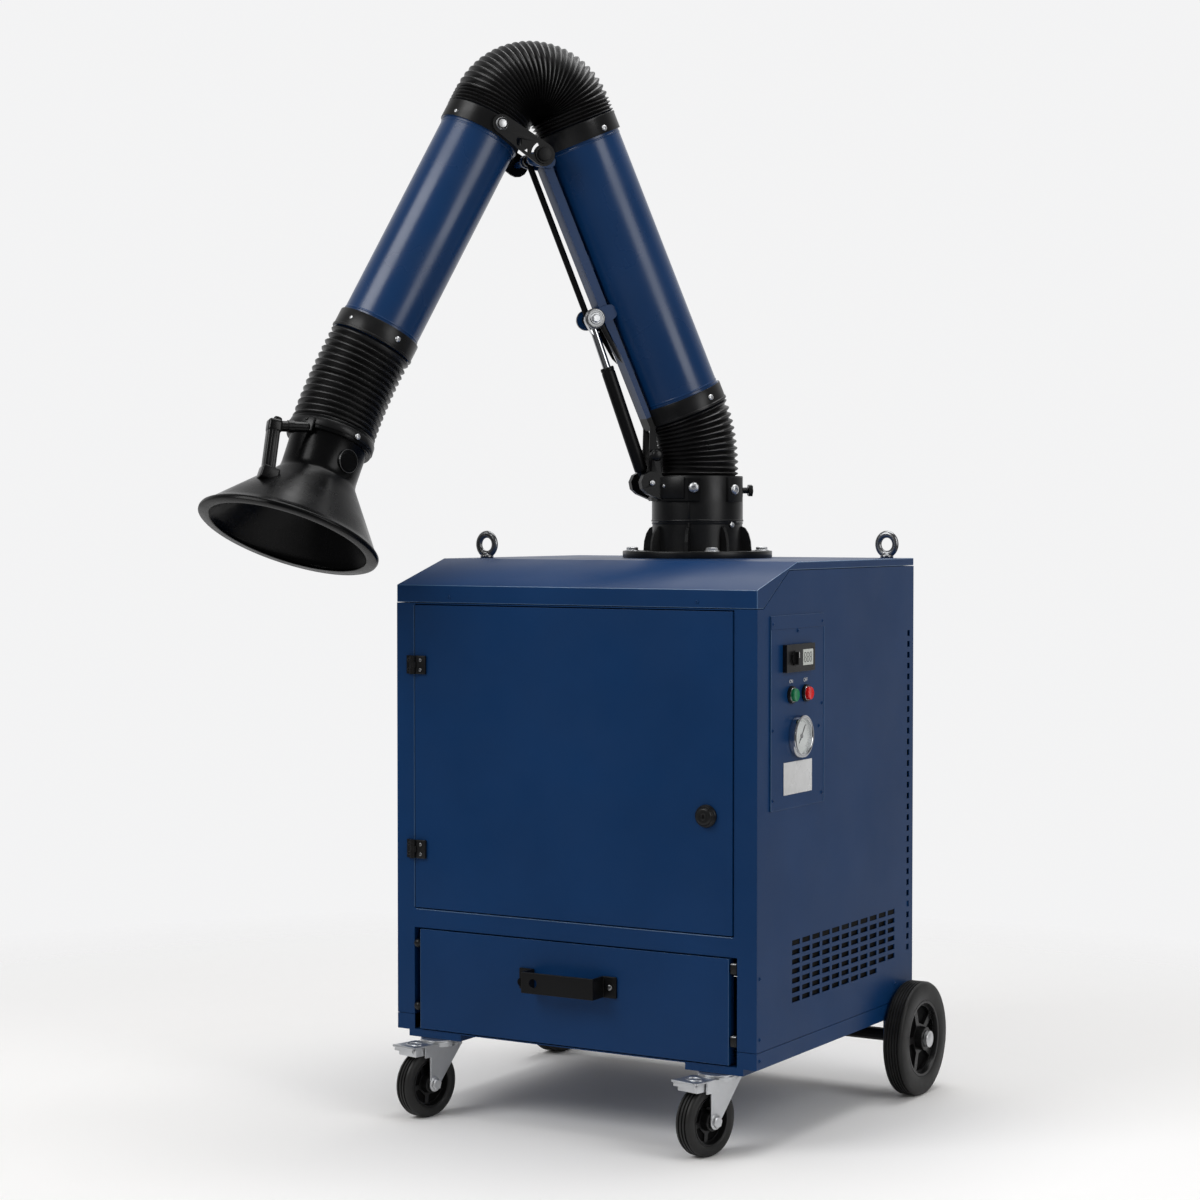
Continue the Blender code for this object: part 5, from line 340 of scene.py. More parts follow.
def dress(piece, name, material, angle=SMOOTH):
    """Names a finished piece and gives it its finish and shading."""
    piece.name = name
    piece.data.name = name
    piece.data.materials.clear()
    piece.data.materials.append(material)
    make_active(piece)
    bpy.ops.object.shade_smooth_by_angle(angle=angle)
    return piece


def put(piece, place):
    """Moves a piece's mesh to a place."""
    piece.matrix_world = place @ piece.matrix_world
    settle(piece)
    return piece


def aim(where, way):
    """The place whose +Z looks along a direction."""
    return Matrix.Translation(where) @ Vector((0, 0, 1)).rotation_difference(way).to_matrix().to_4x4()


def mend_mesh():
    """Merges doubles and turns all faces outwards, in edit mode."""
    bpy.ops.mesh.select_all(action="SELECT")
    bpy.ops.mesh.remove_doubles(threshold=MERGE)
    bpy.ops.mesh.normals_make_consistent(inside=False)


def mesh_of(curve):
    """A piece made from a curve, as a closed mesh."""
    piece = bpy.data.objects.new(curve.name, curve)
    bpy.context.scene.collection.objects.link(piece)
    make_active(piece)
    bpy.ops.object.convert(target="MESH")
    piece = bpy.context.object
    bpy.ops.object.mode_set(mode="EDIT")
    mend_mesh()
    bpy.ops.object.mode_set(mode="OBJECT")
    return piece


def turned(profile, place, sides=64, shift=None):
    """A turned piece: a ring at the first (radius, height), pulled and resized to each next."""
    leave_selection()
    radius, height = profile[0]
    bpy.ops.mesh.primitive_circle_add(vertices=sides, radius=max(radius, POINT),
                                      location=(0, 0, height))
    piece = bpy.context.object
    settle(piece)
    bpy.ops.object.mode_set(mode="EDIT")
    bpy.ops.mesh.select_all(action="SELECT")
    centre = 0
    for next_radius, next_height in profile[1:]:
        bpy.ops.mesh.extrude_edges_indiv()
        move = shift(next_height) if shift else 0
        bpy.ops.transform.translate(value=(move - centre, 0, next_height - height))
        grow = max(next_radius, POINT) / max(radius, POINT)
        bpy.ops.transform.resize(value=(grow, grow, 1), center_override=(move, 0, next_height))
        radius, height, centre = next_radius, next_height, move
    mend_mesh()
    bpy.ops.object.mode_set(mode="OBJECT")
    return put(piece, place)


def block(size, place, bevel, segments=3):
    """A box with rounded edges."""
    leave_selection()
    bpy.ops.mesh.primitive_cube_add(size=1)
    piece = bpy.context.object
    piece.scale = size
    settle(piece)
    bpy.ops.object.mode_set(mode="EDIT")
    bpy.ops.mesh.select_all(action="SELECT")
    bpy.ops.mesh.bevel(offset=bevel, segments=segments, affect="EDGES")
    bpy.ops.object.mode_set(mode="OBJECT")
    return put(piece, place)


def tube_along(points, radii, sides):
    """A round bar through points, its radius given at each."""
    curve = bpy.data.curves.new("route", "CURVE")
    curve.dimensions = "3D"
    curve.bevel_depth = max(radii)
    curve.bevel_resolution = sides // 2 - 2
    curve.use_fill_caps = True
    spline = curve.splines.new("POLY")
    spline.points.add(len(points) - 1)
    for knot, point, radius in zip(spline.points, points, radii):
        knot.co = (*point, 1)
        knot.radius = radius / max(radii)
    return mesh_of(curve)


def round_bar(points, radius, sides):
    return tube_along(points, [radius] * len(points), sides)


def flat_plate(outline, half, place, edge=0.0005):
    """A plate with softened edges, its outline filled in its own plane."""
    curve = bpy.data.curves.new("outline", "CURVE")
    curve.dimensions = "2D"
    curve.fill_mode = "BOTH"
    curve.extrude = half - edge
    curve.bevel_depth = edge
    curve.bevel_resolution = 1
    spline = curve.splines.new("POLY")
    spline.points.add(len(outline) - 1)
    for knot, (x, y) in zip(spline.points, outline):
        knot.co = (x, y, 0, 1)
    spline.use_cyclic_u = True
    return put(mesh_of(curve), place)


def oval_ring(major, minor, segments, resize, where=(0, 0, 0), tilt=0.0):
    """A torus pressed out of round, its segments given round the ring and round the bar."""
    leave_selection()
    bpy.ops.mesh.primitive_torus_add(major_radius=major, minor_radius=minor,
                                     major_segments=segments[0], minor_segments=segments[1],
                                     rotation=(tilt, 0, 0), location=where)
    ring = bpy.context.object
    settle(ring)
    bpy.ops.object.mode_set(mode="EDIT")
    bpy.ops.mesh.select_all(action="SELECT")
    bpy.ops.transform.resize(value=resize, center_override=where)
    bpy.ops.object.mode_set(mode="OBJECT")
    return ring


def join(pieces):
    """Makes the pieces one, which keeps the first one's place."""
    make_active(pieces[0])
    for piece in pieces[1:]:
        piece.select_set(True)
    bpy.ops.object.join()
    return bpy.context.object


def copy_of(piece, place):
    copied = piece.copy()
    copied.data = piece.data.copy()
    bpy.context.scene.collection.objects.link(copied)
    return put(copied, place)


def cut_away(piece, tools):
    """Cuts the tools out of the piece and removes them."""
    for tool in tools:
        step = piece.modifiers.new("Cut", "BOOLEAN")
        step.operation = "DIFFERENCE"
        step.solver = "EXACT"
        step.object = tool
        make_active(piece)
        bpy.ops.object.modifier_apply(modifier=step.name)
        bpy.data.objects.remove(tool, do_unlink=True)
    return piece


# Screws: each kind is made once and copied

def socket_screw(radius, height):
    """A domed head with a six-sided socket."""
    head = turned([(0, height), (radius * 0.55, height * 0.96), (radius * 0.85, height * 0.72),
                   (radius, height * 0.35), (radius, 0), (0, 0)], Matrix(), 28)
    socket = turned([(0, height * 2), (radius * 0.42, height * 2), (radius * 0.42, height * 0.4),
                     (0, height * 0.4)], Matrix(), 6)
    return cut_away(head, [socket])


def hex_bolt(radius, height):
    """A six-sided head with a chamfered top, on a washer."""
    washer = height * 0.25
    head = turned([(0, height), (radius * 0.82, height), (radius, height * 0.82), (radius, washer),
                   (0, washer)], Matrix(), 6)
    plain = turned([(0, washer), (radius * 1.18, washer), (radius * 1.25, washer * 0.7),
                    (radius * 1.25, 0), (0, 0)], Matrix(), 32)
    return join([head, plain])


SOCKET_SCREW = socket_screw(0.0055, 0.0030)
SMALL_SCREW = socket_screw(0.0034, 0.0018)
HEX_BOLT = hex_bolt(0.0085, 0.0070)
AXLE_BOLT = hex_bolt(0.0108, 0.0080)
LARGE_SCREW = socket_screw(0.0098, 0.0056)
FLANGE_BOLT = hex_bolt(0.0112, 0.0078)
PROTOTYPES = [SOCKET_SCREW, SMALL_SCREW, HEX_BOLT, AXLE_BOLT, LARGE_SCREW, FLANGE_BOLT]


def fasten(kind, name, where, way, body, material=SCREW_STEEL):
    """Sets a copy of a screw or bolt in its place, its head looking along a way."""
    piece = copy_of(kind, aim(where, way))
    dress(piece, name, material)
    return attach(piece, body)


# The part's own nodes: finishes, and soft edges on the folded sheet, most blue ones painted lighter as
# highlights

NODE_FINISH = {
    BLUE: ["base_tray", "left_side_panel", "right_side_panel", "rear_panel", "front_frame", "lid",
           "mid_shelf", "control_panel", "door", "drawer"],
    TUBE_BLUE: ["lower_tube", "upper_tube"],
    RAIL_COAT: ["support_rail"],
    BLACK_COAT: ["pivot_bracket", "elbow_plate_near", "elbow_plate_far", "tie_rod",
                 "drawer_handle", "gas_spring_cylinder", "rear_axle"],
    BLACK_MOULD: ["switch_unit", "switch_knob", "start_bezel", "stop_bezel", "gauge_needle",
                  "arm_flange", "swivel_collar", "clamp_knob", "door_lock", "hood_handle",
                  "hinge_upper_frame_leaf", "hinge_upper_door_leaf", "hinge_lower_frame_leaf",
                  "hinge_lower_door_leaf"],
    HOOD_MOULD: ["hood"],
    HOSE_SKIN: ["base_hose", "elbow_hose", "hood_hose"],
    SEAL_RUBBER: ["door_seal", "filter_base_ring"],
    TYRE_RUBBER: ["rear_wheel_left", "rear_wheel_right", "caster_left_wheel",
                  "caster_right_wheel"],
    ZINC: ["caster_left_fork", "caster_right_fork", "caster_left_brake_pedal",
           "caster_right_brake_pedal", "lifting_eye_left", "lifting_eye_right",
           "joint_cross"],
    CHROME: ["gas_spring_rod", "gauge_case"],
    GALVANISED: ["filter_cap", "fan_housing", "impeller"],
    MOTOR_GREY: ["fan_motor"],
    GREEN_CAP: ["start_button"],
    RED_CAP: ["stop_button"],
    FLEECE: ["filter_cartridge"],
}
SOFT_EDGES = {
    0.0012: ["lid", "drawer", "drawer_handle"],
    0.0006: ["door"],
    0.0008: ["pivot_bracket", "elbow_plate_near", "elbow_plate_far", "switch_unit",
             "caster_left_fork", "caster_right_fork", "caster_left_brake_pedal",
             "caster_right_brake_pedal", "control_panel"],
}


def finish_nodes():
    """Finishes and soft edges on the part's nodes; the blue nodes' bevels, all but the door's, take a
    lighter blue painted as highlights.
    """
    for material, names in NODE_FINISH.items():
        for name in names:
            NODES[name].data.materials.clear()
            NODES[name].data.materials.append(material)
    for width, names in SOFT_EDGES.items():
        for name in names:
            weld = NODES[name].modifiers.new("Weld", "WELD")
            weld.merge_threshold = MERGE
            edge = NODES[name].modifiers.new("Edge", "BEVEL")
            edge.width = width
            edge.segments = 2
            edge.limit_method = "ANGLE"
            edge.angle_limit = SMOOTH
            edge.harden_normals = True
            # Blue bevels, all but the door's, take the painted highlight colour
            if NODES[name].data.materials[0] == BLUE and name != "door":
                NODES[name].data.materials.append(EDGE_HIGHLIGHT_BLUE)
                edge.material = 1


finish_nodes()


# Hoses

def bend_route(start, start_way, end, end_way, straight, count):
    """A straight run, a round bend and a straight run, all in the arm's plane or near it."""
    first, last = start + start_way * straight, end - end_way * straight
    chord = last - first
    turn = start_way.angle(end_way)
    side = (end_way - start_way * end_way.dot(start_way)).normalized()
    radius = chord.length / (2 * math.sin(turn / 2))

    def on_arc(angle):
        return (start_way * math.sin(angle) + side * (1 - math.cos(angle))) * radius

    slip = chord - on_arc(turn)
    bend = [first + on_arc(turn * k / count) + slip * (k / count) for k in range(count + 1)]
    return [start] + bend + [end]


def even_steps(route, count):
    """Points at even distances along a route."""
    reach = [0]
    for a, b in zip(route, route[1:]):
        reach.append(reach[-1] + (b - a).length)
    steps, span = [], 0
    for k in range(count):
        target = reach[-1] * k / (count - 1)
        while span < len(route) - 2 and reach[span + 1] < target:
            span += 1
        share = (target - reach[span]) / (reach[span + 1] - reach[span])
        steps.append(route[span].lerp(route[span + 1], min(1, max(0, share))))
    return steps


RIB_SHAPE = (0.0, 0.30, 0.78, 1.0, 0.78, 0.30)
CREST = 0.0790
VALLEY = 0.0720
ELBOW_VALLEY = 0.0728
BASE_RIBS = 12
ELBOW_RIBS = 34
HOOD_RIBS = 14
ROUTE_STEPS = 80


def ribbed_hose(name, route, ribs, crest, valley, sides=72):
    """A hose whose round ribs stand out of thin valleys."""
    steps = even_steps(route, ribs * len(RIB_SHAPE) + 1)
    radii = []
    for k in range(len(steps)):
        swell = RIB_SHAPE[k % len(RIB_SHAPE)]
        radii.append(valley + (crest - valley) * swell)
    hose = tube_along([arm_point(p) for p in steps], radii, sides)
    return dress(hose, name, HOSE_SKIN, angle=math.radians(75))


def share_bend(hose, first, last, start, end, route):
    """Blends the hose between two bodies, turning evenly along its route."""
    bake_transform(hose, first, last, arm_point(start), arm_point(end))
    steps = [arm_point(p) for p in even_steps(route, ROUTE_STEPS)]
    weights = hose.data.attributes["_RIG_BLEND"]
    for vertex in hose.data.vertices:
        near = min(range(len(steps)), key=lambda k: (steps[k] - vertex.co).length_squared)
        share = near / (len(steps) - 1)
        weights.data[vertex.index].value = share * share * (3 - 2 * share)


def make_hoses():
    """The three hoses, the hood's in two halves that meet at the cross."""
    collar = Vector((0, 0, COLLAR_TOP))
    up = Vector((0, 0, 1))
    route = bend_route(collar, up, LOWER_FOOT, LOWER_WAY, 0.010, 40)
    hose = ribbed_hose("base_hose_skin", route, BASE_RIBS, CREST, VALLEY)
    share_bend(hose, "column", "lower_arm", collar, LOWER_FOOT, route)
    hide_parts("base_hose")
    route = bend_route(LOWER_HEAD, LOWER_WAY, UPPER_HEAD, UPPER_WAY, 0.030, 80)
    hose = ribbed_hose("elbow_hose_skin", route, ELBOW_RIBS, CREST, ELBOW_VALLEY)
    share_bend(hose, "lower_arm", "upper_arm", LOWER_HEAD, UPPER_HEAD, route)
    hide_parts("elbow_hose")
    hood_top = HOOD_JOINT + HOOD_WAY * HOOD_BAND_TOP
    route = bend_route(UPPER_END, UPPER_WAY, hood_top, HOOD_WAY, 0.010, 40)
    middle = len(route) // 2
    upper_half, lower_half = route[:middle + 1], route[middle:]
    first = ribbed_hose("hood_hose_upper_skin", upper_half, HOOD_RIBS // 2, CREST, VALLEY)
    share_bend(first, "upper_arm", "cross", UPPER_END, route[middle], upper_half)
    second = ribbed_hose("hood_hose_lower_skin", lower_half, HOOD_RIBS // 2, CREST, VALLEY)
    share_bend(second, "cross", "hood_body", route[middle], hood_top, lower_half)
    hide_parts("hood_hose")
    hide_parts("hood_hose")


make_hoses()


# Black cuffs over the ends of the tubes

def cuff_band(name, foot, way, length, body, screws, lip_at_top, thickness=0.0014):
    """A thin band with a bead at the hose end; each screw is a kind, an angle and a height."""
    inner, outer = CUFF + 0.0002, CUFF + thickness
    bead = outer + thickness
    lip = bead - 0.0010
    profile = [(inner, 0), (outer - 0.0004, 0), (outer, 0.0006), (outer, length - 0.0052),
               (bead, length - 0.0040), (bead, length - 0.0010), (lip, length),
               (inner, length), (inner, 0)]
    if not lip_at_top:
        profile = [(radius, length - height) for radius, height in profile]
    place = ARM @ aim(foot, way)
    band = dress(turned(profile, place, 96), name, BLACK_MOULD)
    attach(band, body)
    for k, (kind, angle, height) in enumerate(screws):
        out = round_way(angle)
        where = place @ (out * outer + Vector((0, 0, height)))
        fasten(kind, "%s_screw_%d" % (name, k + 1), where,
               (place.to_3x3() @ out).normalized(), body)


def tube_bead(name, where, way, body):
    """The low bead that is rolled into a tube beside its cuff."""
    sunk, shoulder, crown = DUCT - 0.0010, DUCT + 0.0006, DUCT + 0.0012
    bead = turned([(sunk, -0.0022), (shoulder, -0.0018), (crown, -0.0006), (crown, 0.0006),
                   (shoulder, 0.0018), (sunk, 0.0022), (sunk, -0.0022)],
                  ARM @ aim(where, way), 96)
    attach(dress(bead, name, TUBE_BLUE), body)


def make_cuffs():
    """Cuffs and beads; angles are from the arm's forward side towards the camera's side."""
    cuff_band("lower_tube_foot_cuff", LOWER_FOOT, LOWER_WAY, CUFF_LENGTH, "lower_arm",
              ((SOCKET_SCREW, 110.5, 0.016), (SOCKET_SCREW, -110.5, 0.016)), False)
    cuff_band("lower_tube_head_cuff", LOWER_HEAD - LOWER_WAY * CUFF_LENGTH, LOWER_WAY,
              CUFF_LENGTH, "lower_arm",
              ((SOCKET_SCREW, 108.5, 0.009), (SOCKET_SCREW, -108.5, 0.009)), True, 0.0006)
    cuff_band("upper_tube_head_cuff", UPPER_HEAD + UPPER_WAY * CUFF_LENGTH, -UPPER_WAY,
              CUFF_LENGTH, "upper_arm", ((SMALL_SCREW, 31, 0.009), (SMALL_SCREW, -31, 0.009)),
              True, 0.0006)
    cuff_band("upper_tube_foot_cuff", UPPER_END - UPPER_WAY * CUFF_LENGTH, UPPER_WAY,
              CUFF_LENGTH, "upper_arm",
              ((SOCKET_SCREW, 72, 0.015), (SMALL_SCREW, 145, 0.017), (SOCKET_SCREW, -72, 0.015)),
              True)
    beside = CUFF_LENGTH + 0.006
    tube_bead("lower_tube_foot_bead", LOWER_FOOT + LOWER_WAY * beside, LOWER_WAY, "lower_arm")
    tube_bead("lower_tube_head_bead", LOWER_HEAD - LOWER_WAY * beside, LOWER_WAY, "lower_arm")
    tube_bead("upper_tube_head_bead", UPPER_HEAD + UPPER_WAY * beside, UPPER_WAY, "upper_arm")
    tube_bead("upper_tube_foot_bead", UPPER_END - UPPER_WAY * beside, UPPER_WAY, "upper_arm")


make_cuffs()


# Hood

HOOD_CREASE = 0.1680
HOOD_MOUTH = 0.2930
HOOD_SHIFT = 0.0180
HOOD_NECK = 0.0712
HOOD_CLIP = 0.0822
BAND_SCREW_Z = -0.0895
BAND_SCREW_ANGLES = (111, -9, -129)
BOSS_ANGLE = 114
BOSS_Z = -0.136


def hood_shift(height):
    """How far the cone leans towards the handle at a height below the joint."""
    depth = -height - HOOD_CREASE
    return HOOD_SHIFT * max(0, depth) / (HOOD_MOUTH - HOOD_CREASE)


def on_hood(x, y, z):
    return HOOD @ Matrix.Translation((x, y, z))


def out_of_hood(direction):
    return (HOOD.to_3x3() @ direction).normalized()


def make_hood_shell():
    """Band, neck, flared cone with a rolled rim and a flat lip, and the inside back up."""
    outside = [
        (0.0680, -0.0722), (0.0790, -0.0722), (0.0800, -0.0735), (0.0800, -0.0985),
        (0.0792, -0.1000), (0.0728, -0.1004), (0.0718, -0.1020), (0.0712, -0.1400),
        (0.0710, -0.1570), (0.0718, -0.1655), (0.0742, -0.1715), (0.0960, -0.1985),
        (0.1210, -0.2295), (0.1440, -0.2580), (0.1560, -0.2730), (0.1625, -0.2800),
        (0.1662, -0.2825), (0.1686, -0.2845), (0.1694, -0.2880), (0.1686, -0.2915),
        (0.1660, -0.2930),
    ]
    inside = [
        (0.1490, -0.2930), (0.1482, -0.2918), (0.1490, -0.2905), (0.1600, -0.2895),
        (0.1606, -0.2860), (0.1585, -0.2800), (0.1530, -0.2738), (0.1410, -0.2590),
        (0.1180, -0.2305), (0.0930, -0.1995), (0.0712, -0.1730), (0.0690, -0.1655),
        (0.0680, -0.1500), (0.0680, -0.0722),
    ]
    hood = dress(turned(outside + inside, HOOD, 128, hood_shift), "hood_shell", HOOD_MOULD,
                 angle=math.radians(50))
    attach(hood, "hood_body")
    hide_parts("hood")


def make_hood_yoke():
    """A bridge inside the band, and two arms that reach up to the cross."""
    bridge = block((0.136, 0.018, 0.006), on_hood(0, 0, -0.087), 0.001)
    arms = [block((0.004, 0.018, 0.096), on_hood(side * 0.032, 0, -0.040), 0.001)
            for side in (-1, 1)]
    yoke = dress(join([bridge] + arms), "hood_yoke", HOOD_MOULD)
    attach(yoke, "hood_body")


def make_hood_band():
    """The clip round the hose's end and its three screws."""
    clip = turned([(0.0802, -0.0790), (0.0815, -0.0790), (HOOD_CLIP, -0.0800),
                   (HOOD_CLIP, -0.0930), (0.0815, -0.0940), (0.0802, -0.0940),
                   (0.0802, -0.0790)], HOOD, 96)
    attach(dress(clip, "hood_band_clip", BLACK_MOULD), "hood_body")
    for k, angle in enumerate(BAND_SCREW_ANGLES):
        out = round_way(angle)
        where = HOOD @ (out * HOOD_CLIP + Vector((0, 0, BAND_SCREW_Z)))
        fasten(SOCKET_SCREW, "hood_band_screw_%d" % (k + 1), where, out_of_hood(out), "hood_body")


def make_neck_boss():
    """A round boss on the side of the neck, its rim painted light grey as a highlight."""
    out = round_way(BOSS_ANGLE)
    boss_place = HOOD @ aim(out * HOOD_NECK + Vector((0, 0, BOSS_Z)), out)
    boss = turned([(0, 0.0026), (0.0150, 0.0026), (0.0156, 0.0034), (0.0172, 0.0034),
                   (0.0178, 0.0026), (0.0206, 0.0026), (0.0216, 0.0018), (0.0220, 0.0004),
                   (0.0220, -0.0090), (0, -0.0090)], boss_place, 64)
    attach(dress(boss, "hood_neck_boss", HOOD_MOULD), "hood_body")
    rim = turned([(0.0205, 0.0022), (0.0208, 0.0030), (0.0213, 0.0030), (0.0216, 0.0022),
                  (0.0205, 0.0022)], boss_place, 64)
    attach(dress(rim, "hood_boss_rim", BOSS_RIM_HIGHLIGHT), "hood_body")


GRIP_BESIDE = 0.0580
GRIP_LEAN = Matrix.Rotation(math.atan2(0.0180, 0.0940), 4, "Y")
GRIP_TURN = Matrix.Rotation(math.asin(GRIP_BESIDE / HOOD_CLIP), 4, "Z")


def make_grip():
    """The grip: a round arm from a clip plate, a rounded bar and a foot cup on the cone."""
    beside, arm_radius = GRIP_BESIDE, 0.0098
    root, head = Vector((0.0600, beside, -0.1030)), Vector((0.1150, beside, -0.1240))
    arm = put(round_bar([root, root.lerp(head, 0.5), head], arm_radius, 28), HOOD)
    sleeve = turned([(arm_radius, 0), (0.0114, 0.0008), (0.0114, 0.0120), (arm_radius, 0.0128),
                     (0.0060, 0.0128), (0.0060, 0), (arm_radius, 0)],
                    HOOD @ aim(root.lerp(head, 0.42), (head - root).normalized()), 40)
    stand = on_hood(0.1095, beside, -0.1700) @ GRIP_LEAN
    bar = block((0.0222, 0.0236, 0.1040), stand, 0.0040, 4)
    ridge = block((0.0090, 0.0252, 0.0860), stand, 0.0014, 3)
    elbow = block((0.0258, 0.0258, 0.0250), on_hood(0.1172, beside, -0.1256) @ GRIP_LEAN,
                  0.0056, 5)
    cup = block((0.0325, 0.0325, 0.0250), on_hood(0.0996, beside, -0.2140), 0.0036, 4)
    plug = turned([(0, -0.1640), (0.0716, -0.1655), (0.0742, -0.1715), (0.0960, -0.1985),
                   (0.1210, -0.2295), (0.1440, -0.2580), (0, -0.2580)], HOOD, 96, hood_shift)
    cut_away(cup, [plug])
    knob = turned([(0, 0.0068), (0.0040, 0.0066), (0.0068, 0.0054), (0.0080, 0.0030),
                   (0.0080, 0.0012), (0.0088, 0.0006), (0.0088, -0.0030), (0, -0.0030)],
                  on_hood(0.1150, beside, -0.1128), 40)
    clip = block((0.0042, 0.0200, 0.0280),
                 HOOD @ GRIP_TURN @ Matrix.Translation((0.0838, 0, -0.0960)), 0.0016, 3)
    grip = join([arm, sleeve, bar, ridge, elbow, cup, knob, clip])
    dress(grip, "hood_grip", HOOD_GRIP)
    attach(grip, "hood_body")
    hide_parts("hood_handle")


def make_grip_screws():
    out = GRIP_TURN.to_3x3() @ Vector((1, 0, 0))
    side = GRIP_TURN.to_3x3() @ Vector((0, 1, 0))
    for k, height in enumerate((-0.0870, -0.1060)):
        where = HOOD @ (out * 0.0858 - side * 0.0060 + Vector((0, 0, height)))
        fasten(SMALL_SCREW, "hood_grip_screw_%d" % (k + 1), where, out_of_hood(out), "hood_body",
               HOOD_GRIP)


make_hood_shell()
make_hood_yoke()
make_hood_band()
make_neck_boss()
make_grip()
make_grip_screws()


# Wheels

SPOKES = 5
CUTTER_DEPTH = 0.05
CASTER_HEADING = -12
CASTER_X = 0.292
CASTER_Y = -0.312
FORK_HALF = 0.0236


def wheel_profile(radius, half, shoulder, grooves, groove, rim):
    """The tyre's section from its left bead over the tread to its right bead."""
    flat = half - shoulder
    points = [(rim, -half + 0.002), (rim + 0.003, -half), (radius - shoulder * 0.9, -half),
              (radius - shoulder * 0.35, -half + shoulder * 0.30), (radius, -flat)]
    step = 2 * flat / grooves
    for k in range(grooves):
        middle = -flat + (k + 0.5) * step
        points += [(radius, middle - groove), (radius - groove * 1.5, middle - groove * 0.7),
                   (radius - groove * 1.5, middle + groove * 0.7), (radius, middle + groove)]
    points += [(radius, flat), (radius - shoulder * 0.35, half - shoulder * 0.30),
               (radius - shoulder * 0.9, half), (rim + 0.003, half), (rim, half - 0.002),
               (rim, -half + 0.002)]
    return points


def rim_profile(rim, half, lip, hub, hub_half, web):
    """The section of a hub, a web and a flanged rim."""
    return [(hub * 0.5, -hub_half), (hub, -hub_half), (hub + 0.001, -hub_half + 0.001),
            (hub + 0.002, -web), (rim - lip, -web), (rim - lip + 0.001, -half + 0.004),
            (rim - lip + 0.002, -half + 0.001), (rim - 0.0005, -half + 0.0005),
            (rim - 0.0005, half - 0.0005), (rim - lip + 0.002, half - 0.001),
            (rim - lip + 0.001, half - 0.004), (rim - lip, web), (hub + 0.002, web),
            (hub + 0.001, hub_half - 0.001), (hub, hub_half), (hub * 0.5, hub_half),
            (hub * 0.5, -hub_half)]


def spoke_windows(place, inner, outer, rib):
    """Wedge-shaped cutters that leave a star of spokes."""
    tools = []
    for k in range(SPOKES):
        leave_selection()
        bpy.ops.mesh.primitive_cylinder_add(vertices=48, radius=outer, depth=CUTTER_DEPTH)
        wedge = bpy.context.object
        half = TURN / SPOKES / 2
        bpy.ops.object.mode_set(mode="EDIT")
        for side in (1, -1):
            angle = side * half
            normal = Vector((-math.sin(angle), math.cos(angle), 0)) * side
            bpy.ops.mesh.select_all(action="SELECT")
            bpy.ops.mesh.bisect(plane_co=-normal * rib, plane_no=normal, use_fill=True,
                                clear_outer=True)
        bpy.ops.mesh.select_all(action="SELECT")
        bpy.ops.mesh.bisect(plane_co=(inner, 0, 0), plane_no=(1, 0, 0), use_fill=True,
                            clear_inner=True)
        bpy.ops.mesh.select_all(action="SELECT")
        bpy.ops.mesh.normals_make_consistent(inside=False)
        bpy.ops.object.mode_set(mode="OBJECT")
        tools.append(put(wedge, place @ Matrix.Rotation((k + 0.25) * TURN / SPOKES, 4, "Z")))
    return tools


def shade_web(name, place, inner, outer, half, body):
    """The closed web behind a wheel's windows, dark with painted shade."""
    web = turned([(inner, -half), (outer, -half), (outer, half), (inner, half), (inner, -half)],
                 place, 96)
    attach(dress(web, name, RECESS_SHADE), body)
    return web


def make_wheel(node, body, tyre, rim):
    """Dresses a wheel's tyre and its windowed rim, which replace the node with its web."""
    tyre = dress(tyre, node + "_tyre", TYRE_RUBBER)
    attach(tyre, body)
    rim = dress(rim, node + "_rim", RIM_PLASTIC)
    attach(rim, body)
    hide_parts(node)
    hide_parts(node)
    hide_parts(node)


def make_rear_wheel(side_name, side):
    """A broad tyre, a rim of spokes over a web of painted shade, and a stepped axle cap."""
    node, body = "rear_wheel_" + side_name, "rear_" + side_name
    low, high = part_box(node)
    place = aim((low + high) / 2, Vector((side, 0, 0)))
    tyre = turned(wheel_profile(radius=0.1080, half=0.0200, shoulder=0.0060, grooves=5,
                                groove=0.0019, rim=0.0720), place, 128)
    rim = turned(rim_profile(rim=0.0720, half=0.0190, lip=0.0070, hub=0.0210, hub_half=0.0236,
                             web=0.0090), place, 96)
    cut_away(rim, spoke_windows(place, inner=0.0270, outer=0.0620, rib=0.0062))
    web = shade_web(node + "_web", place, 0.0200, 0.0660, 0.0030, body)
    make_wheel(node, body, tyre, rim)
    cap = turned([(0, 0.0326), (0.0060, 0.0326), (0.0084, 0.0320), (0.0098, 0.0314),
                  (0.0150, 0.0314), (0.0156, 0.0308), (0.0156, 0.0246), (0, 0.0246)], place, 48)
    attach(dress(cap, node + "_axle_cap", SCREW_STEEL), "cabinet")


def make_caster_wheel(side_name):
    """A small tyre and its rim of spokes, turned to the caster's heading."""
    node, body = "caster_%s_wheel" % side_name, "caster_%s_roller" % side_name
    low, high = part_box(node)
    place = aim((low + high) / 2, round_way(CASTER_HEADING))
    tyre = turned(wheel_profile(radius=0.0625, half=0.0170, shoulder=0.0065, grooves=3,
                                groove=0.0017, rim=0.0440), place, 96)
    rim = turned(rim_profile(rim=0.0440, half=0.0160, lip=0.0050, hub=0.0165, hub_half=0.0195,
                             web=0.0050), place, 64)
    cut_away(rim, spoke_windows(place, inner=0.0215, outer=0.0370, rib=0.0045))
    web = shade_web(node + "_web", place, 0.0155, 0.0400, 0.0025, body)
    make_wheel(node, body, tyre, rim)


make_rear_wheel("left", -1)
make_rear_wheel("right", 1)
make_caster_wheel("left")
make_caster_wheel("right")


# Casters: ball races, axle nuts and pedals

def caster_pivot(side_name):
    """The foot of a front caster's swivel axis."""
    side = -1 if side_name == "left" else 1
    return Matrix.Translation(cabinet_point(side * CASTER_X, CASTER_Y, 0))


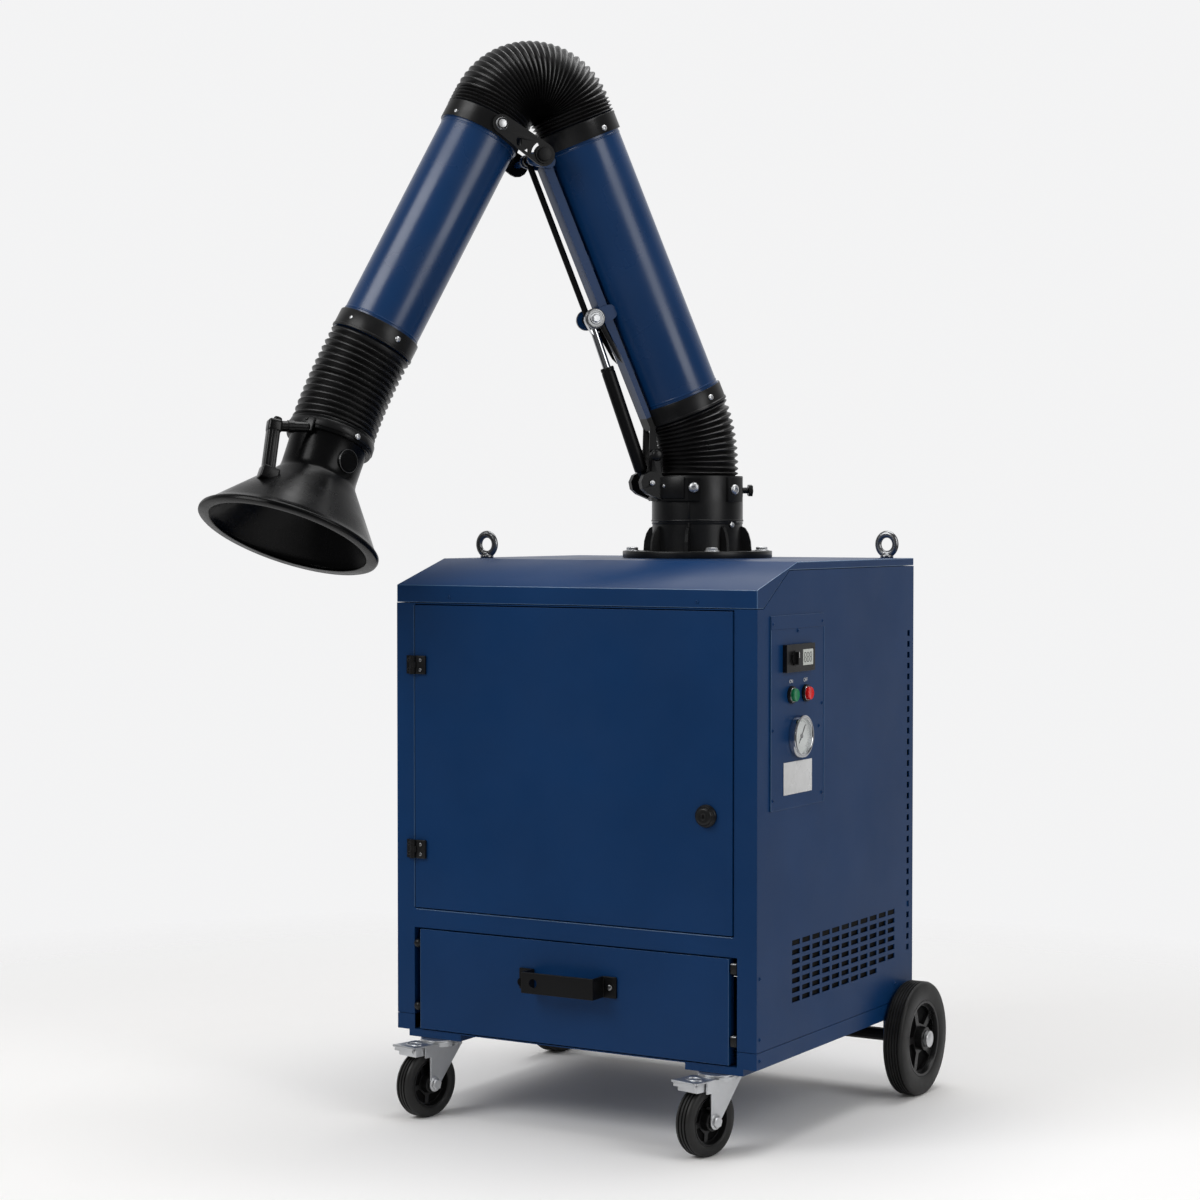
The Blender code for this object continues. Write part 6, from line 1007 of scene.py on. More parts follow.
def make_caster_trim(side_name):
    """The ball race under a caster's plate, and its axle nuts."""
    body = "caster_" + side_name
    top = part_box("caster_%s_fork" % side_name)[1].z
    race = turned([(0, top - 0.0002), (0.0310, top - 0.0002), (0.0345, top - 0.0020),
                   (0.0352, top - 0.0045), (0.0345, top - 0.0070), (0.0310, top - 0.0088),
                   (0, top - 0.0088)], caster_pivot(side_name), 64)
    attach(dress(race, "caster_%s_ball_race" % side_name, ZINC), body)
    across = round_way(CASTER_HEADING)
    wheel_low, wheel_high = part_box("caster_%s_wheel" % side_name)
    axle = (wheel_low + wheel_high) / 2
    for k, hand in enumerate((-1, 1)):
        fasten(AXLE_BOLT, "caster_%s_axle_nut_%d" % (side_name, k + 1),
               axle + across * hand * FORK_HALF, across * hand, body)


def caster_place(side_name):
    """The caster's swivel axis, turned to its heading."""
    return caster_pivot(side_name) @ Matrix.Rotation(math.radians(CASTER_HEADING), 4, "Z")


def make_pedal_skirt(side_name):
    """A pressed oval and a rolled lip on the pedal's tread, and a skirt under it."""
    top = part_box("caster_%s_brake_pedal" % side_name)[1].z
    place = caster_place(side_name)
    oval = oval_ring(0.0120, 0.0015, (48, 12), (1.35, 0.95, 1))
    put(oval, place @ Matrix.Translation((0, -0.0620, top)))
    lip = round_bar([Vector((x, -0.0905, top - 0.0012)) for x in (-0.0265, 0.0, 0.0265)],
                    0.0024, 16)
    put(lip, place)
    front = block((0.0440, 0.0018, 0.0165),
                  place @ Matrix.Translation((0, -0.0800, top - 0.0108)), 0.0006)
    window = block((0.0330, 0.0014, 0.0060),
                   place @ Matrix.Translation((0, -0.0811, top - 0.0120)), 0.0005)
    cheeks = [block((0.0014, 0.0330, 0.0165),
                    place @ Matrix.Translation((hand * 0.0216, -0.0640, top - 0.0108)), 0.0005)
              for hand in (-1, 1)]
    pedal = dress(join([oval, lip, front, window] + cheeks), "caster_%s_pedal_skirt" % side_name,
                  ZINC)
    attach(pedal, "caster_%s_brake" % side_name)


def make_leg_folds(side_name):
    """The rolled front edges of the fork's two legs."""
    folds = []
    for hand in (-1, 1):
        x = hand * FORK_HALF
        fold = tube_along([Vector((x, -0.0438, 0.0560)), Vector((x, -0.0442, 0.0625)),
                           Vector((x, -0.0442, 0.1240))], [0.0012, 0.0016, 0.0016], 12)
        folds.append(put(fold, caster_place(side_name)))
    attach(dress(join(folds), "caster_%s_leg_folds" % side_name, ZINC), "caster_" + side_name)


make_caster_trim("left")
make_caster_trim("right")
for caster in ("left", "right"):
    make_pedal_skirt(caster)
    make_leg_folds(caster)


# Lifting eyes

def make_lifting_eye(side_name):
    """A raised ring on a turned collar that seats on the lid."""
    node = "lifting_eye_" + side_name
    low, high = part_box(node)
    centre = (low + high) / 2
    collar = turned([(0, 0.0098), (0.0060, 0.0098), (0.0075, 0.0080), (0.0110, 0.0064),
                     (0.0125, 0.0052), (0.0127, 0.0008), (0.0122, 0.0003), (0, 0.0003)],
                    Matrix.Translation((centre.x, centre.y, LID_HIGH.z)), 48)
    ring = oval_ring(0.0178, 0.0064, (64, 24), (1, 0.82, 1.08),
                     (centre.x, centre.y, high.z - 0.0210), math.pi / 2)
    eye = dress(join([collar, ring]), node + "_ring", WASHER_STEEL, angle=math.radians(60))
    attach(eye, "cabinet")
    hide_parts(node)


make_lifting_eye("left")
make_lifting_eye("right")


# Door and drawer

OUT = Vector((0, -1, 0))
DOOR_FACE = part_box("door")[0].y
DRAWER_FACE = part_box("drawer")[0].y
FOLD_HIGHLIGHT_RADIUS = 0.0007
LOCK_X = 0.2786
LOCK_Z = 0.5867
LEFT_POST = -0.3290
RIGHT_POST = 0.3298
STOP_LEVELS = (0.3150, 0.1980)
CATCH_LEVELS = (0.3240, 0.1980)
LID_SCREW_X = 0.258
LID_SCREW_Z = 0.9565


def front_point(x, z, y=FRONT):
    point = cabinet_point(x, 0, z)
    point.y = y
    return point


def make_door_lock():
    """A domed knob with a raised collar and a key slot, and a low ring round the slot."""
    place = aim(front_point(LOCK_X, LOCK_Z, DOOR_FACE - 0.0003), OUT)
    knob = turned([(0, 0.0128), (0.0060, 0.0128), (0.0066, 0.0132), (0.0120, 0.0132),
                   (0.0142, 0.0122), (0.0155, 0.0098), (0.0165, 0.0070), (0.0180, 0.0058),
                   (0.0195, 0.0048), (0.0200, 0.0032), (0.0200, 0), (0, 0)], place, 72)
    slot = block((0.0020, 0.0070, 0.0090), place @ Matrix.Translation((0, 0, 0.0120)), 0.0004)
    cut_away(knob, [slot])
    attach(dress(knob, "door_lock_knob", BLACK_MOULD), "lock_body")
    ring = turned([(0.0061, 0.0128), (0.0061, 0.0136), (0.0078, 0.0136), (0.0078, 0.0128),
                   (0.0061, 0.0128)], place, 48)
    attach(dress(ring, "door_lock_ring", BLACK_MOULD), "lock_body")


def make_hinge_trim():
    """Black screws on each frame leaf, and a cover with bright screws over each door leaf."""
    screw_inset = 0.008
    width, depth = 0.0200, 0.0060
    for hinge in ("upper", "lower"):
        for leaf, body in (("frame", "cabinet"), ("door", "door_body")):
            low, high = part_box("hinge_%s_%s_leaf" % (hinge, leaf))
            x = low.x + 0.0052 if leaf == "frame" else high.x + 0.0010
            y = FRONT - 0.0053 if leaf == "frame" else DOOR_FACE - 0.0062
            steel = BLACK_MOULD if leaf == "frame" else WASHER_STEEL
            for k, z in enumerate((low.z + screw_inset, high.z - screw_inset)):
                fasten(SMALL_SCREW, "hinge_%s_%s_screw_%d" % (hinge, leaf, k + 1),
                       Vector((x, y, z)), OUT, body, steel)
            if leaf == "door":
                where = Vector((high.x + 0.0110 - width / 2, DOOR_FACE - 0.0032,
                                (low.z + high.z) / 2))
                cover = block((width, depth, high.z - low.z), Matrix.Translation(where), 0.0012)
                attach(dress(cover, "hinge_%s_cover" % hinge, BLACK_MOULD), body)


def make_drawer_catches():
    """Two black domes on the left post and two blocks with bright tops on the right."""
    for k, z in enumerate(STOP_LEVELS):
        dome = turned([(0, 0.0062), (0.0030, 0.0060), (0.0058, 0.0046), (0.0074, 0.0026),
                       (0.0080, 0.0004), (0.0080, 0), (0, 0)],
                      aim(front_point(LEFT_POST, z, FRONT + 0.0003), OUT), 40)
        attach(dress(dome, "drawer_stop_%d" % (k + 1), BLACK_MOULD), "cabinet")
    for k, z in enumerate(CATCH_LEVELS):
        where = front_point(RIGHT_POST, z, FRONT + 0.0050)
        catch = block((0.0125, 0.0120, 0.0170), Matrix.Translation(where), 0.0015)
        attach(dress(catch, "drawer_catch_%d" % (k + 1), BLACK_MOULD), "cabinet")
        top = block((0.0105, 0.0100, 0.0020), Matrix.Translation(where + Vector((0, 0, 0.0090))),
                    0.0006)
        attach(dress(top, "drawer_catch_plate_%d" % (k + 1), SCREW_STEEL), "cabinet")


def make_handle_screws():
    low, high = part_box("drawer_handle")
    inset = 0.013
    for k, x in enumerate((low.x + inset, high.x - inset)):
        where = Vector((x, DRAWER_FACE - 0.0043, (low.z + high.z) / 2))
        fasten(SOCKET_SCREW, "drawer_handle_screw_%d" % (k + 1), where, OUT, "drawer_body",
               WASHER_STEEL)


def make_front_lines():
    """Thin bars painted as highlights under and beside the door, a dark bar of painted shade in its gap and
    a dark disc of painted shade in the handle's hole.
    """
    door_low, door_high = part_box("door")
    middle = (door_low + door_high) / 2
    beside, highlight_y = 0.0036, FRONT - 0.0001
    # Painted highlight: light blue bars on the frame under and beside the door
    rail = round_bar([Vector((x, highlight_y, door_low.z - beside)) for x in
                      (door_low.x, middle.x, door_high.x)], FOLD_HIGHLIGHT_RADIUS, 10)
    levels = (door_low.z, middle.z, door_high.z)
    post = round_bar([Vector((door_low.x - beside, highlight_y, z)) for z in levels], FOLD_HIGHLIGHT_RADIUS, 10)
    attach(dress(join([rail, post]), "rail_painted_highlight_line", EDGE_HIGHLIGHT_BLUE), "cabinet")
    # Painted shade: a dark bar standing in the door's gap
    lip = round_bar([Vector((door_low.x - 0.0018, FRONT + 0.0004, z)) for z in levels],
                    0.0009, 10)
    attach(dress(lip, "door_gap_painted_shade", RECESS_SHADE), "cabinet")
    # Painted shade: a dark disc inside the handle's hole
    low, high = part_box("drawer_handle")
    where = Vector((low.x + 0.025, low.y + 0.0030, (low.z + high.z) / 2))
    plug = turned([(0, 0.0006), (0.0078, 0.0006), (0.0079, 0), (0.0078, -0.0006), (0, -0.0006)],
                  aim(where, OUT), 40)
    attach(dress(plug, "drawer_handle_hole_shade", RECESS_SHADE), "drawer_body")


def make_lid_screws():
    for k, x in enumerate((-LID_SCREW_X, LID_SCREW_X)):
        fasten(SMALL_SCREW, "lid_screw_%d" % (k + 1), front_point(x, LID_SCREW_Z), OUT,
               "cabinet", BLUE)


make_door_lock()
make_hinge_trim()
make_drawer_catches()
make_handle_screws()
make_front_lines()
make_lid_screws()


# Control panel

SIDE = Vector((1, 0, 0))
PANEL_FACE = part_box("control_panel")[1].x
START_Y = -0.2020
STOP_Y = -0.1455
BUTTON_Z = 0.7925
LABEL_Z = 0.8130
LABEL_HEIGHT = 0.0090
GAUGE_Y = -0.1737
GAUGE_Z = 0.7184
UNIT_Z = (0.8325 + 0.8810) / 2
KNOB_Y = -0.2042
DISPLAY_Y = -0.1500
PLATE_Y = -0.1755
PLATE_Z = 0.6465


def side_point(y, z, x=PANEL_FACE):
    point = cabinet_point(0, y, z)
    point.x = x
    return point


def side_block(size, y, z, x, bevel, segments=3):
    """A block on the right side, its middle at a depth."""
    return block(size, Matrix.Translation(side_point(y, z, x)), bevel, segments)


def label_text(name, words, y):
    """A short generic word over a button, made a mesh."""
    leave_selection()
    bpy.ops.object.text_add()
    text = bpy.context.object
    text.data.body = words
    text.data.size = LABEL_HEIGHT
    text.data.extrude = 0.00015
    text.data.align_x = "CENTER"
    bpy.ops.object.convert(target="MESH")
    text = bpy.context.object
    stand = Matrix(((0, 0, 1, 0), (1, 0, 0, 0), (0, 1, 0, 0), (0, 0, 0, 1)))
    put(text, Matrix.Translation(side_point(y, LABEL_Z, PANEL_FACE + 0.0004)) @ stand)
    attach(dress(text, name, LABEL_WHITE), "cabinet")


def make_switch_unit():
    """The display's window, its three digits of seven bars each, and the knob's mark."""
    unit_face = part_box("switch_unit")[1].x
    window = side_block((0.0005, 0.0400, 0.0280), DISPLAY_Y, UNIT_Z, unit_face - 0.0006, 0.0002)
    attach(dress(window, "display_window", DISPLAY_GREY), "cabinet")
    first_y, pitch, half_width, half_height = -0.1620, 0.0110, 0.0035, 0.0080
    long, thin, raised = 0.0060, 0.0013, 0.0004
    face, bars = unit_face - raised / 2, []
    for k in range(3):
        digit_y = first_y + k * pitch
        for z in (-half_height, 0.0, half_height):
            bars.append(side_block((raised, long, thin), digit_y, UNIT_Z + z, face, 0.0001, 1))
        for z in (-half_height / 2, half_height / 2):
            for y in (-half_width, half_width):
                bars.append(side_block((raised, thin, long), digit_y + y, UNIT_Z + z, face,
                                       0.0001, 1))
    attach(dress(join(bars), "display_digits", DIAL_INK), "cabinet")
    knob_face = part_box("switch_knob")[1].x
    mark = side_block((0.0006, 0.0014, 0.0100), KNOB_Y, UNIT_Z + 0.006, knob_face + 0.0002,
                      0.0002, 1)
    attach(dress(mark, "switch_knob_mark", LABEL_WHITE), "switch_body")


def make_button_caps():
    """A domed cap, a black ring and a bright bead on each push button."""
    for name, y, material in (("start", START_Y, GREEN_CAP), ("stop", STOP_Y, RED_CAP)):
        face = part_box(name + "_button")[1].x
        stand = aim(side_point(y, BUTTON_Z), SIDE)
        cap = turned([(0, 0.0002), (0.0080, 0.0004), (0.0092, 0.0010), (0.0102, 0.0010),
                      (0.0112, 0.0001), (0.0115, -0.0012), (0.0115, -0.0030), (0, -0.0030)],
                     aim(side_point(y, BUTTON_Z, face), SIDE), 48)
        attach(dress(cap, name + "_button_cap", material), name + "_body")
        ring = turned([(0.0120, 0.0050), (0.0126, 0.0058), (0.0146, 0.0058), (0.0152, 0.0046),
                       (0.0154, 0.0006), (0.0120, 0.0006), (0.0120, 0.0050)], stand, 56)
        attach(dress(ring, name + "_button_ring", BLACK_MOULD), "cabinet")
        bead = turned([(0.0118, 0.0050), (0.0118, 0.0060), (0.0124, 0.0062), (0.0128, 0.0056),
                       (0.0128, 0.0050), (0.0118, 0.0050)], stand, 56)
        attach(dress(bead, name + "_button_bead", CHROME), "cabinet")


GAUGE_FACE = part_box("gauge_case")[1].x


def make_gauge_ticks():
    """Thirty-one plain ticks over three quarters of the dial, every fifth one long."""
    ticks = []
    tick_circle, long_tick, short_tick = 0.0285, 0.0042, 0.0024
    middle = side_point(GAUGE_Y, GAUGE_Z, GAUGE_FACE - 0.0061)
    for k in range(31):
        length = long_tick if k % 5 == 0 else short_tick
        turn = Matrix.Rotation(math.radians(-45 + k * 9), 4, "X")
        out = turn.to_3x3() @ Vector((0, 1, 0))
        where = Matrix.Translation(middle + out * (tick_circle - length / 2)) @ turn
        ticks.append(block((0.0003, length, 0.0008), where, 0.0001, 1))
    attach(dress(join(ticks), "gauge_ticks", DIAL_INK), "cabinet")


def make_needle_blade():
    """A thin blade along the part's own needle."""
    needle_low, needle_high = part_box("gauge_needle")
    pivot = side_point(GAUGE_Y, GAUGE_Z, (needle_low.x + needle_high.x) / 2)
    slope = math.atan2(needle_high.z - pivot.z, needle_high.y - pivot.y)
    turn = Matrix.Translation(pivot) @ Matrix.Rotation(slope, 4, "X")
    blade = block((0.0008, 0.0400, 0.0011), turn @ Matrix.Translation((0, 0.0050, 0)), 0.0002, 1)
    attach(dress(blade, "gauge_needle_blade", DIAL_INK), "needle_body")


def make_gauge():
    """The gauge's bezel, dial, ticks, needle blade and glass."""
    place = aim(side_point(GAUGE_Y, GAUGE_Z, GAUGE_FACE), SIDE)
    bezel = turned([(0.0318, 0.0002), (0.0330, 0.0014), (0.0352, 0.0016), (0.0368, 0.0006),
                    (0.0374, -0.0014), (0.0374, -0.0116), (0.0368, -0.0118), (0.0318, -0.0012),
                    (0.0318, 0.0002)], place, 96)
    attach(dress(bezel, "gauge_bezel", CHROME), "cabinet")
    dial = turned([(0, -0.0063), (0.0312, -0.0063), (0.0312, -0.0067), (0, -0.0067)], place, 72)
    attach(dress(dial, "gauge_dial", DIAL_WHITE), "cabinet")
    make_gauge_ticks()
    make_needle_blade()
    glass = turned([(0, -0.0002), (0.0318, -0.0006), (0.0318, -0.0012), (0, -0.0010)], place, 64)
    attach(dress(glass, "gauge_glass", GLASS), "cabinet")


PANEL_SCREWS = ((-0.2715, 0.9180), (-0.0780, 0.9180), (-0.1750, 0.9040), (-0.2715, 0.7340),
                (-0.0780, 0.7710), (-0.0900, 0.7310), (-0.2715, 0.6120), (-0.0780, 0.6110))
SIDE_SCREWS = ((-0.3150, 0.3100), (-0.3150, 0.2050), (-0.3150, 0.1680), (0.2450, 0.2160))


def blue_screws(name, places, x):
    for k, (y, z) in enumerate(places):
        fasten(SMALL_SCREW, "%s_%d" % (name, k + 1), side_point(y, z, x), SIDE, "cabinet", BLUE)


def make_panel_trim():
    """The panel's head strip, edge folds painted lighter as highlights, screws and bare plate."""
    low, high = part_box("control_panel")
    middle = (low + high) / 2
    thick, inset = 0.0010, 0.0120
    x = PANEL_FACE + 0.0003
    strip = block((thick, high.y - low.y - 0.0010, 0.0230),
                  Matrix.Translation((x, middle.y, high.z - inset)), 0.0003, 1)
    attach(dress(strip, "panel_head_strip", BLUE), "cabinet")
    # Thin folds along the panel's edges in the painted highlight colour
    folds = [block((thick, 0.0010, high.z - low.z - 0.0250),
                   Matrix.Translation((x, y, middle.z - inset)), 0.0003, 2)
             for y in (low.y + 0.0006, high.y - 0.0006)]
    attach(dress(join(folds), "panel_edge_fold_highlights", EDGE_HIGHLIGHT_BLUE), "cabinet")
    blue_screws("panel_screw", PANEL_SCREWS, PANEL_FACE)
    make_vent_shade_sheet()
    plate = side_block((thick, 0.1110, 0.0570), PLATE_Y, PLATE_Z, PANEL_FACE + 0.0006, 0.0004, 2)
    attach(dress(plate, "bare_plate", PLATE_SILVER), "cabinet")
    blue_screws("side_screw", SIDE_SCREWS, RIGHT)


def make_vent_shade_sheet():
    """A dark sheet of painted shade behind the louvres, and its head strip inside the top row's slots."""
    length, middle_y = 0.4700, 0.0260
    shade_sheet = side_block((0.0008, length, 0.1400), middle_y, 0.3040, RIGHT - 0.0038, 0.0002, 1)
    head = side_block((0.0004, length, 0.0125), middle_y, 0.3544, RIGHT - 0.0012, 0.0001, 1)
    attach(dress(join([shade_sheet, head]), "vent_shade_sheet", RECESS_SHADE), "cabinet")


make_switch_unit()
make_button_caps()
make_gauge()
make_panel_trim()
label_text("start_label", "ON", START_Y)
label_text("stop_label", "OFF", STOP_Y)


# Arm base: bolts, lugs, seams and skins of the collar and the flange, and the knuckle's pieces

def collar_bolt(name, angle, z, kind=HEX_BOLT, body="column", radius=COLLAR_RADIUS):
    """A bolt square to the collar, its angle from the arm's forward side."""
    out = round_way(angle)
    fasten(kind, name, arm_point(out * radius + Vector((0, 0, z))), arm_way(out), body)


def arc_plate(inner, outer, middle, half_angle, low, high):
    """A curved plate round the collar's axis, its angles from the arm's forward side."""
    steps = max(2, int(half_angle / 3))
    angles = [math.radians(middle + half_angle * k / steps) for k in range(-steps, steps + 1)]
    outline = [(outer * math.cos(angle), outer * math.sin(angle)) for angle in angles]
    outline += [(inner * math.cos(angle), inner * math.sin(angle)) for angle in angles[::-1]]
    return flat_plate(outline, (high - low) / 2,
                      ARM @ Matrix.Translation((0, 0, (low + high) / 2)))


def make_collar_trim():
    """Bolts, clamp lugs and seams on both sides, the saddle's band and the flange's bolts."""
    band_outer, lug_outer = 0.0962, 0.0925
    for name, side in (("near", 1), ("far", -1)):
        collar_bolt("saddle_bolt_" + name, 64.5 * side, 1.1590, LARGE_SCREW, radius=0.0948)
        collar_bolt("saddle_pin_" + name, 27.1 * side, 1.1622, SMALL_SCREW, radius=band_outer)
        collar_bolt("clamp_bolt_" + name, 118.5 * side, 1.1555, LARGE_SCREW, radius=lug_outer)
        collar_bolt("socket_bolt_" + name, 116.6 * side, 1.0880, SOCKET_SCREW, "cabinet", 0.0886)
        lug = arc_plate(0.0860, lug_outer, 122 * side, 13.5, 1.1322, 1.1790)
        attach(dress(lug, "clamp_lug_" + name, BLACK_MOULD), "column")
        seam = arc_plate(0.0868, 0.0888, 58 * side, 0.7, 1.1000, 1.1340)
        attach(dress(seam, "collar_seam_" + name, BLACK_MOULD), "column")
        foot_seam = arc_plate(0.0868, 0.0892, 58 * side, 0.8, 1.0560, 1.0920)
        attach(dress(foot_seam, "socket_seam_" + name, BLACK_MOULD), "cabinet")
    band = arc_plate(0.0930, band_outer, 0, 52.7, 1.1390, 1.1790)
    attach(dress(band, "saddle_band", BLACK_MOULD), "column")
    top = FLANGE_LOW.z + FLANGE_THICKNESS
    for k in range(FLANGE_BOLTS):
        out = round_way(FIRST_BOLT + 360 / FLANGE_BOLTS * k) * FLANGE_BOLT_CIRCLE
        fasten(FLANGE_BOLT, "flange_bolt_%d" % (k + 1), arm_point(out + Vector((0, 0, top))),
               Vector((0, 0, 1)), "cabinet")


SKIN_DEPTH = 0.0012


def round_skin(name, profile, place, material, body):
    """A finely turned skin over a plainer round solid, closed inside it."""
    inside = [(radius - SKIN_DEPTH, height) for radius, height in profile[::-1]]
    skin = turned(profile + inside + profile[:1], place, 128)
    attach(dress(skin, name, material), body)


def make_round_skins():
    """Skins on the two tubes between their cuffs, on the collar and its socket, and the disc."""
    near, out = CUFF_LENGTH - 0.004, DUCT + 0.0003
    for name, foot, way, length, body in (
            ("lower_tube_skin", LOWER_FOOT, LOWER_WAY, LOWER_LENGTH, "lower_arm"),
            ("upper_tube_skin", UPPER_HEAD, UPPER_WAY, UPPER_LENGTH, "upper_arm")):
        round_skin(name, [(out, near), (out, length - near)], ARM @ aim(foot, way),
                   TUBE_BLUE, body)
    low, top = FLANGE_LOW.z, FLANGE_LOW.z + FLANGE_THICKNESS
    round_skin("collar_skin", [(0.0884, 1.0942), (0.0890, 1.0950), (0.0890, 1.0970),
                               (0.0884, 1.0980), (0.0879, 1.0984), (0.0879, 1.1800),
                               (0.0873, 1.1818)], ARM, BLACK_MOULD, "column")
    round_skin("socket_skin", [(0.0869, top - 0.0002), (0.0869, 1.0890), (0.0876, 1.0898),
                               (0.0882, 1.0908), (0.0882, 1.0926), (0.0876, 1.0932)],
               ARM, BLACK_MOULD, "cabinet")
    disc = turned([(0.0860, top + 0.0003), (0.1432, top + 0.0003), (0.1440, top - 0.0001),
                   (0.1444, top - 0.0010), (0.1444, low + 0.0012), (0.1438, low + 0.0004),
                   (0.0860, low + 0.0004), (0.0860, top + 0.0003)], ARM, 160)
    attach(dress(disc, "flange_skin", BLACK_MOULD), "cabinet")


def arm_plane(origin, way, across):
    """The place whose X runs along a way and whose Y across it, both in the arm's plane."""
    stand = Matrix((way, across, way.cross(across))).transposed().to_4x4()
    return ARM @ Matrix.Translation(origin) @ stand


def make_knuckle_trim():
    """The knuckle's washers, bolts and gussets, and the caps of the arm's other pivots."""
    knuckle_face, washer_face = 0.0250, 0.0310
    spring_face, pivot_face = 0.0381, 0.0362
    plate_face, elbow_face = 0.0852, 0.0902
    for name, side in (("near", 1), ("far", -1)):
        out = Vector((0, side, 0))
        disc = turned([(0, 0.0062), (0.0104, 0.0062), (0.0112, 0.0052), (0.0150, 0.0052),
                       (0.0156, 0.0058), (0.0180, 0.0058), (0.0192, 0.0048), (0.0196, 0.0034),
                       (0.0196, -0.0006), (0, -0.0006)],
                      ARM @ aim(KNUCKLE + out * knuckle_face, out), 64)
        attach(dress(disc, "knuckle_washer_" + name, WASHER_STEEL), "lower_arm")
        fasten(HEX_BOLT, "knuckle_bolt_" + name, arm_point(KNUCKLE + out * washer_face),
               arm_way(out), "lower_arm")
        fasten(SOCKET_SCREW, "spring_foot_bolt_" + name,
               arm_point(SPRING_FOOT + out * spring_face), arm_way(out), "column")
        knob = turned([(0, 0.0082), (0.0056, 0.0080), (0.0092, 0.0066), (0.0112, 0.0042),
                       (0.0118, 0.0014), (0.0118, 0), (0, 0)],
                      ARM @ aim(ARM_PIVOT + out * pivot_face, out), 48)
        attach(dress(knob, "arm_pivot_cap_" + name, BLACK_MOULD), "column")
        cap = turned([(0, 0.0055), (0.0070, 0.0050), (0.0105, 0.0036), (0.0115, 0.0016),
                      (0.0118, 0), (0, 0)], ARM @ aim(PLATE_BOLT + out * plate_face, out), 48)
        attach(dress(cap, "elbow_plate_bolt_" + name, SCREW_STEEL), "upper_arm")
        washer = turned([(0, 0.0030), (0.0100, 0.0030), (0.0125, 0.0024), (0.0130, 0.0004),
                         (0.0130, 0), (0, 0)], ARM @ aim(ELBOW + out * elbow_face, out), 48)
        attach(dress(washer, "elbow_washer_" + name, BLACK_COAT), "lower_arm")
        gusset = flat_plate(((0.232, 0.0965), (0.230, 0.1090), (0.150, 0.0975), (0.140, 0.0930)),
                            0.0015, arm_plane(LOWER_FOOT + out * 0.0150, LOWER_WAY, LOWER_NORMAL))
        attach(dress(gusset, "knuckle_gusset_" + name, BLACK_COAT), "lower_arm")


def make_gas_spring():
    """A smooth cylinder with a crimped head and foot, and its bright rod."""
    way = (KNUCKLE - SPRING_FOOT).normalized()
    place = ARM @ aim(SPRING_FOOT, way)
    cylinder = turned([(0, 0.0250), (0.0100, 0.0250), (0.0126, 0.0262), (0.0132, 0.0290),
                       (0.0132, 0.2230), (0.0126, 0.2250), (0.0126, 0.2270), (0.0132, 0.2280),
                       (0.0132, 0.2320), (0.0120, 0.2338), (0.0084, 0.2340), (0.0084, 0.2200),
                       (0, 0.2200)], place, 64)
    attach(dress(cylinder, "gas_spring_tube", BLACK_COAT), "spring_cylinder")
    rod = turned([(0, 0.3180), (0.0078, 0.3180), (0.0078, 0.2210), (0, 0.2210)], place, 48)
    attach(dress(rod, "gas_spring_bright_rod", CHROME), "spring_rod")


make_collar_trim()
make_round_skins()
make_knuckle_trim()
make_gas_spring()

for prototype in PROTOTYPES:
    bpy.data.objects.remove(prototype, do_unlink=True)


# Floor, light and camera

LAMP_TARGET = Vector((0, 0, 0.9))
BACKDROP_WAY = (-0.51, 0.86, 0)
FLOOR_RADIUS = 9.0


def floor_finish():
    """A pale matt floor that fades out into the backdrop."""
    fade_start, fade_end = 1.0, 2.5
    material = plain_finish("pale_floor", (0.80, 0.80, 0.81), 0.85)
    shader = shader_of(material)
    shader.inputs["Specular IOR Level"].default_value = 0.1
    nodes, links = material.node_tree.nodes, material.node_tree.links
    where = nodes.new("ShaderNodeTexCoord")
    length = nodes.new("ShaderNodeVectorMath")
    length.operation = "LENGTH"
    fade = nodes.new("ShaderNodeMapRange")
    fade.inputs["From Min"].default_value = fade_start
    fade.inputs["From Max"].default_value = fade_end
    path = nodes.new("ShaderNodeLightPath")
    shown = nodes.new("ShaderNodeMixRGB")
    shown.inputs["Color1"].default_value = (0.70, 0.70, 0.71, 1)
    shown.inputs["Color2"].default_value = (0.98, 0.98, 0.985, 1)
    links.new(path.outputs["Is Camera Ray"], shown.inputs["Fac"])
    links.new(shown.outputs["Color"], shader.inputs["Base Color"])
    clear = nodes.new("ShaderNodeBsdfTransparent")
    mix = nodes.new("ShaderNodeMixShader")
    links.new(where.outputs["Object"], length.inputs[0])
    links.new(length.outputs["Value"], fade.inputs["Value"])
    links.new(fade.outputs["Result"], mix.inputs["Fac"])
    links.new(shader.outputs["BSDF"], mix.inputs[1])
    links.new(clear.outputs["BSDF"], mix.inputs[2])
    links.new(mix.outputs["Shader"], nodes["Material Output"].inputs["Surface"])
    return material


def make_floor():
    leave_selection()
    bpy.ops.mesh.primitive_circle_add(vertices=96, radius=FLOOR_RADIUS, fill_type="NGON")
    floor = bpy.context.object
    floor.name = "studio_floor"
    floor.data.materials.append(floor_finish())


def either(nodes, links, first, second):
    """One when either of two outputs is one."""
    larger = nodes.new("ShaderNodeMath")
    larger.operation = "MAXIMUM"
    links.new(first, larger.inputs[0])
    links.new(second, larger.inputs[1])
    return larger.outputs["Value"]


def mixed(nodes, links, factor, first, second):
    mix = nodes.new("ShaderNodeMixShader")
    links.new(factor, mix.inputs["Fac"])
    links.new(first, mix.inputs[1])
    links.new(second, mix.inputs[2])
    return mix.outputs["Shader"]


def background(nodes, colour, strength):
    plain = nodes.new("ShaderNodeBackground")
    plain.inputs["Color"].default_value = (*colour, 1)
    plain.inputs["Strength"].default_value = strength
    return plain.outputs["Background"]


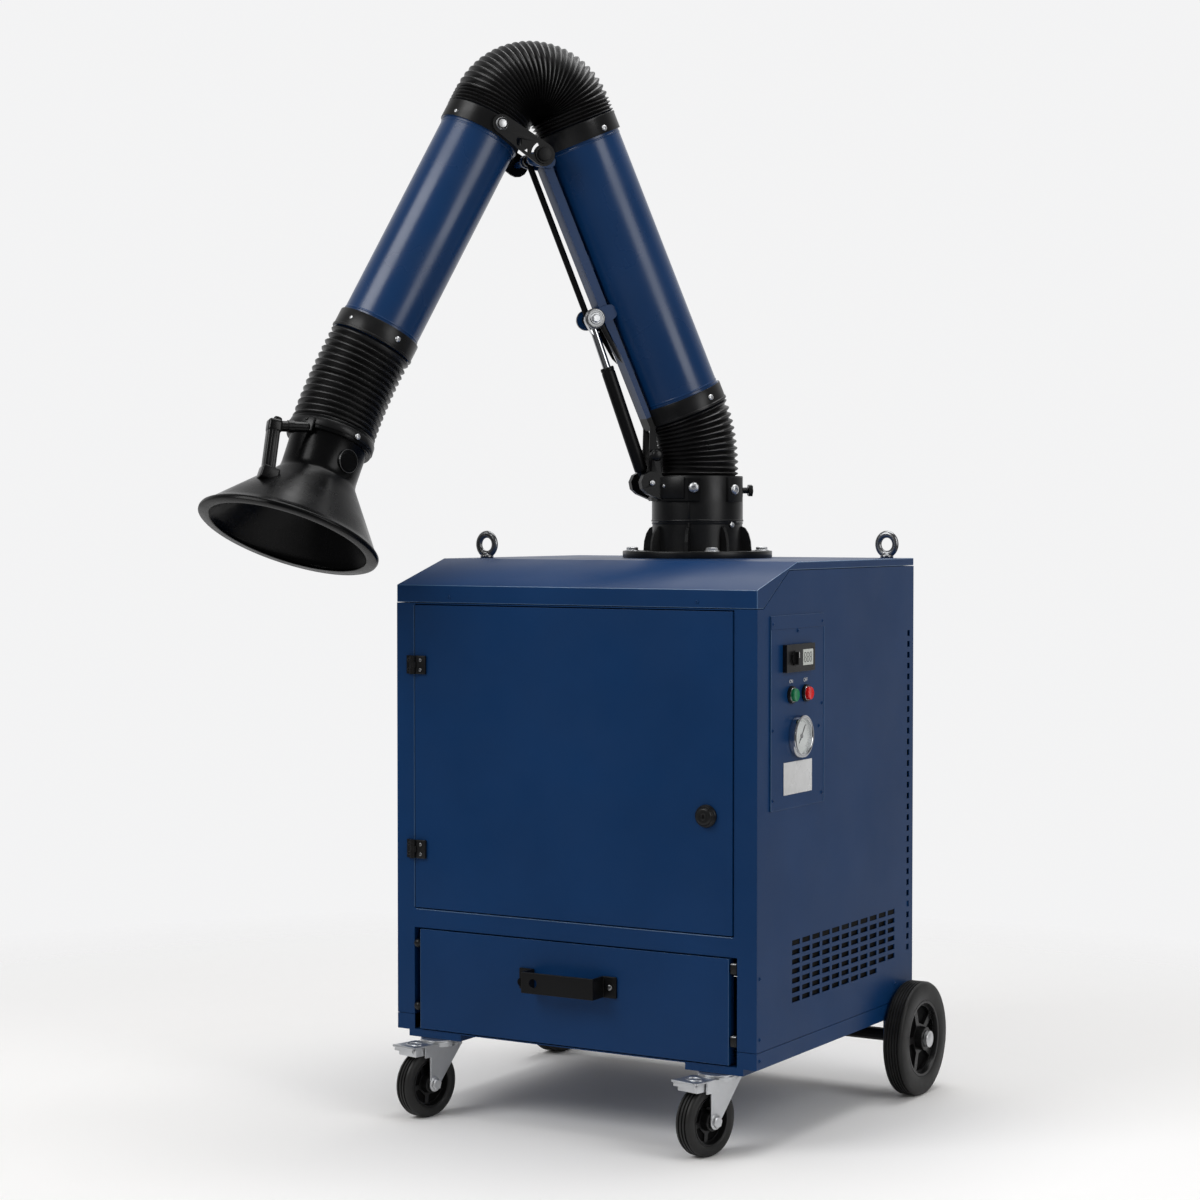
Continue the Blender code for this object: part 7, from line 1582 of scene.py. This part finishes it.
def make_world():
    """Soft light all round, a pale backdrop behind the object and a dim room before it."""
    world = bpy.data.worlds.new("studio")
    bpy.context.scene.world = world
    world.use_nodes = True
    nodes, links = world.node_tree.nodes, world.node_tree.links
    nodes.remove(nodes["Background"])
    light = background(nodes, (1.0, 0.975, 0.935), 0.42)
    pale = background(nodes, (0.90, 0.90, 0.905), 1.0)
    dim = background(nodes, (0.95, 0.96, 1.0), 0.09)
    where = nodes.new("ShaderNodeTexCoord")
    behind = nodes.new("ShaderNodeVectorMath")
    behind.operation = "DOT_PRODUCT"
    behind.inputs[1].default_value = BACKDROP_WAY
    links.new(where.outputs["Object"], behind.inputs[0])
    share = nodes.new("ShaderNodeMapRange")
    share.inputs["From Min"].default_value = 0.1
    share.inputs["From Max"].default_value = 1.1
    links.new(behind.outputs["Value"], share.inputs["Value"])
    room = mixed(nodes, links, share.outputs["Result"], dim, pale)
    path = nodes.new("ShaderNodeLightPath")
    seen = mixed(nodes, links, path.outputs["Is Glossy Ray"], light, room)
    straight = either(nodes, links, path.outputs["Is Camera Ray"],
                      path.outputs["Is Transmission Ray"])
    links.new(mixed(nodes, links, straight, seen, pale), nodes["World Output"].inputs["Surface"])


def soft_lamp(name, where, size, power):
    """A broad lamp that looks at the middle of the machine."""
    lamp = bpy.data.lights.new(name, "AREA")
    lamp.shape = "RECTANGLE"
    lamp.size, lamp.size_y = size
    lamp.energy = power
    obj = bpy.data.objects.new(name, lamp)
    bpy.context.scene.collection.objects.link(obj)
    obj.location = where
    obj.rotation_euler = (LAMP_TARGET - Vector(where)).to_track_quat("-Z", "Y").to_euler()


def make_camera():
    """A long lens, fitted to the cabinet's edges as the photograph shows them."""
    dip, turn = math.radians(1.8156), math.radians(30.7367)
    data = bpy.data.cameras.new("camera")
    data.lens = 77.88
    data.sensor_width = 36
    data.clip_end = 60
    camera = bpy.data.objects.new("camera", data)
    bpy.context.scene.collection.objects.link(camera)
    camera.location = cabinet_point(2.4050, -4.2658, 1.1018)
    camera.rotation_euler = (math.pi / 2 - dip, 0, turn)
    bpy.context.scene.camera = camera


make_floor()
make_world()
soft_lamp("key_light", (-1.6, -3.4, 3.6), (2.4, 2.4), 85)
soft_lamp("side_light", (3.6, -0.6, 2.2), (1.6, 2.6), 35)
soft_lamp("top_light", (0.2, 0.8, 4.2), (2.6, 2.6), 75)
make_camera()
bpy.context.scene.view_settings.view_transform = "Standard"
